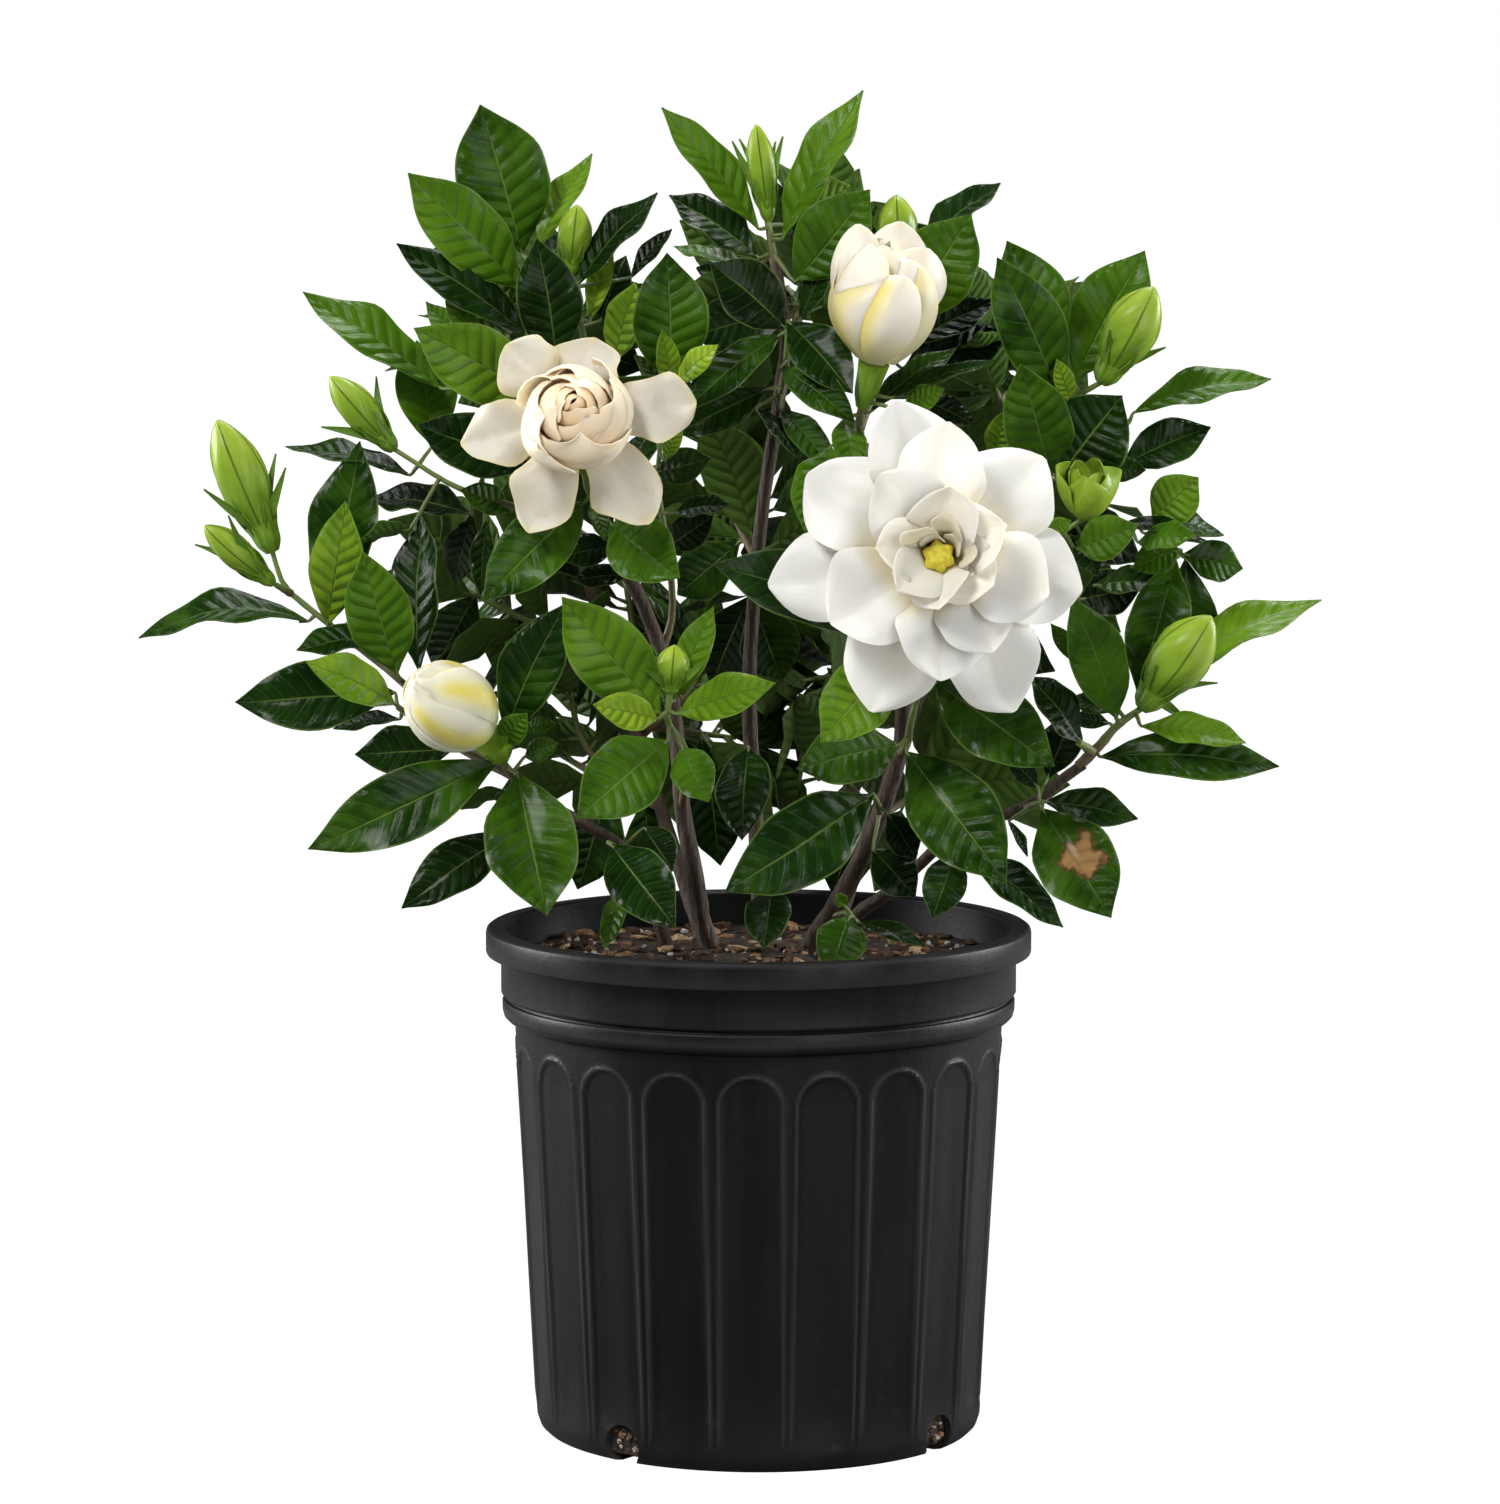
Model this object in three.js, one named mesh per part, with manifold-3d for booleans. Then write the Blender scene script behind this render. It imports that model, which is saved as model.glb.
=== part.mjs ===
// Potted gardenia: a leafy shrub with open flowers and buds, in a fluted plastic nursery pot.
// Millimetres, +Z up, origin at the centre of the pot's underside, -Y is the front.

import * as THREE from 'three';
import { mergeVertices } from 'three/addons/utils/BufferGeometryUtils.js';
import Module from 'manifold-3d';

const wasm = await Module();
wasm.setup();

// Pot: a nursery container of about 2 US gallons
const potHeight = 213;
const rimRadius = 114.5;
const rimBandHeight = 11;
const collarRadius = 108.2;
const collarBottom = 185;
const ringTop = 183;
const ringBottom = 173;
const ringRadius = 107.4;
const grooveRadius = 105.6;
const wallTopRadius = 103.7;
const baseRadius = 93.5;
const wallThickness = 2.4;
const floorThickness = 3;
const cornerRadius = 6;
const fluteCount = 20;
const fluteTop = 163;
const fluteBottom = 12;
const fluteWidth = 24;
const fluteDepth = 1.4;
const firstFluteAngle = -1.9;
const drainCount = 4;
const drainRadius = 7;
const firstDrainAngle = 53;
const potSides = 40;

// Potting mix
const soilTop = 202;
const soilClearance = 0.4;
const stemDepthInSoil = 16;

// Plant
const gap = 0.35;
const leafThickness = 1;
const petalThickness = 1.2;
const stemSides = 6;
const twigSides = 4;

// The eye's place when the plant was measured. A reading [x, depth, z] gives x and z as they
// appear on the plane of the pot's axis, and depth is the point's real distance behind it.
const eye = new THREE.Vector3(-3.6, -2200, 524);

const leafGreen = 0x2c5316;
const freshGreen = 0x6f9a22;
const barkBrown = 0x5b4128;
const twigGreen = 0x5d7030;
const petalWhite = 0xf4f2ec;
const petalCream = 0xf2dcb4;
const petalYellow = 0xefe3a0;
const stigmaYellow = 0xe2c21c;
const potBlack = 0x29282b;
const soilBrown = 0x3a2a1f;

// Woody stems, each from the soil to its tip: readings along the centre line and radii at both ends
const stems = [
  {"name": "stem_left", "radius": [4.6, 2.6], "path": [[-20, 2, 202], [-24, 0, 215], [-27, -4, 235],
    [-32, -6, 262], [-34, -8, 290], [-38, -12, 318], [-47, -20, 345], [-57, -28, 365], [-66, -36, 385]]},
  {"name": "stem_right", "radius": [4.8, 2.8], "path": [[21, -4, 202], [30, -10, 217], [40, -18, 235],
    [49, -26, 255], [56, -32, 275], [60, -34, 292], [60, -32, 320], [54, -24, 355], [48, -18, 390],
    [44, -16, 415]]},
  {"name": "stem_side", "radius": [3.2, 2.2], "path": [[33, 10, 202], [40, 2, 216], [52, -6, 225],
    [66, -14, 237],
    [78, -22, 248], [97, -30, 257], [114, -34, 264], [128, -38, 275], [136, -39, 281]]},
  {"name": "stem_centre", "radius": [4.0, 2.4], "path": [[2, 22, 202], [0, 20, 230], [-2, 14, 272],
    [-4, 8, 310], [-2, 2, 350], [2, -4, 390], [8, -6, 430], [11, -4, 460], [7, 0, 490]]},
  {"name": "stem_low_left", "radius": [3.4, 2.2], "path": [[-38, 14, 202], [-46, 8, 225], [-56, -2, 244],
    [-70, -16, 254], [-86, -34, 263], [-102, -50, 274]]},
  {"name": "stem_back_left", "radius": [3.8, 2.2], "path": [[-22, 40, 202], [-34, 52, 240], [-50, 62, 290],
    [-66, 64, 340], [-80, 60, 390], [-88, 52, 440]]},
  {"name": "stem_back_right", "radius": [3.8, 2.2], "path": [[30, 38, 202], [42, 52, 240], [60, 62, 290],
    [78, 60, 340], [92, 50, 390], [104, 36, 425]]}
];

// Leafy shoots that the front of the plant shows. A twig starts inside its stem.
// A leaf goes from the foot of its blade to its tip. turn 0 faces the eye, 90 is edge-on with
// the upper face to the sky, and past 90 shows the underside. tone runs from old to young.
const shoots = [
  {"name": "shoot_far_left", "radius": 1.8,
    "twigs": [
      [[-104, -46, 276], [-128, -32, 296], [-152, -22, 318], [-172, -14, 334], [-186, -10, 345],
        [-198, -9, 356], [-203, -10, 371]],
      [[-194, -9, 352], [-203, -16, 357]]],
    "leaves": [
      {"from": [-188, -10, 341], "to": [-259, -20, 334], "wide": 24, "turn": 62, "tone": 0.25, "arch": 0.13},
      {"from": [-180, -18, 339], "to": [-172, -34, 391], "wide": 22, "turn": 5, "tone": 0.8},
      {"from": [-179, -8, 340], "to": [-166, -6, 416], "wide": 30, "turn": 20, "tone": 0.2},
      {"from": [-160, -20, 334], "to": [-193, -34, 329], "wide": 18, "turn": 55, "tone": 0.2},
      {"from": [-151, -30, 319], "to": [-165, -52, 370], "wide": 27, "turn": 5, "tone": 0.6},
      {"from": [-142, -20, 320], "to": [-141, -10, 386], "wide": 24, "turn": 30, "tone": 0.1}]},
  {"name": "shoot_upper_left", "radius": 1.7,
    "twigs": [
      [[-57, -28, 365], [-78, -24, 380], [-102, -14, 389], [-126, -8, 397], [-152, -6, 413]],
      [[-78, -24, 380], [-90, -26, 405], [-104, -22, 426], [-126, -14, 438]]],
    "leaves": [
      {"from": [-145, -2, 402], "to": [-197, 10, 414], "wide": 20, "turn": 70, "tone": 0.15},
      {"from": [-120, 0, 386], "to": [-163, 14, 393], "wide": 24, "turn": 60, "tone": 0.1},
      {"from": [-145, -12, 380], "to": [-168, -24, 374], "wide": 13, "turn": 125, "tone": 0.3},
      {"from": [-136, 0, 414], "to": [-142, 10, 458], "wide": 26, "turn": 15, "tone": 0.45},
      {"from": [-95, -22, 405], "to": [-142, -34, 423], "wide": 26, "turn": 20, "tone": 0.1},
      {"from": [-103, -8, 387], "to": [-124, -20, 396], "wide": 13, "turn": 20, "tone": 0.35},
      {"from": [-113, -2, 384], "to": [-116, 6, 352], "wide": 11, "turn": 20, "tone": 0.15},
      {"from": [-119, 10, 386], "to": [-127, 32, 357], "wide": 16, "turn": 10, "tone": 0.05},
      {"from": [-132, -8, 438], "to": [-189, -14, 478], "wide": 24, "turn": 45, "tone": 0.55},
      {"from": [-90, -40, 432], "to": [-143, -58, 463], "wide": 30, "turn": 5, "tone": 0.6},
      {"from": [-120, 12, 452], "to": [-138, 26, 474], "wide": 11, "turn": 20, "tone": 0.5},
      {"from": [-118, -4, 456], "to": [-129, -2, 481], "wide": 11, "turn": 15, "tone": 0.65}]},
  {"name": "shoot_top_left", "radius": 1.8,
    "twigs": [
      [[-66, -36, 385], [-68, -26, 420], [-72, -16, 455], [-78, -10, 486]],
      [[-68, -26, 420], [-76, -10, 445], [-86, 2, 466], [-95, 6, 490]]],
    "leaves": [
      {"from": [-98, 0, 479], "to": [-145, -12, 527], "wide": 29, "turn": 10, "tone": 0.5},
      {"from": [-96, -2, 460], "to": [-150, -18, 498], "wide": 24, "turn": 42, "tone": 0.15},
      {"from": [-98, 8, 494], "to": [-115, -2, 555], "wide": 39, "turn": 5, "tone": 0.35},
      {"from": [-92, 2, 496], "to": [-69, 14, 535], "wide": 15, "turn": 35, "tone": 0.75},
      {"from": [-84, -18, 448], "to": [-92, -32, 500], "wide": 27, "turn": 10, "tone": 0.2},
      {"from": [-75, -14, 481], "to": [-42, -16, 519], "wide": 20, "turn": 48, "tone": 0.12},
      {"from": [-60, -28, 449], "to": [-51, -44, 482], "wide": 17, "turn": 30, "tone": 0.75},
      {"from": [-70, -8, 466], "to": [-61, -8, 497], "wide": 11, "turn": 25, "tone": 0.8},
      {"from": [-66, 6, 466], "to": [-55, 14, 493], "wide": 15, "turn": 20, "tone": 0.1},
      {"from": [-53, -2, 484], "to": [-36, -2, 504], "wide": 10, "turn": 45, "tone": 0.1}]},
  {"name": "shoot_upper_centre", "radius": 1.7,
    "twigs": [
      [[-41, -14, 326], [-36, -14, 345], [-38, -22, 372], [-42, -28, 400], [-38, -38, 436]]],
    "leaves": [
      {"from": [-37, -40, 440], "to": [-38, -54, 494], "wide": 31, "turn": 5, "tone": 0.35},
      {"from": [-37, -50, 438], "to": [-40, -68, 462], "wide": 10, "turn": 20, "tone": 0.9},
      {"from": [-34, -46, 440], "to": [-17, -66, 456], "wide": 11, "turn": 30, "tone": 0.85},
      {"from": [-39, -40, 408], "to": [-32, -50, 423], "wide": 7, "turn": 10, "tone": 0.7},
      {"from": [-43, -34, 403], "to": [-20, -46, 409], "wide": 15, "turn": 10, "tone": 0.25},
      {"from": [-36, -30, 386], "to": [-12, -42, 390], "wide": 12, "turn": 50, "tone": 0.1},
      {"from": [-38, -24, 372], "to": [-19, -34, 385], "wide": 15, "turn": 10, "tone": 0.05}]},
  {"name": "shoot_top_centre", "radius": 2,
    "twigs": [
      [[7, 0, 488], [5, 0, 498], [4, 0, 508]]],
    "leaves": [
      {"from": [0, -3, 504], "to": [-40, -14, 554], "wide": 20, "turn": 38, "tone": 0.5},
      {"from": [0, 4, 492], "to": [-37, 6, 518], "wide": 24, "turn": 45, "tone": 0.1},
      {"from": [10, -4, 500], "to": [43, -12, 561], "wide": 23, "turn": 42, "tone": 0.55},
      {"from": [15, -9, 482], "to": [46, -22, 520], "wide": 30, "turn": 5, "tone": 0.4},
      {"from": [13, 8, 506], "to": [38, 20, 522], "wide": 24, "turn": 118, "tone": 0.8},
      {"from": [15, 0, 502], "to": [22, 0, 527], "wide": 14, "turn": 25, "tone": 0.3},
      {"from": [-3, 12, 486], "to": [-35, 26, 497], "wide": 14, "turn": 62, "tone": 0.35}]},
  {"name": "shoot_inner_centre", "radius": 1.8,
    "twigs": [
      [[8, -6, 430], [11, -10, 446], [12, -16, 462]]],
    "leaves": [
      {"from": [11, -16, 463], "to": [-20, -30, 490], "wide": 27, "turn": 20, "tone": 0.12},
      {"from": [10, -22, 461], "to": [-33, -42, 428], "wide": 19, "turn": 35, "tone": 0.3},
      {"from": [4, -14, 438], "to": [-36, -24, 419], "wide": 18, "turn": 20, "tone": 0.1},
      {"from": [17, -10, 466], "to": [32, -8, 496], "wide": 13, "turn": 30, "tone": 0.12},
      {"from": [12, -20, 466], "to": [39, -42, 436], "wide": 23, "turn": 15, "tone": 0.15},
      {"from": [9, -18, 447], "to": [40, -54, 424], "wide": 17, "turn": 30, "tone": 0.25},
      {"from": [9, -14, 430], "to": [31, -38, 404], "wide": 14, "turn": 25, "tone": 0.25},
      {"from": [-1, -12, 430], "to": [17, -30, 409], "wide": 11, "turn": 50, "tone": 0.12}]},
  {"name": "shoot_opening_bud", "radius": 2.2,
    "calyx": {"from": [43, -31, 430], "to": [48, -38, 449], "wide": 12},
    "twigs": [
      [[46, -17, 404], [42, -26, 420], [44, -34, 436], [48, -38, 449]],
      [[42, -26, 420], [48, -14, 440], [56, -2, 466], [58, 2, 490]]],
    "leaves": [
      {"from": [46, -30, 428], "to": [82, -14, 455], "wide": 14, "turn": 50, "tone": 0.25},
      {"from": [55, -34, 434], "to": [98, -38, 450], "wide": 11, "turn": 60, "tone": 0.3},
      {"from": [60, -34, 429], "to": [77, -44, 438], "wide": 11, "turn": 20, "tone": 0.6},
      {"from": [36, -34, 426], "to": [40, -66, 402], "wide": 14, "turn": 10, "tone": 0.5},
      {"from": [30, -32, 414], "to": [20, -64, 377], "wide": 22, "turn": 10, "tone": 0.55},
      {"from": [66, -26, 434], "to": [90, -32, 423], "wide": 13, "turn": 30, "tone": 0.1},
      {"from": [66, -10, 494], "to": [100, -14, 523], "wide": 24, "turn": 62, "tone": 0.2},
      {"from": [62, -10, 466], "to": [88, -26, 510], "wide": 33, "turn": 8, "tone": 0.45},
      {"from": [62, 2, 456], "to": [98, 10, 475], "wide": 18, "turn": 38, "tone": 0.1},
      {"from": [60, 0, 446], "to": [104, 12, 461], "wide": 24, "turn": 20, "tone": 0.05}]},
  {"name": "shoot_upper_right", "radius": 1.9,
    "twigs": [
      [[54, -24, 355], [80, -18, 385], [104, -16, 412], [122, -18, 430], [136, -19, 437], [143, -22, 441]]],
    "leaves": [
      {"from": [125, -28, 434], "to": [99, -48, 492], "wide": 28, "turn": 5, "tone": 0.3},
      {"from": [123, -12, 448], "to": [103, -22, 499], "wide": 30, "turn": 12, "tone": 0.35},
      {"from": [131, -8, 441], "to": [160, -2, 495], "wide": 31, "turn": 12, "tone": 0.55},
      {"from": [122, -30, 402], "to": [109, -66, 448], "wide": 28, "turn": 0, "tone": 0.45},
      {"from": [130, -28, 432], "to": [124, -40, 450], "wide": 9, "turn": 10, "tone": 0.85},
      {"from": [98, -26, 408], "to": [103, -44, 429], "wide": 12, "turn": 15, "tone": 0.75}]},
  {"name": "shoot_right", "radius": 1.7,
    "twigs": [
      [[94, -17, 402], [106, -15, 400], [118, -14, 400], [136, -8, 408], [154, -4, 424]]],
    "leaves": [
      {"from": [156, -4, 428], "to": [213, -12, 442], "wide": 22, "turn": 55, "tone": 0.4, "arch": 0.07},
      {"from": [124, -18, 400], "to": [151, -34, 435], "wide": 37, "turn": 10, "tone": 0.15},
      {"from": [151, -2, 406], "to": [188, 2, 422], "wide": 20, "turn": 18, "tone": 0.2},
      {"from": [143, -10, 404], "to": [161, -20, 404], "wide": 11, "turn": 20, "tone": 0.2}]},
  {"name": "shoot_right_tips", "radius": 1.7,
    "twigs": [
      [[60, -32, 320], [86, -34, 348], [112, -34, 368], [137, -34, 385]],
      [[86, -34, 348], [112, -22, 358], [140, -12, 372], [163, -12, 384]]],
    "leaves": [
      {"from": [137, -36, 385], "to": [129, -52, 408], "wide": 15, "turn": 20, "tone": 0.95},
      {"from": [138, -42, 386], "to": [137, -70, 404], "wide": 11, "turn": 10, "tone": 1},
      {"from": [139, -38, 386], "to": [147, -52, 399], "wide": 12, "turn": 15, "tone": 0.9},
      {"from": [138, -34, 388], "to": [143, -40, 410], "wide": 12, "turn": 20, "tone": 0.9},
      {"from": [132, -38, 371], "to": [158, -56, 381], "wide": 18, "turn": 12, "tone": 0.55},
      {"from": [134, -32, 378], "to": [141, -40, 360], "wide": 15, "turn": 20, "tone": 0.2},
      {"from": [120, -38, 378], "to": [130, -48, 383], "wide": 8, "turn": 15, "tone": 0.7},
      {"from": [164, -14, 384], "to": [183, -24, 401], "wide": 21, "turn": 10, "tone": 0.7},
      {"from": [162, -8, 384], "to": [194, -6, 377], "wide": 16, "turn": 62, "tone": 0.35},
      {"from": [152, -16, 382], "to": [184, -26, 377], "wide": 14, "turn": 60, "tone": 0.1},
      {"from": [160, -4, 378], "to": [191, 8, 373], "wide": 7, "turn": 60, "tone": 0.1},
      {"from": [158, -18, 374], "to": [182, -46, 377], "wide": 14, "turn": 45, "tone": 0.4}]},
  {"name": "shoot_right_rosette", "radius": 1.7,
    "twigs": [
      [[78, 60, 340], [110, 40, 346], [140, 20, 354], [162, 4, 362], [176, -6, 369]]],
    "leaves": [
      {"from": [177, -8, 369], "to": [202, -4, 363], "wide": 18, "turn": 20, "tone": 0.3},
      {"from": [176, -10, 371], "to": [156, -16, 363], "wide": 15, "turn": 20, "tone": 0.45},
      {"from": [174, -12, 367], "to": [158, -36, 312], "wide": 25, "turn": 5, "tone": 0.35},
      {"from": [178, -4, 367], "to": [178, -4, 314], "wide": 25, "turn": 10, "tone": 0.2},
      {"from": [140, 2, 356], "to": [172, -20, 357], "wide": 16, "turn": 50, "tone": 0.3},
      {"from": [134, 12, 350], "to": [160, 0, 356], "wide": 20, "turn": 15, "tone": 0.05}]},
  {"name": "shoot_low_right", "radius": 2.4,
    "twigs": [
      [[134, -39, 280], [143, -41, 289], [150, -42, 297], [161, -44, 305]],
      [[140, -40, 286], [137, -48, 288], [134, -54, 290]]],
    "leaves": [
      {"from": [164, -26, 312], "to": [235, -12, 350], "wide": 25, "turn": 55, "tone": 0.65, "arch": 0.08},
      {"from": [150, -48, 300], "to": [131, -72, 351], "wide": 24, "turn": 12, "tone": 0.45},
      {"from": [143, -44, 284], "to": [218, -60, 280], "wide": 24, "turn": 35, "tone": 0.3, "arch": 0.05},
      {"from": [160, -50, 297], "to": [204, -70, 290], "wide": 17, "turn": 48, "tone": 0.65},
      {"from": [148, -36, 303], "to": [130, -34, 309], "wide": 10, "turn": 35, "tone": 0.2},
      {"from": [147, -40, 298], "to": [131, -30, 301], "wide": 8, "turn": 20, "tone": 0.15},
      {"from": [136, -44, 322], "to": [122, -40, 340], "wide": 8, "turn": 10, "tone": 0.6},
      {"from": [135, -54, 290], "to": [114, -66, 318], "wide": 20, "turn": 42, "tone": 0.12}]},
  {"name": "shoot_spotted_leaf", "radius": 1.8,
    "twigs": [
      [[111, -33, 262], [116, -40, 264], [119, -46, 265]]],
    "leaves": [
      {"from": [120, -46, 265], "to": [159, -54, 258], "wide": 18, "turn": 40, "tone": 0.15},
      {"from": [119, -50, 262], "to": [148, -76, 216], "wide": 33, "turn": 5, "tone": 0.3},
      {"from": [117, -42, 271], "to": [104, -48, 285], "wide": 10, "turn": 20, "tone": 0.05},
      {"from": [121, -34, 275], "to": [132, -28, 302], "wide": 18, "turn": 20, "tone": 0.03},
      {"from": [105, -34, 257], "to": [113, -42, 242], "wide": 6, "turn": 50, "tone": 0.1}]},
  {"name": "shoot_front_right", "radius": 2,
    "twigs": [
      [[59, -33, 285], [62, -46, 289], [64, -56, 300], [68, -64, 314]]],
    "leaves": [
      {"from": [73, -66, 316], "to": [124, -90, 280], "wide": 31, "turn": 12, "tone": 0.3},
      {"from": [62, -54, 286], "to": [104, -86, 231], "wide": 35, "turn": 5, "tone": 0.25},
      {"from": [59, -54, 289], "to": [16, -86, 279], "wide": 26, "turn": 22, "tone": 0.3},
      {"from": [56, -70, 326], "to": [26, -98, 290], "wide": 28, "turn": 5, "tone": 0.65}]},
  {"name": "shoot_front_centre", "radius": 1.8,
    "twigs": [
      [[51, -28, 259], [50, -44, 264], [48, -54, 268]]],
    "leaves": [
      {"from": [48, -54, 268], "to": [-14, -108, 227], "wide": 33, "turn": 5, "tone": 0.2},
      {"from": [54, -44, 260], "to": [66, -44, 241], "wide": 15, "turn": 15, "tone": 0.1},
      {"from": [48, -38, 245], "to": [66, -46, 225], "wide": 19, "turn": 15, "tone": 0.05}]},
  {"name": "shoot_side_low", "radius": 1.5,
    "twigs": [
      [[78, -22, 248], [81, -36, 248], [83, -46, 246]]],
    "leaves": [
      {"from": [84, -42, 244], "to": [128, -58, 212], "wide": 20, "turn": 48, "tone": 0.2},
      {"from": [83, -52, 244], "to": [73, -66, 216], "wide": 18, "turn": 5, "tone": 0.25}]},
  {"name": "shoot_pot_right", "radius": 1.5,
    "twigs": [
      [[30, -10, 216], [36, -22, 218], [39, -34, 217]]],
    "leaves": [
      {"from": [38, -40, 216], "to": [31, -72, 192], "wide": 21, "turn": 5, "tone": 0.4},
      {"from": [42, -32, 214], "to": [70, -52, 204], "wide": 10, "turn": 50, "tone": 0.2},
      {"from": [36, -40, 221], "to": [33, -50, 226], "wide": 6, "turn": 10, "tone": 0.7}]},
  {"name": "shoot_pot_centre", "radius": 1.6,
    "twigs": [
      [[0, 20, 232], [3, 0, 234], [6, -20, 230]]],
    "leaves": [
      {"from": [6, -28, 228], "to": [2, -70, 203], "wide": 19, "turn": 10, "tone": 0.12},
      {"from": [-4, -16, 288], "to": [-7, -62, 249], "wide": 23, "turn": 12, "tone": 0.12}]},
  {"name": "shoot_front_bud", "radius": 2,
    "twigs": [
      [[-32, -6, 262], [-30, -30, 282], [-33, -60, 291], [-38, -88, 299], [-37, -96, 311]]],
    "leaves": [
      {"from": [-41, -94, 302], "to": [-82, -112, 351], "wide": 30, "turn": 5, "tone": 0.6},
      {"from": [-42, -98, 300], "to": [-69, -122, 306], "wide": 15, "turn": 20, "tone": 0.85},
      {"from": [-34, -94, 302], "to": [7, -120, 315], "wide": 18, "turn": 28, "tone": 0.7},
      {"from": [-38, -88, 291], "to": [-76, -122, 258], "wide": 30, "turn": 5, "tone": 0.45},
      {"from": [-32, -86, 288], "to": [-21, -110, 265], "wide": 18, "turn": 5, "tone": 0.4},
      {"from": [-35, -90, 308], "to": [-19, -92, 347], "wide": 14, "turn": 10, "tone": 0.65},
      {"from": [-39, -88, 306], "to": [-49, -90, 334], "wide": 9, "turn": 35, "tone": 0.5}]},
  {"name": "shoot_ball_bud", "radius": 2.2,
    "calyx": {"from": [-107, -56, 283], "to": [-112, -64, 291], "wide": 15},
    "twigs": [
      [[-98, -46, 271], [-106, -54, 280], [-112, -62, 291]],
      [[-103, -50, 277], [-122, -42, 286], [-140, -34, 297], [-151, -30, 305]]],
    "leaves": [
      {"from": [-101, -60, 277], "to": [-89, -88, 217], "wide": 38, "turn": 5, "tone": 0.3},
      {"from": [-109, -62, 282], "to": [-189, -84, 245], "wide": 29, "turn": 12, "tone": 0.25},
      {"from": [-106, -58, 294], "to": [-81, -74, 348], "wide": 26, "turn": 15, "tone": 0.2},
      {"from": [-108, -60, 290], "to": [-97, -78, 302], "wide": 12, "turn": 5, "tone": 0.6},
      {"from": [-98, -50, 296], "to": [-85, -56, 298], "wide": 7, "turn": 10, "tone": 0.5},
      {"from": [-98, -48, 284], "to": [-84, -60, 290], "wide": 10, "turn": 15, "tone": 0.3},
      {"from": [-152, -28, 311], "to": [-219, -36, 307], "wide": 29, "turn": 20, "tone": 0.15},
      {"from": [-152, -44, 306], "to": [-189, -62, 324], "wide": 20, "turn": 35, "tone": 0.7},
      {"from": [-150, -26, 300], "to": [-178, -26, 296], "wide": 12, "turn": 62, "tone": 0.2},
      {"from": [-128, -44, 287], "to": [-169, -50, 285], "wide": 22, "turn": 25, "tone": 0.1}]},
  {"name": "shoot_low_left", "radius": 1.6,
    "twigs": [
      [[-86, -34, 263], [-94, -28, 260], [-102, -22, 256]]],
    "leaves": [
      {"from": [-103, -22, 252], "to": [-150, -40, 220], "wide": 23, "turn": 25, "tone": 0.15},
      {"from": [-106, -16, 270], "to": [-125, -14, 262], "wide": 12, "turn": 130, "tone": 0.3}]},
  {"name": "shoot_pot_left", "radius": 1.5,
    "twigs": [
      [[-56, -2, 244], [-60, -16, 246], [-63, -28, 248]]],
    "leaves": [
      {"from": [-62, -32, 247], "to": [-35, -72, 212], "wide": 26, "turn": 8, "tone": 0.15},
      {"from": [-57, -14, 228], "to": [-65, -44, 203], "wide": 10, "turn": 20, "tone": 0.55},
      {"from": [-48, -10, 254], "to": [-36, -34, 236], "wide": 17, "turn": 10, "tone": 0.05}]},
  {"name": "shoot_cream_flower", "radius": 2,
    "calyx": {"from": [-73, -54, 404], "to": [-76, -69.3, 426], "wide": 12},
    "twigs": [
      [[-61, -32, 375], [-66, -43, 388], [-71, -50, 396], [-73, -54, 404]]],
    "leaves": [
      {"from": [-72, -50, 391], "to": [-115, -76, 350], "wide": 27, "turn": 8, "tone": 0.3},
      {"from": [-62, -48, 382], "to": [-33, -76, 359], "wide": 27, "turn": 5, "tone": 0.4},
      {"from": [-70, -52, 391], "to": [-64, -64, 375], "wide": 8, "turn": 30, "tone": 0.35},
      {"from": [-60, -36, 372], "to": [-84, -44, 368], "wide": 15, "turn": 25, "tone": 0.2},
      {"from": [-54, -32, 360], "to": [-78, -34, 358], "wide": 11, "turn": 35, "tone": 0.1}]},
  {"name": "shoot_white_flower", "radius": 2.4,
    "calyx": {"from": [75, -71, 362], "to": [75, -92.3, 368], "wide": 13},
    "twigs": [
      [[60, -32, 322], [66, -48, 340], [72, -62, 355], [75, -72, 363]]],
    "leaves": [
      {"from": [58, -54, 340], "to": [-19, -86, 365], "wide": 30, "turn": 22, "tone": 0.25}]}
];

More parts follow.
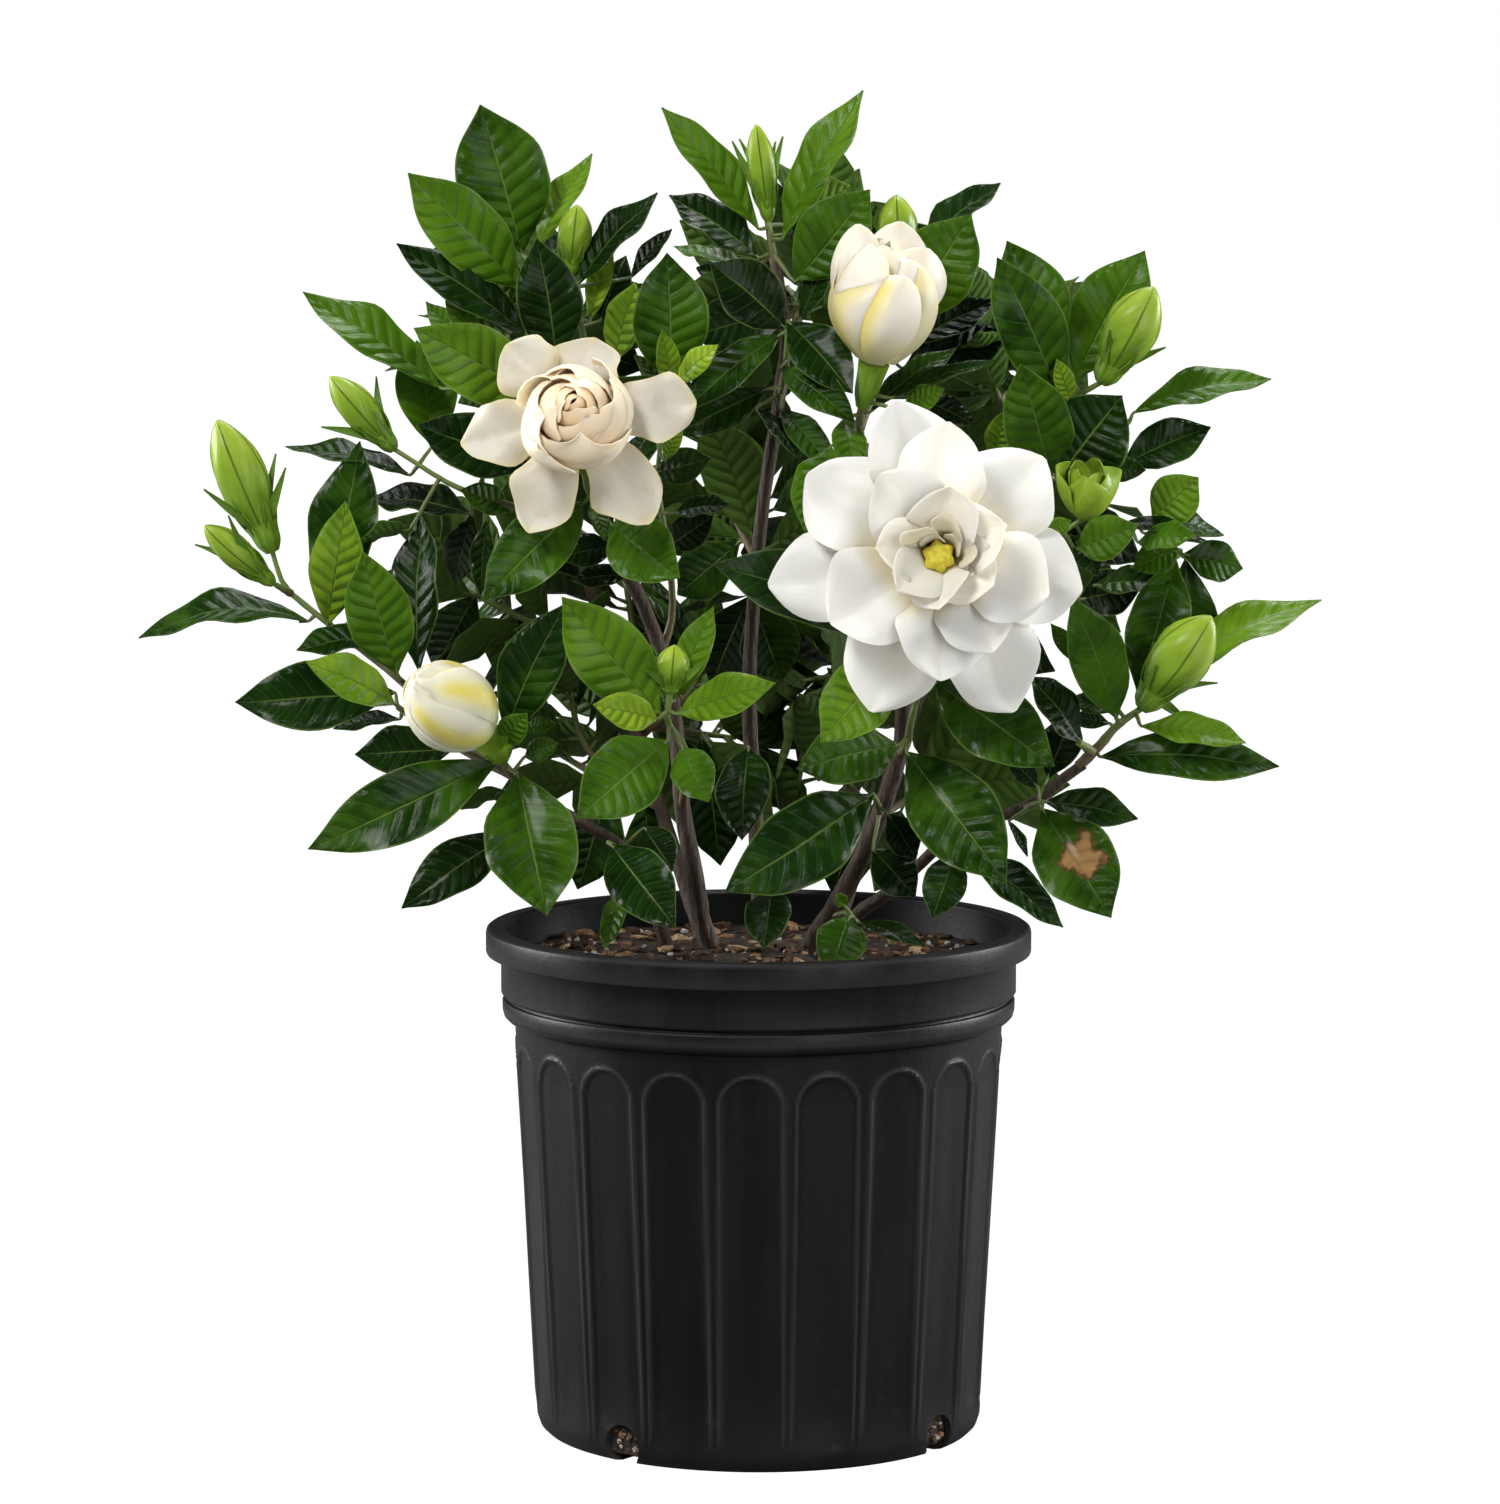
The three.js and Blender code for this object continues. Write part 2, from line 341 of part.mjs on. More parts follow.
// Shoots of the back of the plant: twigs as above, and a spiral of leaves worked out by a loop
const backShoots = [
  {"name": "back_shoot_low_left", "leaves": 12, "turn": 20,
    "twigs": [
      [[-41, 57, 262], [-78, 88, 282], [-106, 100, 300]],
      [[-58, 70, 271], [-74, 78, 292], [-80, 76, 318]],
      [[-60, 72, 272], [-58, 112, 288], [-62, 142, 306]]]},
  {"name": "back_shoot_centre_left", "leaves": 16, "turn": 70,
    "twigs": [
      [[-50, 62, 290], [-44, 95, 300], [-34, 128, 314]],
      [[-45, 92, 299], [-54, 104, 348], [-60, 112, 392]],
      [[-47, 78, 295], [-28, 82, 312], [-18, 80, 340]],
      [[-46, 86, 297], [-26, 94, 294], [-10, 100, 292]]]},
  {"name": "back_shoot_left", "leaves": 10, "turn": 150,
    "twigs": [
      [[-62, 64, 328], [-98, 76, 342], [-126, 80, 356]],
      [[-84, 72, 337], [-98, 106, 356], [-104, 128, 374]]]},
  {"name": "back_shoot_upper_left", "leaves": 10, "turn": 200,
    "twigs": [
      [[-88, 52, 439], [-94, 50, 455], [-98, 46, 472]],
      [[-90, 51, 444], [-84, 82, 452], [-80, 106, 462]]]},
  {"name": "back_shoot_inner", "leaves": 11, "turn": 250,
    "twigs": [
      [[-2, 2, 350], [0, 32, 372], [2, 70, 396]],
      [[-1, 22, 366], [-16, 48, 398], [-24, 62, 430]]]},
  {"name": "back_shoot_low_right", "leaves": 12, "turn": 300,
    "twigs": [
      [[47, 56, 256], [68, 92, 270], [86, 116, 284]],
      [[50, 62, 258], [36, 84, 274], [22, 92, 286]],
      [[60, 82, 266], [76, 118, 284], [72, 138, 304]]]},
  {"name": "back_shoot_centre_right", "leaves": 15, "turn": 340,
    "twigs": [
      [[66, 62, 306], [58, 98, 326], [42, 124, 340]],
      [[63, 76, 313], [40, 82, 318], [16, 80, 316]],
      [[60, 90, 321], [74, 112, 350], [80, 124, 378]]]},
  {"name": "back_shoot_right", "leaves": 10, "turn": 30,
    "twigs": [
      [[84, 56, 362], [104, 78, 378], [122, 88, 392]],
      [[92, 66, 369], [92, 98, 390], [94, 122, 404]]]},
  {"name": "back_shoot_upper_right", "leaves": 9, "turn": 90,
    "twigs": [
      [[104, 36, 424], [98, 42, 438], [88, 48, 454]],
      [[100, 40, 433], [110, 66, 440], [112, 88, 452]]]},
  {"name": "back_shoot_top", "leaves": 9, "turn": 160,
    "twigs": [
      [[11, -5, 455], [20, 24, 474], [26, 40, 494]],
      [[16, 12, 466], [16, 44, 472], [12, 72, 480]]]}
];
const backTwigRadius = 1.8;
const goldenAngle = 137.5;

// Closed buds: foot, tip and width of the body, and the tips of the thin sepals round it
const buds = [
  {"name": "bud_far_left", "from": [-203, -10, 371], "to": [-225, -14, 425], "wide": 21,
    "sepals": [[-231, -26, 396], [-201, -4, 411], [-197, -20, 405]]},
  {"name": "bud_far_left_small", "from": [-203, -16, 357], "to": [-231, -26, 381], "wide": 13,
    "sepals": [[-235, -18, 373], [-221, -32, 385]]},
  {"name": "bud_left", "from": [-152, -6, 413], "to": [-178, -10, 443], "wide": 15,
    "sepals": [[-182, -8, 422], [-159, 0, 443]]},
  {"name": "bud_top_left", "from": [-78, -10, 486], "to": [-75, -12, 514], "wide": 14, "sepals": []},
  {"name": "bud_top", "from": [4, 0, 508], "to": [-1, -2, 547], "wide": 12,
    "sepals": [[-11, -4, 540], [-8, 6, 541], [10, -2, 542], [7, 8, 540]]},
  {"name": "bud_behind", "from": [58, 2, 490], "to": [57, 4, 518], "wide": 16,
    "sepals": [[45, 6, 511]]},
  {"name": "bud_upper_right", "from": [143, -22, 441], "to": [164, -34, 480], "wide": 22,
    "sepals": [[169, -26, 455], [146, -40, 462]]},
  {"name": "bud_low_right", "from": [161, -44, 305], "to": [189, -58, 343], "wide": 24,
    "sepals": [[192, -46, 315], [172, -60, 321], [180, -40, 299]]},
  {"name": "bud_front", "from": [-37, -96, 311], "to": [-35, -100, 331], "wide": 13,
    "sepals": [[-47, -106, 320], [-22, -104, 324]]}
];

// Rolled flower buds that are about to open, as turned bodies
const rolledBuds = [
  {"name": "opening_bud", "from": [48, -38, 449], "to": [53, -44, 506], "wide": 50, "look": "cream",
    "outline": [[0.03, 0.3], [0.24, 0.86], [0.52, 1], [0.78, 0.86], [0.96, 0.4]]},
  {"name": "ball_bud", "from": [-112, -64, 291], "to": [-148, -84, 318], "wide": 39, "look": "yellow",
    "outline": [[0.03, 0.4], [0.22, 0.88], [0.5, 1], [0.78, 0.88], [0.96, 0.4]]}
];

// Open flowers. Each whorl's petals start at the heart, at the whorl's own depth, and "to" is a tip.
const whiteFlower = {
  "heart": [75, 368],
  "stigma": {"depth": [-107.7, -125], "wide": 12},
  "whorls": [
    {"name": "white_flower_inner_petals", "depth": -105, "arch": 0.16, "cup": 0.4, "petals": [
      {"to": [49, -126, 372], "wide": 26}, {"to": [58, -134, 354], "wide": 24},
      {"to": [75, -132, 346], "wide": 26}, {"to": [98, -128, 356], "wide": 28},
      {"to": [103, -126, 381], "wide": 28}, {"to": [80, -128, 397], "wide": 28}]},
    {"name": "white_flower_middle_petals", "depth": -100, "arch": 0.16, "cup": 0.22, "petals": [
      {"to": [79, -112, 424], "wide": 36}, {"to": [50, -118, 402], "wide": 34},
      {"to": [30, -110, 340], "wide": 42}, {"to": [76, -114, 316], "wide": 40},
      {"to": [98, -116, 328], "wide": 34}, {"to": [121, -112, 352], "wide": 38}]},
    {"name": "white_flower_outer_petals", "depth": -95, "arch": 0.12, "cup": 0.12, "petals": [
      {"to": [57, -94, 433], "wide": 40}, {"to": [119, -92, 409], "wide": 42},
      {"to": [135, -94, 354], "wide": 40}, {"to": [107, -98, 303], "wide": 40},
      {"to": [47, -98, 303], "wide": 40}, {"to": [4, -92, 356], "wide": 38},
      {"to": [20, -96, 402], "wide": 42}]}
  ]
};
const creamFlower = {
  "heart": [-76, 427],
  "whorls": [
    {"name": "cream_flower_rolled_petals", "depth": -77, "arch": 0.2, "cup": 0.5, "rings": [
      {"count": 5, "reach": 25, "rise": 18, "wide": 34, "turn": 20}],
      "core": {"wide": 26, "reach": 24}},
    {"name": "cream_flower_spread_petals", "depth": -72, "arch": 0.1, "cup": 0.14, "petals": [
      {"to": [-124, -70, 415], "wide": 24}, {"to": [-105, -72, 456], "wide": 24},
      {"to": [-68, -74, 459], "wide": 28}, {"to": [-26, -74, 432], "wide": 26},
      {"to": [-45, -80, 382], "wide": 26}, {"to": [-96, -76, 378], "wide": 23}]}
  ]
};
const hubRadius = 5;
const hubLength = 4.6;
const petalTwist = 12;
const clawInset = 3.5;
const coreOutline = [[0, 0.6], [0.45, 1], [0.8, 0.92], [0.96, 0.5]];
const rollOutline = [[0, 0.3], [0.35, 0.9], [0.75, 1], [1, 0.4]];

// Outlines: how far along, and the share of the full width there
const leafOutline = [[0.04, 0.14], [0.3, 0.94], [0.66, 0.88], [1, 0]];
const smallLeafOutline = [[0.04, 0.2], [0.48, 1], [1, 0]];
const petalOutline = [[0, 0.2], [0.45, 0.78], [0.78, 1], [1, 0.3]];
const budOutline = [[0.02, 0.4], [0.25, 0.96], [0.55, 0.9], [0.88, 0.3]];

// Cross sections: shares of the half width and of the half thickness, in order round the edge
const section = [[1, 0], [0, 1], [-1, 0], [0, -1]];
const clearanceSection = [[1, -1], [1, 1], [0, 1], [-1, 1], [-1, -1], [0, -1]];

const leafCup = 0.25;
const leafArch = 0.045;
const stalkRadius = 0.9;
const hiddenTwig = 6;
const sepalWidth = 3.4;
const budSides = 6;
const smallLeaf = 45;

const front = new THREE.Vector3(0, -1, 0);
const up = new THREE.Vector3(0, 0, 1);

function place([x, depth, z]) {
  const reach = (depth - eye.y) / -eye.y;
  return new THREE.Vector3(x, 0, z).sub(eye).multiplyScalar(reach).add(eye);
}

// A closed three.js geometry as a solid whose faces point out
function toSolid(geometry) {
  geometry.deleteAttribute('normal');
  geometry.deleteAttribute('uv');
  const merged = mergeVertices(geometry, 1e-4);
  const corners = merged.index.array;
  const triVerts = [];
  for (let i = 0; i < corners.length; i += 3) {
    const [a, b, c] = corners.slice(i, i + 3);
    if (a !== b && b !== c && c !== a) triVerts.push(a, b, c);
  }
  const vertProperties = merged.attributes.position.array;
  const build = order => new wasm.Manifold(new wasm.Mesh({
    numProp: 3, vertProperties, triVerts: new Uint32Array(order)
  }));
  const solid = build(triVerts);
  return solid.volume() > 0 ? solid : build(triVerts.reverse());
}

function join(solids) {
  return solids.reduce((whole, solid) => whole.add(solid));
}

// The part of b that is square to a, at unit length
function squareTo(a, b) {
  return b.clone().addScaledVector(a, -b.dot(a)).normalize();
}

// Directions of a blade whose upper face turns from the eye towards the sky
function bladeFrame(from, to, turn) {
  const along = to.clone().sub(from).normalize();
  const view = Math.abs(along.dot(front)) > 0.97 ? up : front;
  const facing = squareTo(along, view);
  const side = new THREE.Vector3().crossVectors(along, facing);
  if (side.z < -1e-3 || (Math.abs(side.z) <= 1e-3 && side.x < 0)) side.negate();
  const angle = THREE.MathUtils.degToRad(turn);
  return facing.multiplyScalar(Math.cos(angle)).addScaledVector(side, Math.sin(angle));
}

// A thin cupped blade from foot to tip, with a stalk that reaches back to "stalk" if it has one.
// "grow" makes it that much fatter all round.
function blade({from, to, face, wide, thick, arch, cup, outline, stalk}, grow = 0) {
  const run = to.clone().sub(from);
  const along = run.clone().normalize();
  const across = new THREE.Vector3().crossVectors(along, face);
  const stations = outline.map(([share, width]) => {
    const bend = arch * run.length() * 4 * share * (1 - share);
    const centre = from.clone().addScaledVector(run, share).addScaledVector(face, bend);
    const half = width * wide / 2;
    return {centre, across, face, half, lift: cup * half, rise: width > 0 ? thick / 2 : 0};
  });
  if (grow > 0) stations.at(-1).centre.addScaledVector(along, grow);
  if (stalk) {
    const reach = from.clone().sub(stalk);
    const way = reach.length() > 2 ? reach.normalize() : along;
    const stalkAcross = squareTo(way, Math.abs(across.dot(way)) > 0.97 ? face : across);
    const stalkFace = new THREE.Vector3().crossVectors(stalkAcross, way);
    stations.unshift({
      centre: stalk, across: stalkAcross, face: stalkFace, half: stalkRadius, lift: 0, rise: stalkRadius
    });
  }
  const ring = grow > 0 ? clearanceSection : section;
  const last = stations.length - 1;
  const geometry = new THREE.CylinderGeometry(1, 1, last, ring.length, last);
  const points = geometry.attributes.position;
  for (let i = 0; i < points.count; i++) {
    const station = stations[Math.round(points.getY(i) + last / 2)];
    const onEdge = Math.hypot(points.getX(i), points.getZ(i)) > 0.5;
    const turns = Math.atan2(points.getX(i), points.getZ(i)) / (2 * Math.PI);
    const corner = (Math.round(turns * ring.length) + ring.length) % ring.length;
    const [u, v] = onEdge ? ring[corner] : [0, 0];
    const point = station.centre.clone()
      .addScaledVector(station.across, u * (station.half + grow))
      .addScaledVector(station.face, u * u * station.lift + v * (station.rise + grow));
    points.setXYZ(i, point.x, point.y, point.z);
  }
  return toSolid(geometry);
}

// A round tube along a curve
function tube(curve, radius, sides, steps) {
  const shape = new THREE.Shape();
  shape.absarc(0, 0, radius, 0, 2 * Math.PI);
  return toSolid(new THREE.ExtrudeGeometry(shape, {curveSegments: sides / 2, steps, extrudePath: curve}));
}

// A turned body from "from" to "to". "outline" holds shares of its length and of its half width.
function turned(from, to, wide, outline, sides, grow = 0) {
  const axis = to.clone().sub(from);
  const length = axis.length();
  const profile = [
    new THREE.Vector2(0, -grow),
    ...outline.map(([share, width]) =>
      new THREE.Vector2(width * wide / 2 + grow, share * (length + 2 * grow) - grow)),
    new THREE.Vector2(0, length + grow)
  ];
  const geometry = new THREE.LatheGeometry(profile, sides);
  const spin = new THREE.Quaternion().setFromUnitVectors(new THREE.Vector3(0, 1, 0), axis.normalize());
  geometry.applyQuaternion(spin);
  geometry.translate(from.x, from.y, from.z);
  return toSolid(geometry);
}

function nearestOnPaths(paths, point) {
  const found = new THREE.Vector3();
  const best = new THREE.Vector3();
  let distance = Infinity;
  for (const path of paths) {
    for (let i = 1; i < path.length; i++) {
      new THREE.Line3(path[i - 1], path[i]).closestPointToPoint(point, true, found);
      if (found.distanceTo(point) < distance) {
        distance = found.distanceTo(point);
        best.copy(found);
      }
    }
  }
  return best;
}

function makeStem({radius, path}, grow = 0) {
  const points = path.map(place);
  points.unshift(new THREE.Vector3(points[0].x, points[0].y, soilTop - stemDepthInSoil));
  const curve = new THREE.CatmullRomCurve3(points);
  const share = (gap - grow) / curve.getLength();
  return join([[0, 0.51], [0.49, 1]].map(([start, end], i) => {
    const route = [start + share, 0.25, 0.5, 0.75, end - share];
    const points = route.map((t, k) => curve.getPointAt(k % 4 === 0 ? t : start + (end - start) * t));
    return tube(new THREE.CatmullRomCurve3(points), radius[i] + grow, stemSides, 4);
  }));
}

// Curves of a shoot's twigs. A side twig starts on the middle line of the first one.
function twigCurves(twigs) {
  const curves = [];
  for (const twig of twigs) {
    const points = twig.map(place);
    if (curves.length > 0) {
      points[0] = nearestOnPaths([curves[0].getSpacedPoints(twigs[0].length)], points[0]);
    }
    curves.push(new THREE.CatmullRomCurve3(points));
  }
  return curves;
}

// A twig's middle line without the start that its stem hides
function visibleTwig(curve, steps) {
  const path = curve.getSpacedPoints(steps);
  const start = path[0].clone().lerp(path[1], Math.min(1, hiddenTwig / path[0].distanceTo(path[1])));
  return [start, ...path.slice(1)];
}

function makeLeaf(leaf, paths, grow) {
  const from = place(leaf.from);
  const to = place(leaf.to);
  return blade({
    from, to, face: bladeFrame(from, to, leaf.turn), wide: leaf.wide, thick: leafThickness,
    arch: leaf.arch ?? leafArch, cup: leafCup,
    outline: from.distanceTo(to) < smallLeaf ? smallLeafOutline : leafOutline,
    stalk: nearestOnPaths(paths, from)
  }, grow);
}

function makeShoot(shoot, grow = 0) {
  const curves = twigCurves(shoot.twigs);
  const steps = shoot.twigs.map(twig => twig.length);
  const solids = curves.map((curve, i) => tube(curve, shoot.radius + grow, twigSides, steps[i]));
  const paths = curves.map((curve, i) => visibleTwig(curve, steps[i]));
  if (shoot.calyx) {
    const {from, to, wide} = shoot.calyx;
    solids.push(turned(place(from), place(to), wide, [[0, 0.5], [0.6, 0.8], [1, 1]], budSides, grow));
  }
  solids.push(...shoot.leaves.map(leaf => makeLeaf(leaf, paths, grow)));
  return join(solids);
}

// Leaves in a spiral up the outer part of each twig, spread wide at first and steeper at the tip
function makeBackShoot(shoot, grow = 0) {
  const curves = twigCurves(shoot.twigs);
  const solids = curves.map(curve => tube(curve, backTwigRadius + grow, twigSides, 3));
  for (let i = 0; i < shoot.leaves; i++) {
    const curve = curves[i % curves.length];
    const share = (i + 1) / shoot.leaves;
    const foot = curve.getPointAt(0.4 + 0.6 * share);
    const way = curve.getTangentAt(0.4 + 0.6 * share);
    const out = squareTo(way, Math.abs(way.x) > 0.9 ? up : new THREE.Vector3(1, 0, 0));
    out.applyAxisAngle(way, THREE.MathUtils.degToRad(shoot.turn + goldenAngle * i));
    const lean = THREE.MathUtils.degToRad(THREE.MathUtils.lerp(82, 38, share));
    const along = out.clone().multiplyScalar(Math.sin(lean)).addScaledVector(way, Math.cos(lean));
    const from = foot.clone().addScaledVector(along, 6);
    const to = foot.clone().addScaledVector(along, THREE.MathUtils.lerp(64, 50, share));
    solids.push(blade({
      from, to, face: squareTo(along, way), wide: THREE.MathUtils.lerp(27, 22, share),
      thick: leafThickness, arch: 0.06, cup: leafCup, outline: smallLeafOutline, stalk: foot
    }, grow));
  }
  return join(solids);
}

function makeBud({from, to, wide, sepals}, grow = 0) {
  const foot = place(from);
  const tip = place(to);
  const body = turned(foot, tip, wide, budOutline, budSides, grow);
  return join([body, ...sepals.map(sepal => {
    const start = foot.clone().lerp(tip, 0.12);
    const end = place(sepal);
    return blade({
      from: start, to: end, face: bladeFrame(start, end, 0), wide: sepalWidth, thick: leafThickness,
      arch: 0, cup: 0, outline: [[0, 1], [1, 0]]
    }, grow);
  })]);
}

function makeRolledBud({from, to, wide, outline}, grow = 0) {
  return turned(place(from), place(to), wide, outline, 10, grow);
}

function makeHub(heart, depth, grow) {
  const [x, z] = heart;
  const start = place([x, depth + hubLength / 2, z]);
  const end = place([x, depth - hubLength / 2, z]);
  return turned(start, end, hubRadius * 2, [[0, 1], [1, 1]], budSides, grow);
}

function makeWhorl(heart, {depth, arch, cup, petals, rings, core}, grow = 0) {
  const [x, z] = heart;
  const centre = place([x, depth, z]);
  const solids = [makeHub(heart, depth, grow)];
  const clawAt = tip => centre.clone().lerp(tip, clawInset / centre.distanceTo(tip));
  if (core) {
    const end = centre.clone().addScaledVector(front, core.reach);
    solids.push(turned(centre, end, core.wide, coreOutline, 8, grow));
  }
  for (const {to, wide} of petals ?? []) {
    const tip = place(to);
    const from = clawAt(tip);
    solids.push(blade({
      from, to: tip, face: bladeFrame(from, tip, petalTwist), wide, thick: petalThickness,
      arch, cup, outline: petalOutline
    }, grow));
  }
  for (const {count, reach, rise, wide, turn} of rings ?? []) {
    for (let i = 0; i < count; i++) {
      const angle = THREE.MathUtils.degToRad(turn + 360 * i / count);
      const tip = place([x + reach * Math.cos(angle), depth - rise, z + reach * Math.sin(angle)]);
      const from = clawAt(tip);
      const inward = from.clone().sub(tip).setY(0).normalize();
      solids.push(blade({
        from, to: tip, face: squareTo(tip.clone().sub(from).normalize(), inward), wide,
        thick: petalThickness, arch: -arch, cup, outline: rollOutline
      }, grow));
    }
  }
  return join(solids);
}

function makeStigma({heart, stigma}, grow = 0) {
  const [x, z] = heart;
  const [start, end] = stigma.depth;
  const outline = [[0.02, 0.3], [0.4, 0.4], [0.62, 0.95], [0.85, 1], [0.97, 0.6]];
  return turned(place([x, start, z]), place([x, end, z]), stigma.wide, outline, budSides, grow);
}

// Turned about the pot's axis, from points [radius, height] that start and end on the axis
function potLathe(points) {
  const profile = points.map(([radius, height]) => new THREE.Vector2(radius, height));
  const geometry = new THREE.LatheGeometry(
    profile, potSides, THREE.MathUtils.degToRad(firstFluteAngle + 180 / potSides));
  geometry.rotateX(Math.PI / 2);
  return toSolid(geometry);
}

// Slope of the plain lower wall
const wallTop = 164;
const wallLean = 0.0517;

const inside = [
  [baseRadius - 3, floorThickness],
  [baseRadius + wallLean * wallTop - wallThickness, wallTop - 4],
  [grooveRadius - wallThickness, ringTop],
  [collarRadius - wallThickness, 189]
];

function makePot() {
  const body = potLathe([
    [0, 0],
    [baseRadius - cornerRadius, 0],
    [baseRadius - 1.6, 1.8],
    [baseRadius + wallLean * cornerRadius, cornerRadius],
    [baseRadius + wallLean * wallTop, wallTop],
    [wallTopRadius, wallTop + 4],
    [ringRadius, ringBottom],
    [ringRadius, ringTop],
    [grooveRadius, ringTop + 0.5],
    [grooveRadius, collarBottom],
    [collarRadius, collarBottom],
    [collarRadius, potHeight - rimBandHeight],
    [rimRadius, potHeight - rimBandHeight],
    [rimRadius, potHeight - 1.5],
    [rimRadius - 1.5, potHeight],
    [collarRadius - wallThickness, potHeight],
    ...inside.toReversed(),
    [0, floorThickness]
  ]);
  const arch = new THREE.Shape();
  arch.moveTo(-fluteWidth / 2 + 1, fluteBottom);
  arch.lineTo(fluteWidth / 2 - 1, fluteBottom);
  arch.absarc(0, fluteTop - fluteWidth / 2, fluteWidth / 2, 0, Math.PI);
  let pot = body;
  for (let i = 0; i < fluteCount; i++) {
    const flute = new THREE.ExtrudeGeometry(arch, {depth: 12, curveSegments: 1.5, bevelEnabled: false});
    flute.rotateX(Math.PI / 2);
    flute.rotateX(Math.atan(wallLean));
    flute.translate(0, -(baseRadius - fluteDepth), 0);
    flute.rotateZ(THREE.MathUtils.degToRad(firstFluteAngle + i * 360 / fluteCount));
    pot = pot.subtract(toSolid(flute));
  }
  for (let i = 0; i < drainCount; i++) {
    const drain = new THREE.CylinderGeometry(drainRadius, drainRadius, 24, 8);
    drain.translate(0, -baseRadius, drainRadius + 2);
    drain.rotateZ(THREE.MathUtils.degToRad(firstDrainAngle + i * 360 / drainCount));
    pot = pot.subtract(toSolid(drain));
  }
  return pot;
}

function makeSoil() {
  const profile = inside.map(([radius, height], i) =>
    [radius - soilClearance, i === 0 ? height + soilClearance : height]);
  return potLathe([
    [0, floorThickness + soilClearance],
    ...profile,
    [collarRadius - wallThickness - soilClearance, soilTop - 3],
    [0, soilTop + 2]
  ]);
}

const looks = {
  pot: {color: potBlack, roughness: 0.5},
  soil: {color: soilBrown, roughness: 0.95},
  stem: {color: barkBrown, roughness: 0.8},
  shoot: {color: leafGreen, roughness: 0.35},
  bud: {color: freshGreen, roughness: 0.45},
  white: {color: petalWhite, roughness: 0.55},
  cream: {color: petalCream, roughness: 0.6},
  yellow: {color: petalYellow, roughness: 0.55},
  stigma: {color: stigmaYellow, roughness: 0.7}
};

const gardenia = new THREE.Group();
const clearances = [];

// Adds a named piece, cut clear of the pieces already there. Its own fatter copy cuts later ones.
function addPiece(parent, name, look, solid, fatter) {
  const box = solid.boundingBox();
  const near = clearances.filter(({bounds}) => [0, 1, 2].every(
    axis => bounds.min[axis] < box.max[axis] && bounds.max[axis] > box.min[axis]));
  const cut = near.reduce((rest, other) => rest.subtract(other.solid), solid);
  const pieces = cut.decompose().sort((a, b) => b.volume() - a.volume());
  const {vertProperties, triVerts} = pieces[0].getMesh();
  const geometry = new THREE.BufferGeometry();
  geometry.setAttribute('position', new THREE.BufferAttribute(vertProperties, 3));
  geometry.setIndex(new THREE.BufferAttribute(triVerts, 1));
  geometry.computeVertexNormals();
  const mesh = new THREE.Mesh(geometry, new THREE.MeshStandardMaterial({metalness: 0, ...looks[look]}));
  mesh.name = name;
  parent.add(mesh);
  if (fatter) clearances.push({solid: fatter, bounds: fatter.boundingBox()});
}

const container = new THREE.Group();
const plant = new THREE.Group();
gardenia.add(container, plant);

addPiece(container, 'pot', 'pot', makePot());
for (const stem of stems) {
  addPiece(plant, stem.name, 'stem', makeStem(stem), makeStem(stem, gap));
}
addPiece(container, 'soil', 'soil', makeSoil());
addPiece(plant, 'white_flower_stigma', 'stigma', makeStigma(whiteFlower), makeStigma(whiteFlower, gap));
for (const [flower, look] of [[whiteFlower, 'white'], [creamFlower, 'cream']]) {
  for (const whorl of flower.whorls) {
    const make = grow => makeWhorl(flower.heart, whorl, grow);
    addPiece(plant, whorl.name, look, make(0), make(gap));
  }
}
for (const bud of buds) {
  addPiece(plant, bud.name, 'bud', makeBud(bud), makeBud(bud, gap));
}
for (const bud of rolledBuds) {
  addPiece(plant, bud.name, bud.look, makeRolledBud(bud), makeRolledBud(bud, gap));
}
for (const shoot of shoots) {
  addPiece(plant, shoot.name, 'shoot', makeShoot(shoot), makeShoot(shoot, gap));
}
for (const shoot of backShoots) {
  addPiece(plant, shoot.name, 'shoot', makeBackShoot(shoot), makeBackShoot(shoot, gap));
}

export default gardenia;
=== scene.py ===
# A gardenia in a black nursery pot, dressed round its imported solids.
# Metres, +Z up, the viewer stands at -Y. The plant's own lists are in millimetres.
import math
import random

import bmesh
import bpy
from mathutils import Matrix, Vector, noise


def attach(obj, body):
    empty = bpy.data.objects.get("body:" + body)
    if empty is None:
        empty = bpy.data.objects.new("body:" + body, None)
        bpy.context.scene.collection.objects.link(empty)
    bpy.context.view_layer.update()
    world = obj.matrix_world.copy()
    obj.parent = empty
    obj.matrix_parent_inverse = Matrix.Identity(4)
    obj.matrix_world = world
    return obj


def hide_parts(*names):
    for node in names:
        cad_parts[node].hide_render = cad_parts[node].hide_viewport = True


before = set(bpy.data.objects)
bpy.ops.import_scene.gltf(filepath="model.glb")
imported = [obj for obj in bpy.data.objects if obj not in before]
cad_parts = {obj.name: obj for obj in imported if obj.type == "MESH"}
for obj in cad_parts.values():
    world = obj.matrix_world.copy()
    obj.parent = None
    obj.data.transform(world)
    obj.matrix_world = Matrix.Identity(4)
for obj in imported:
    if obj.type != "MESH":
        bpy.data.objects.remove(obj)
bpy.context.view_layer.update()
print("frame loaded")

millimetre = 0.001
up = Vector((0, 0, 1))
front = Vector((0, -1, 0))
right = Vector((1, 0, 0))
turnOnce = 2 * math.pi

cameraSettings = {
    "place": (-0.0036, -2.2, 0.524),
    "aim": (-0.0036, 0, 0.286),
    "lens": 126.5,
    "sensor": 36,
}


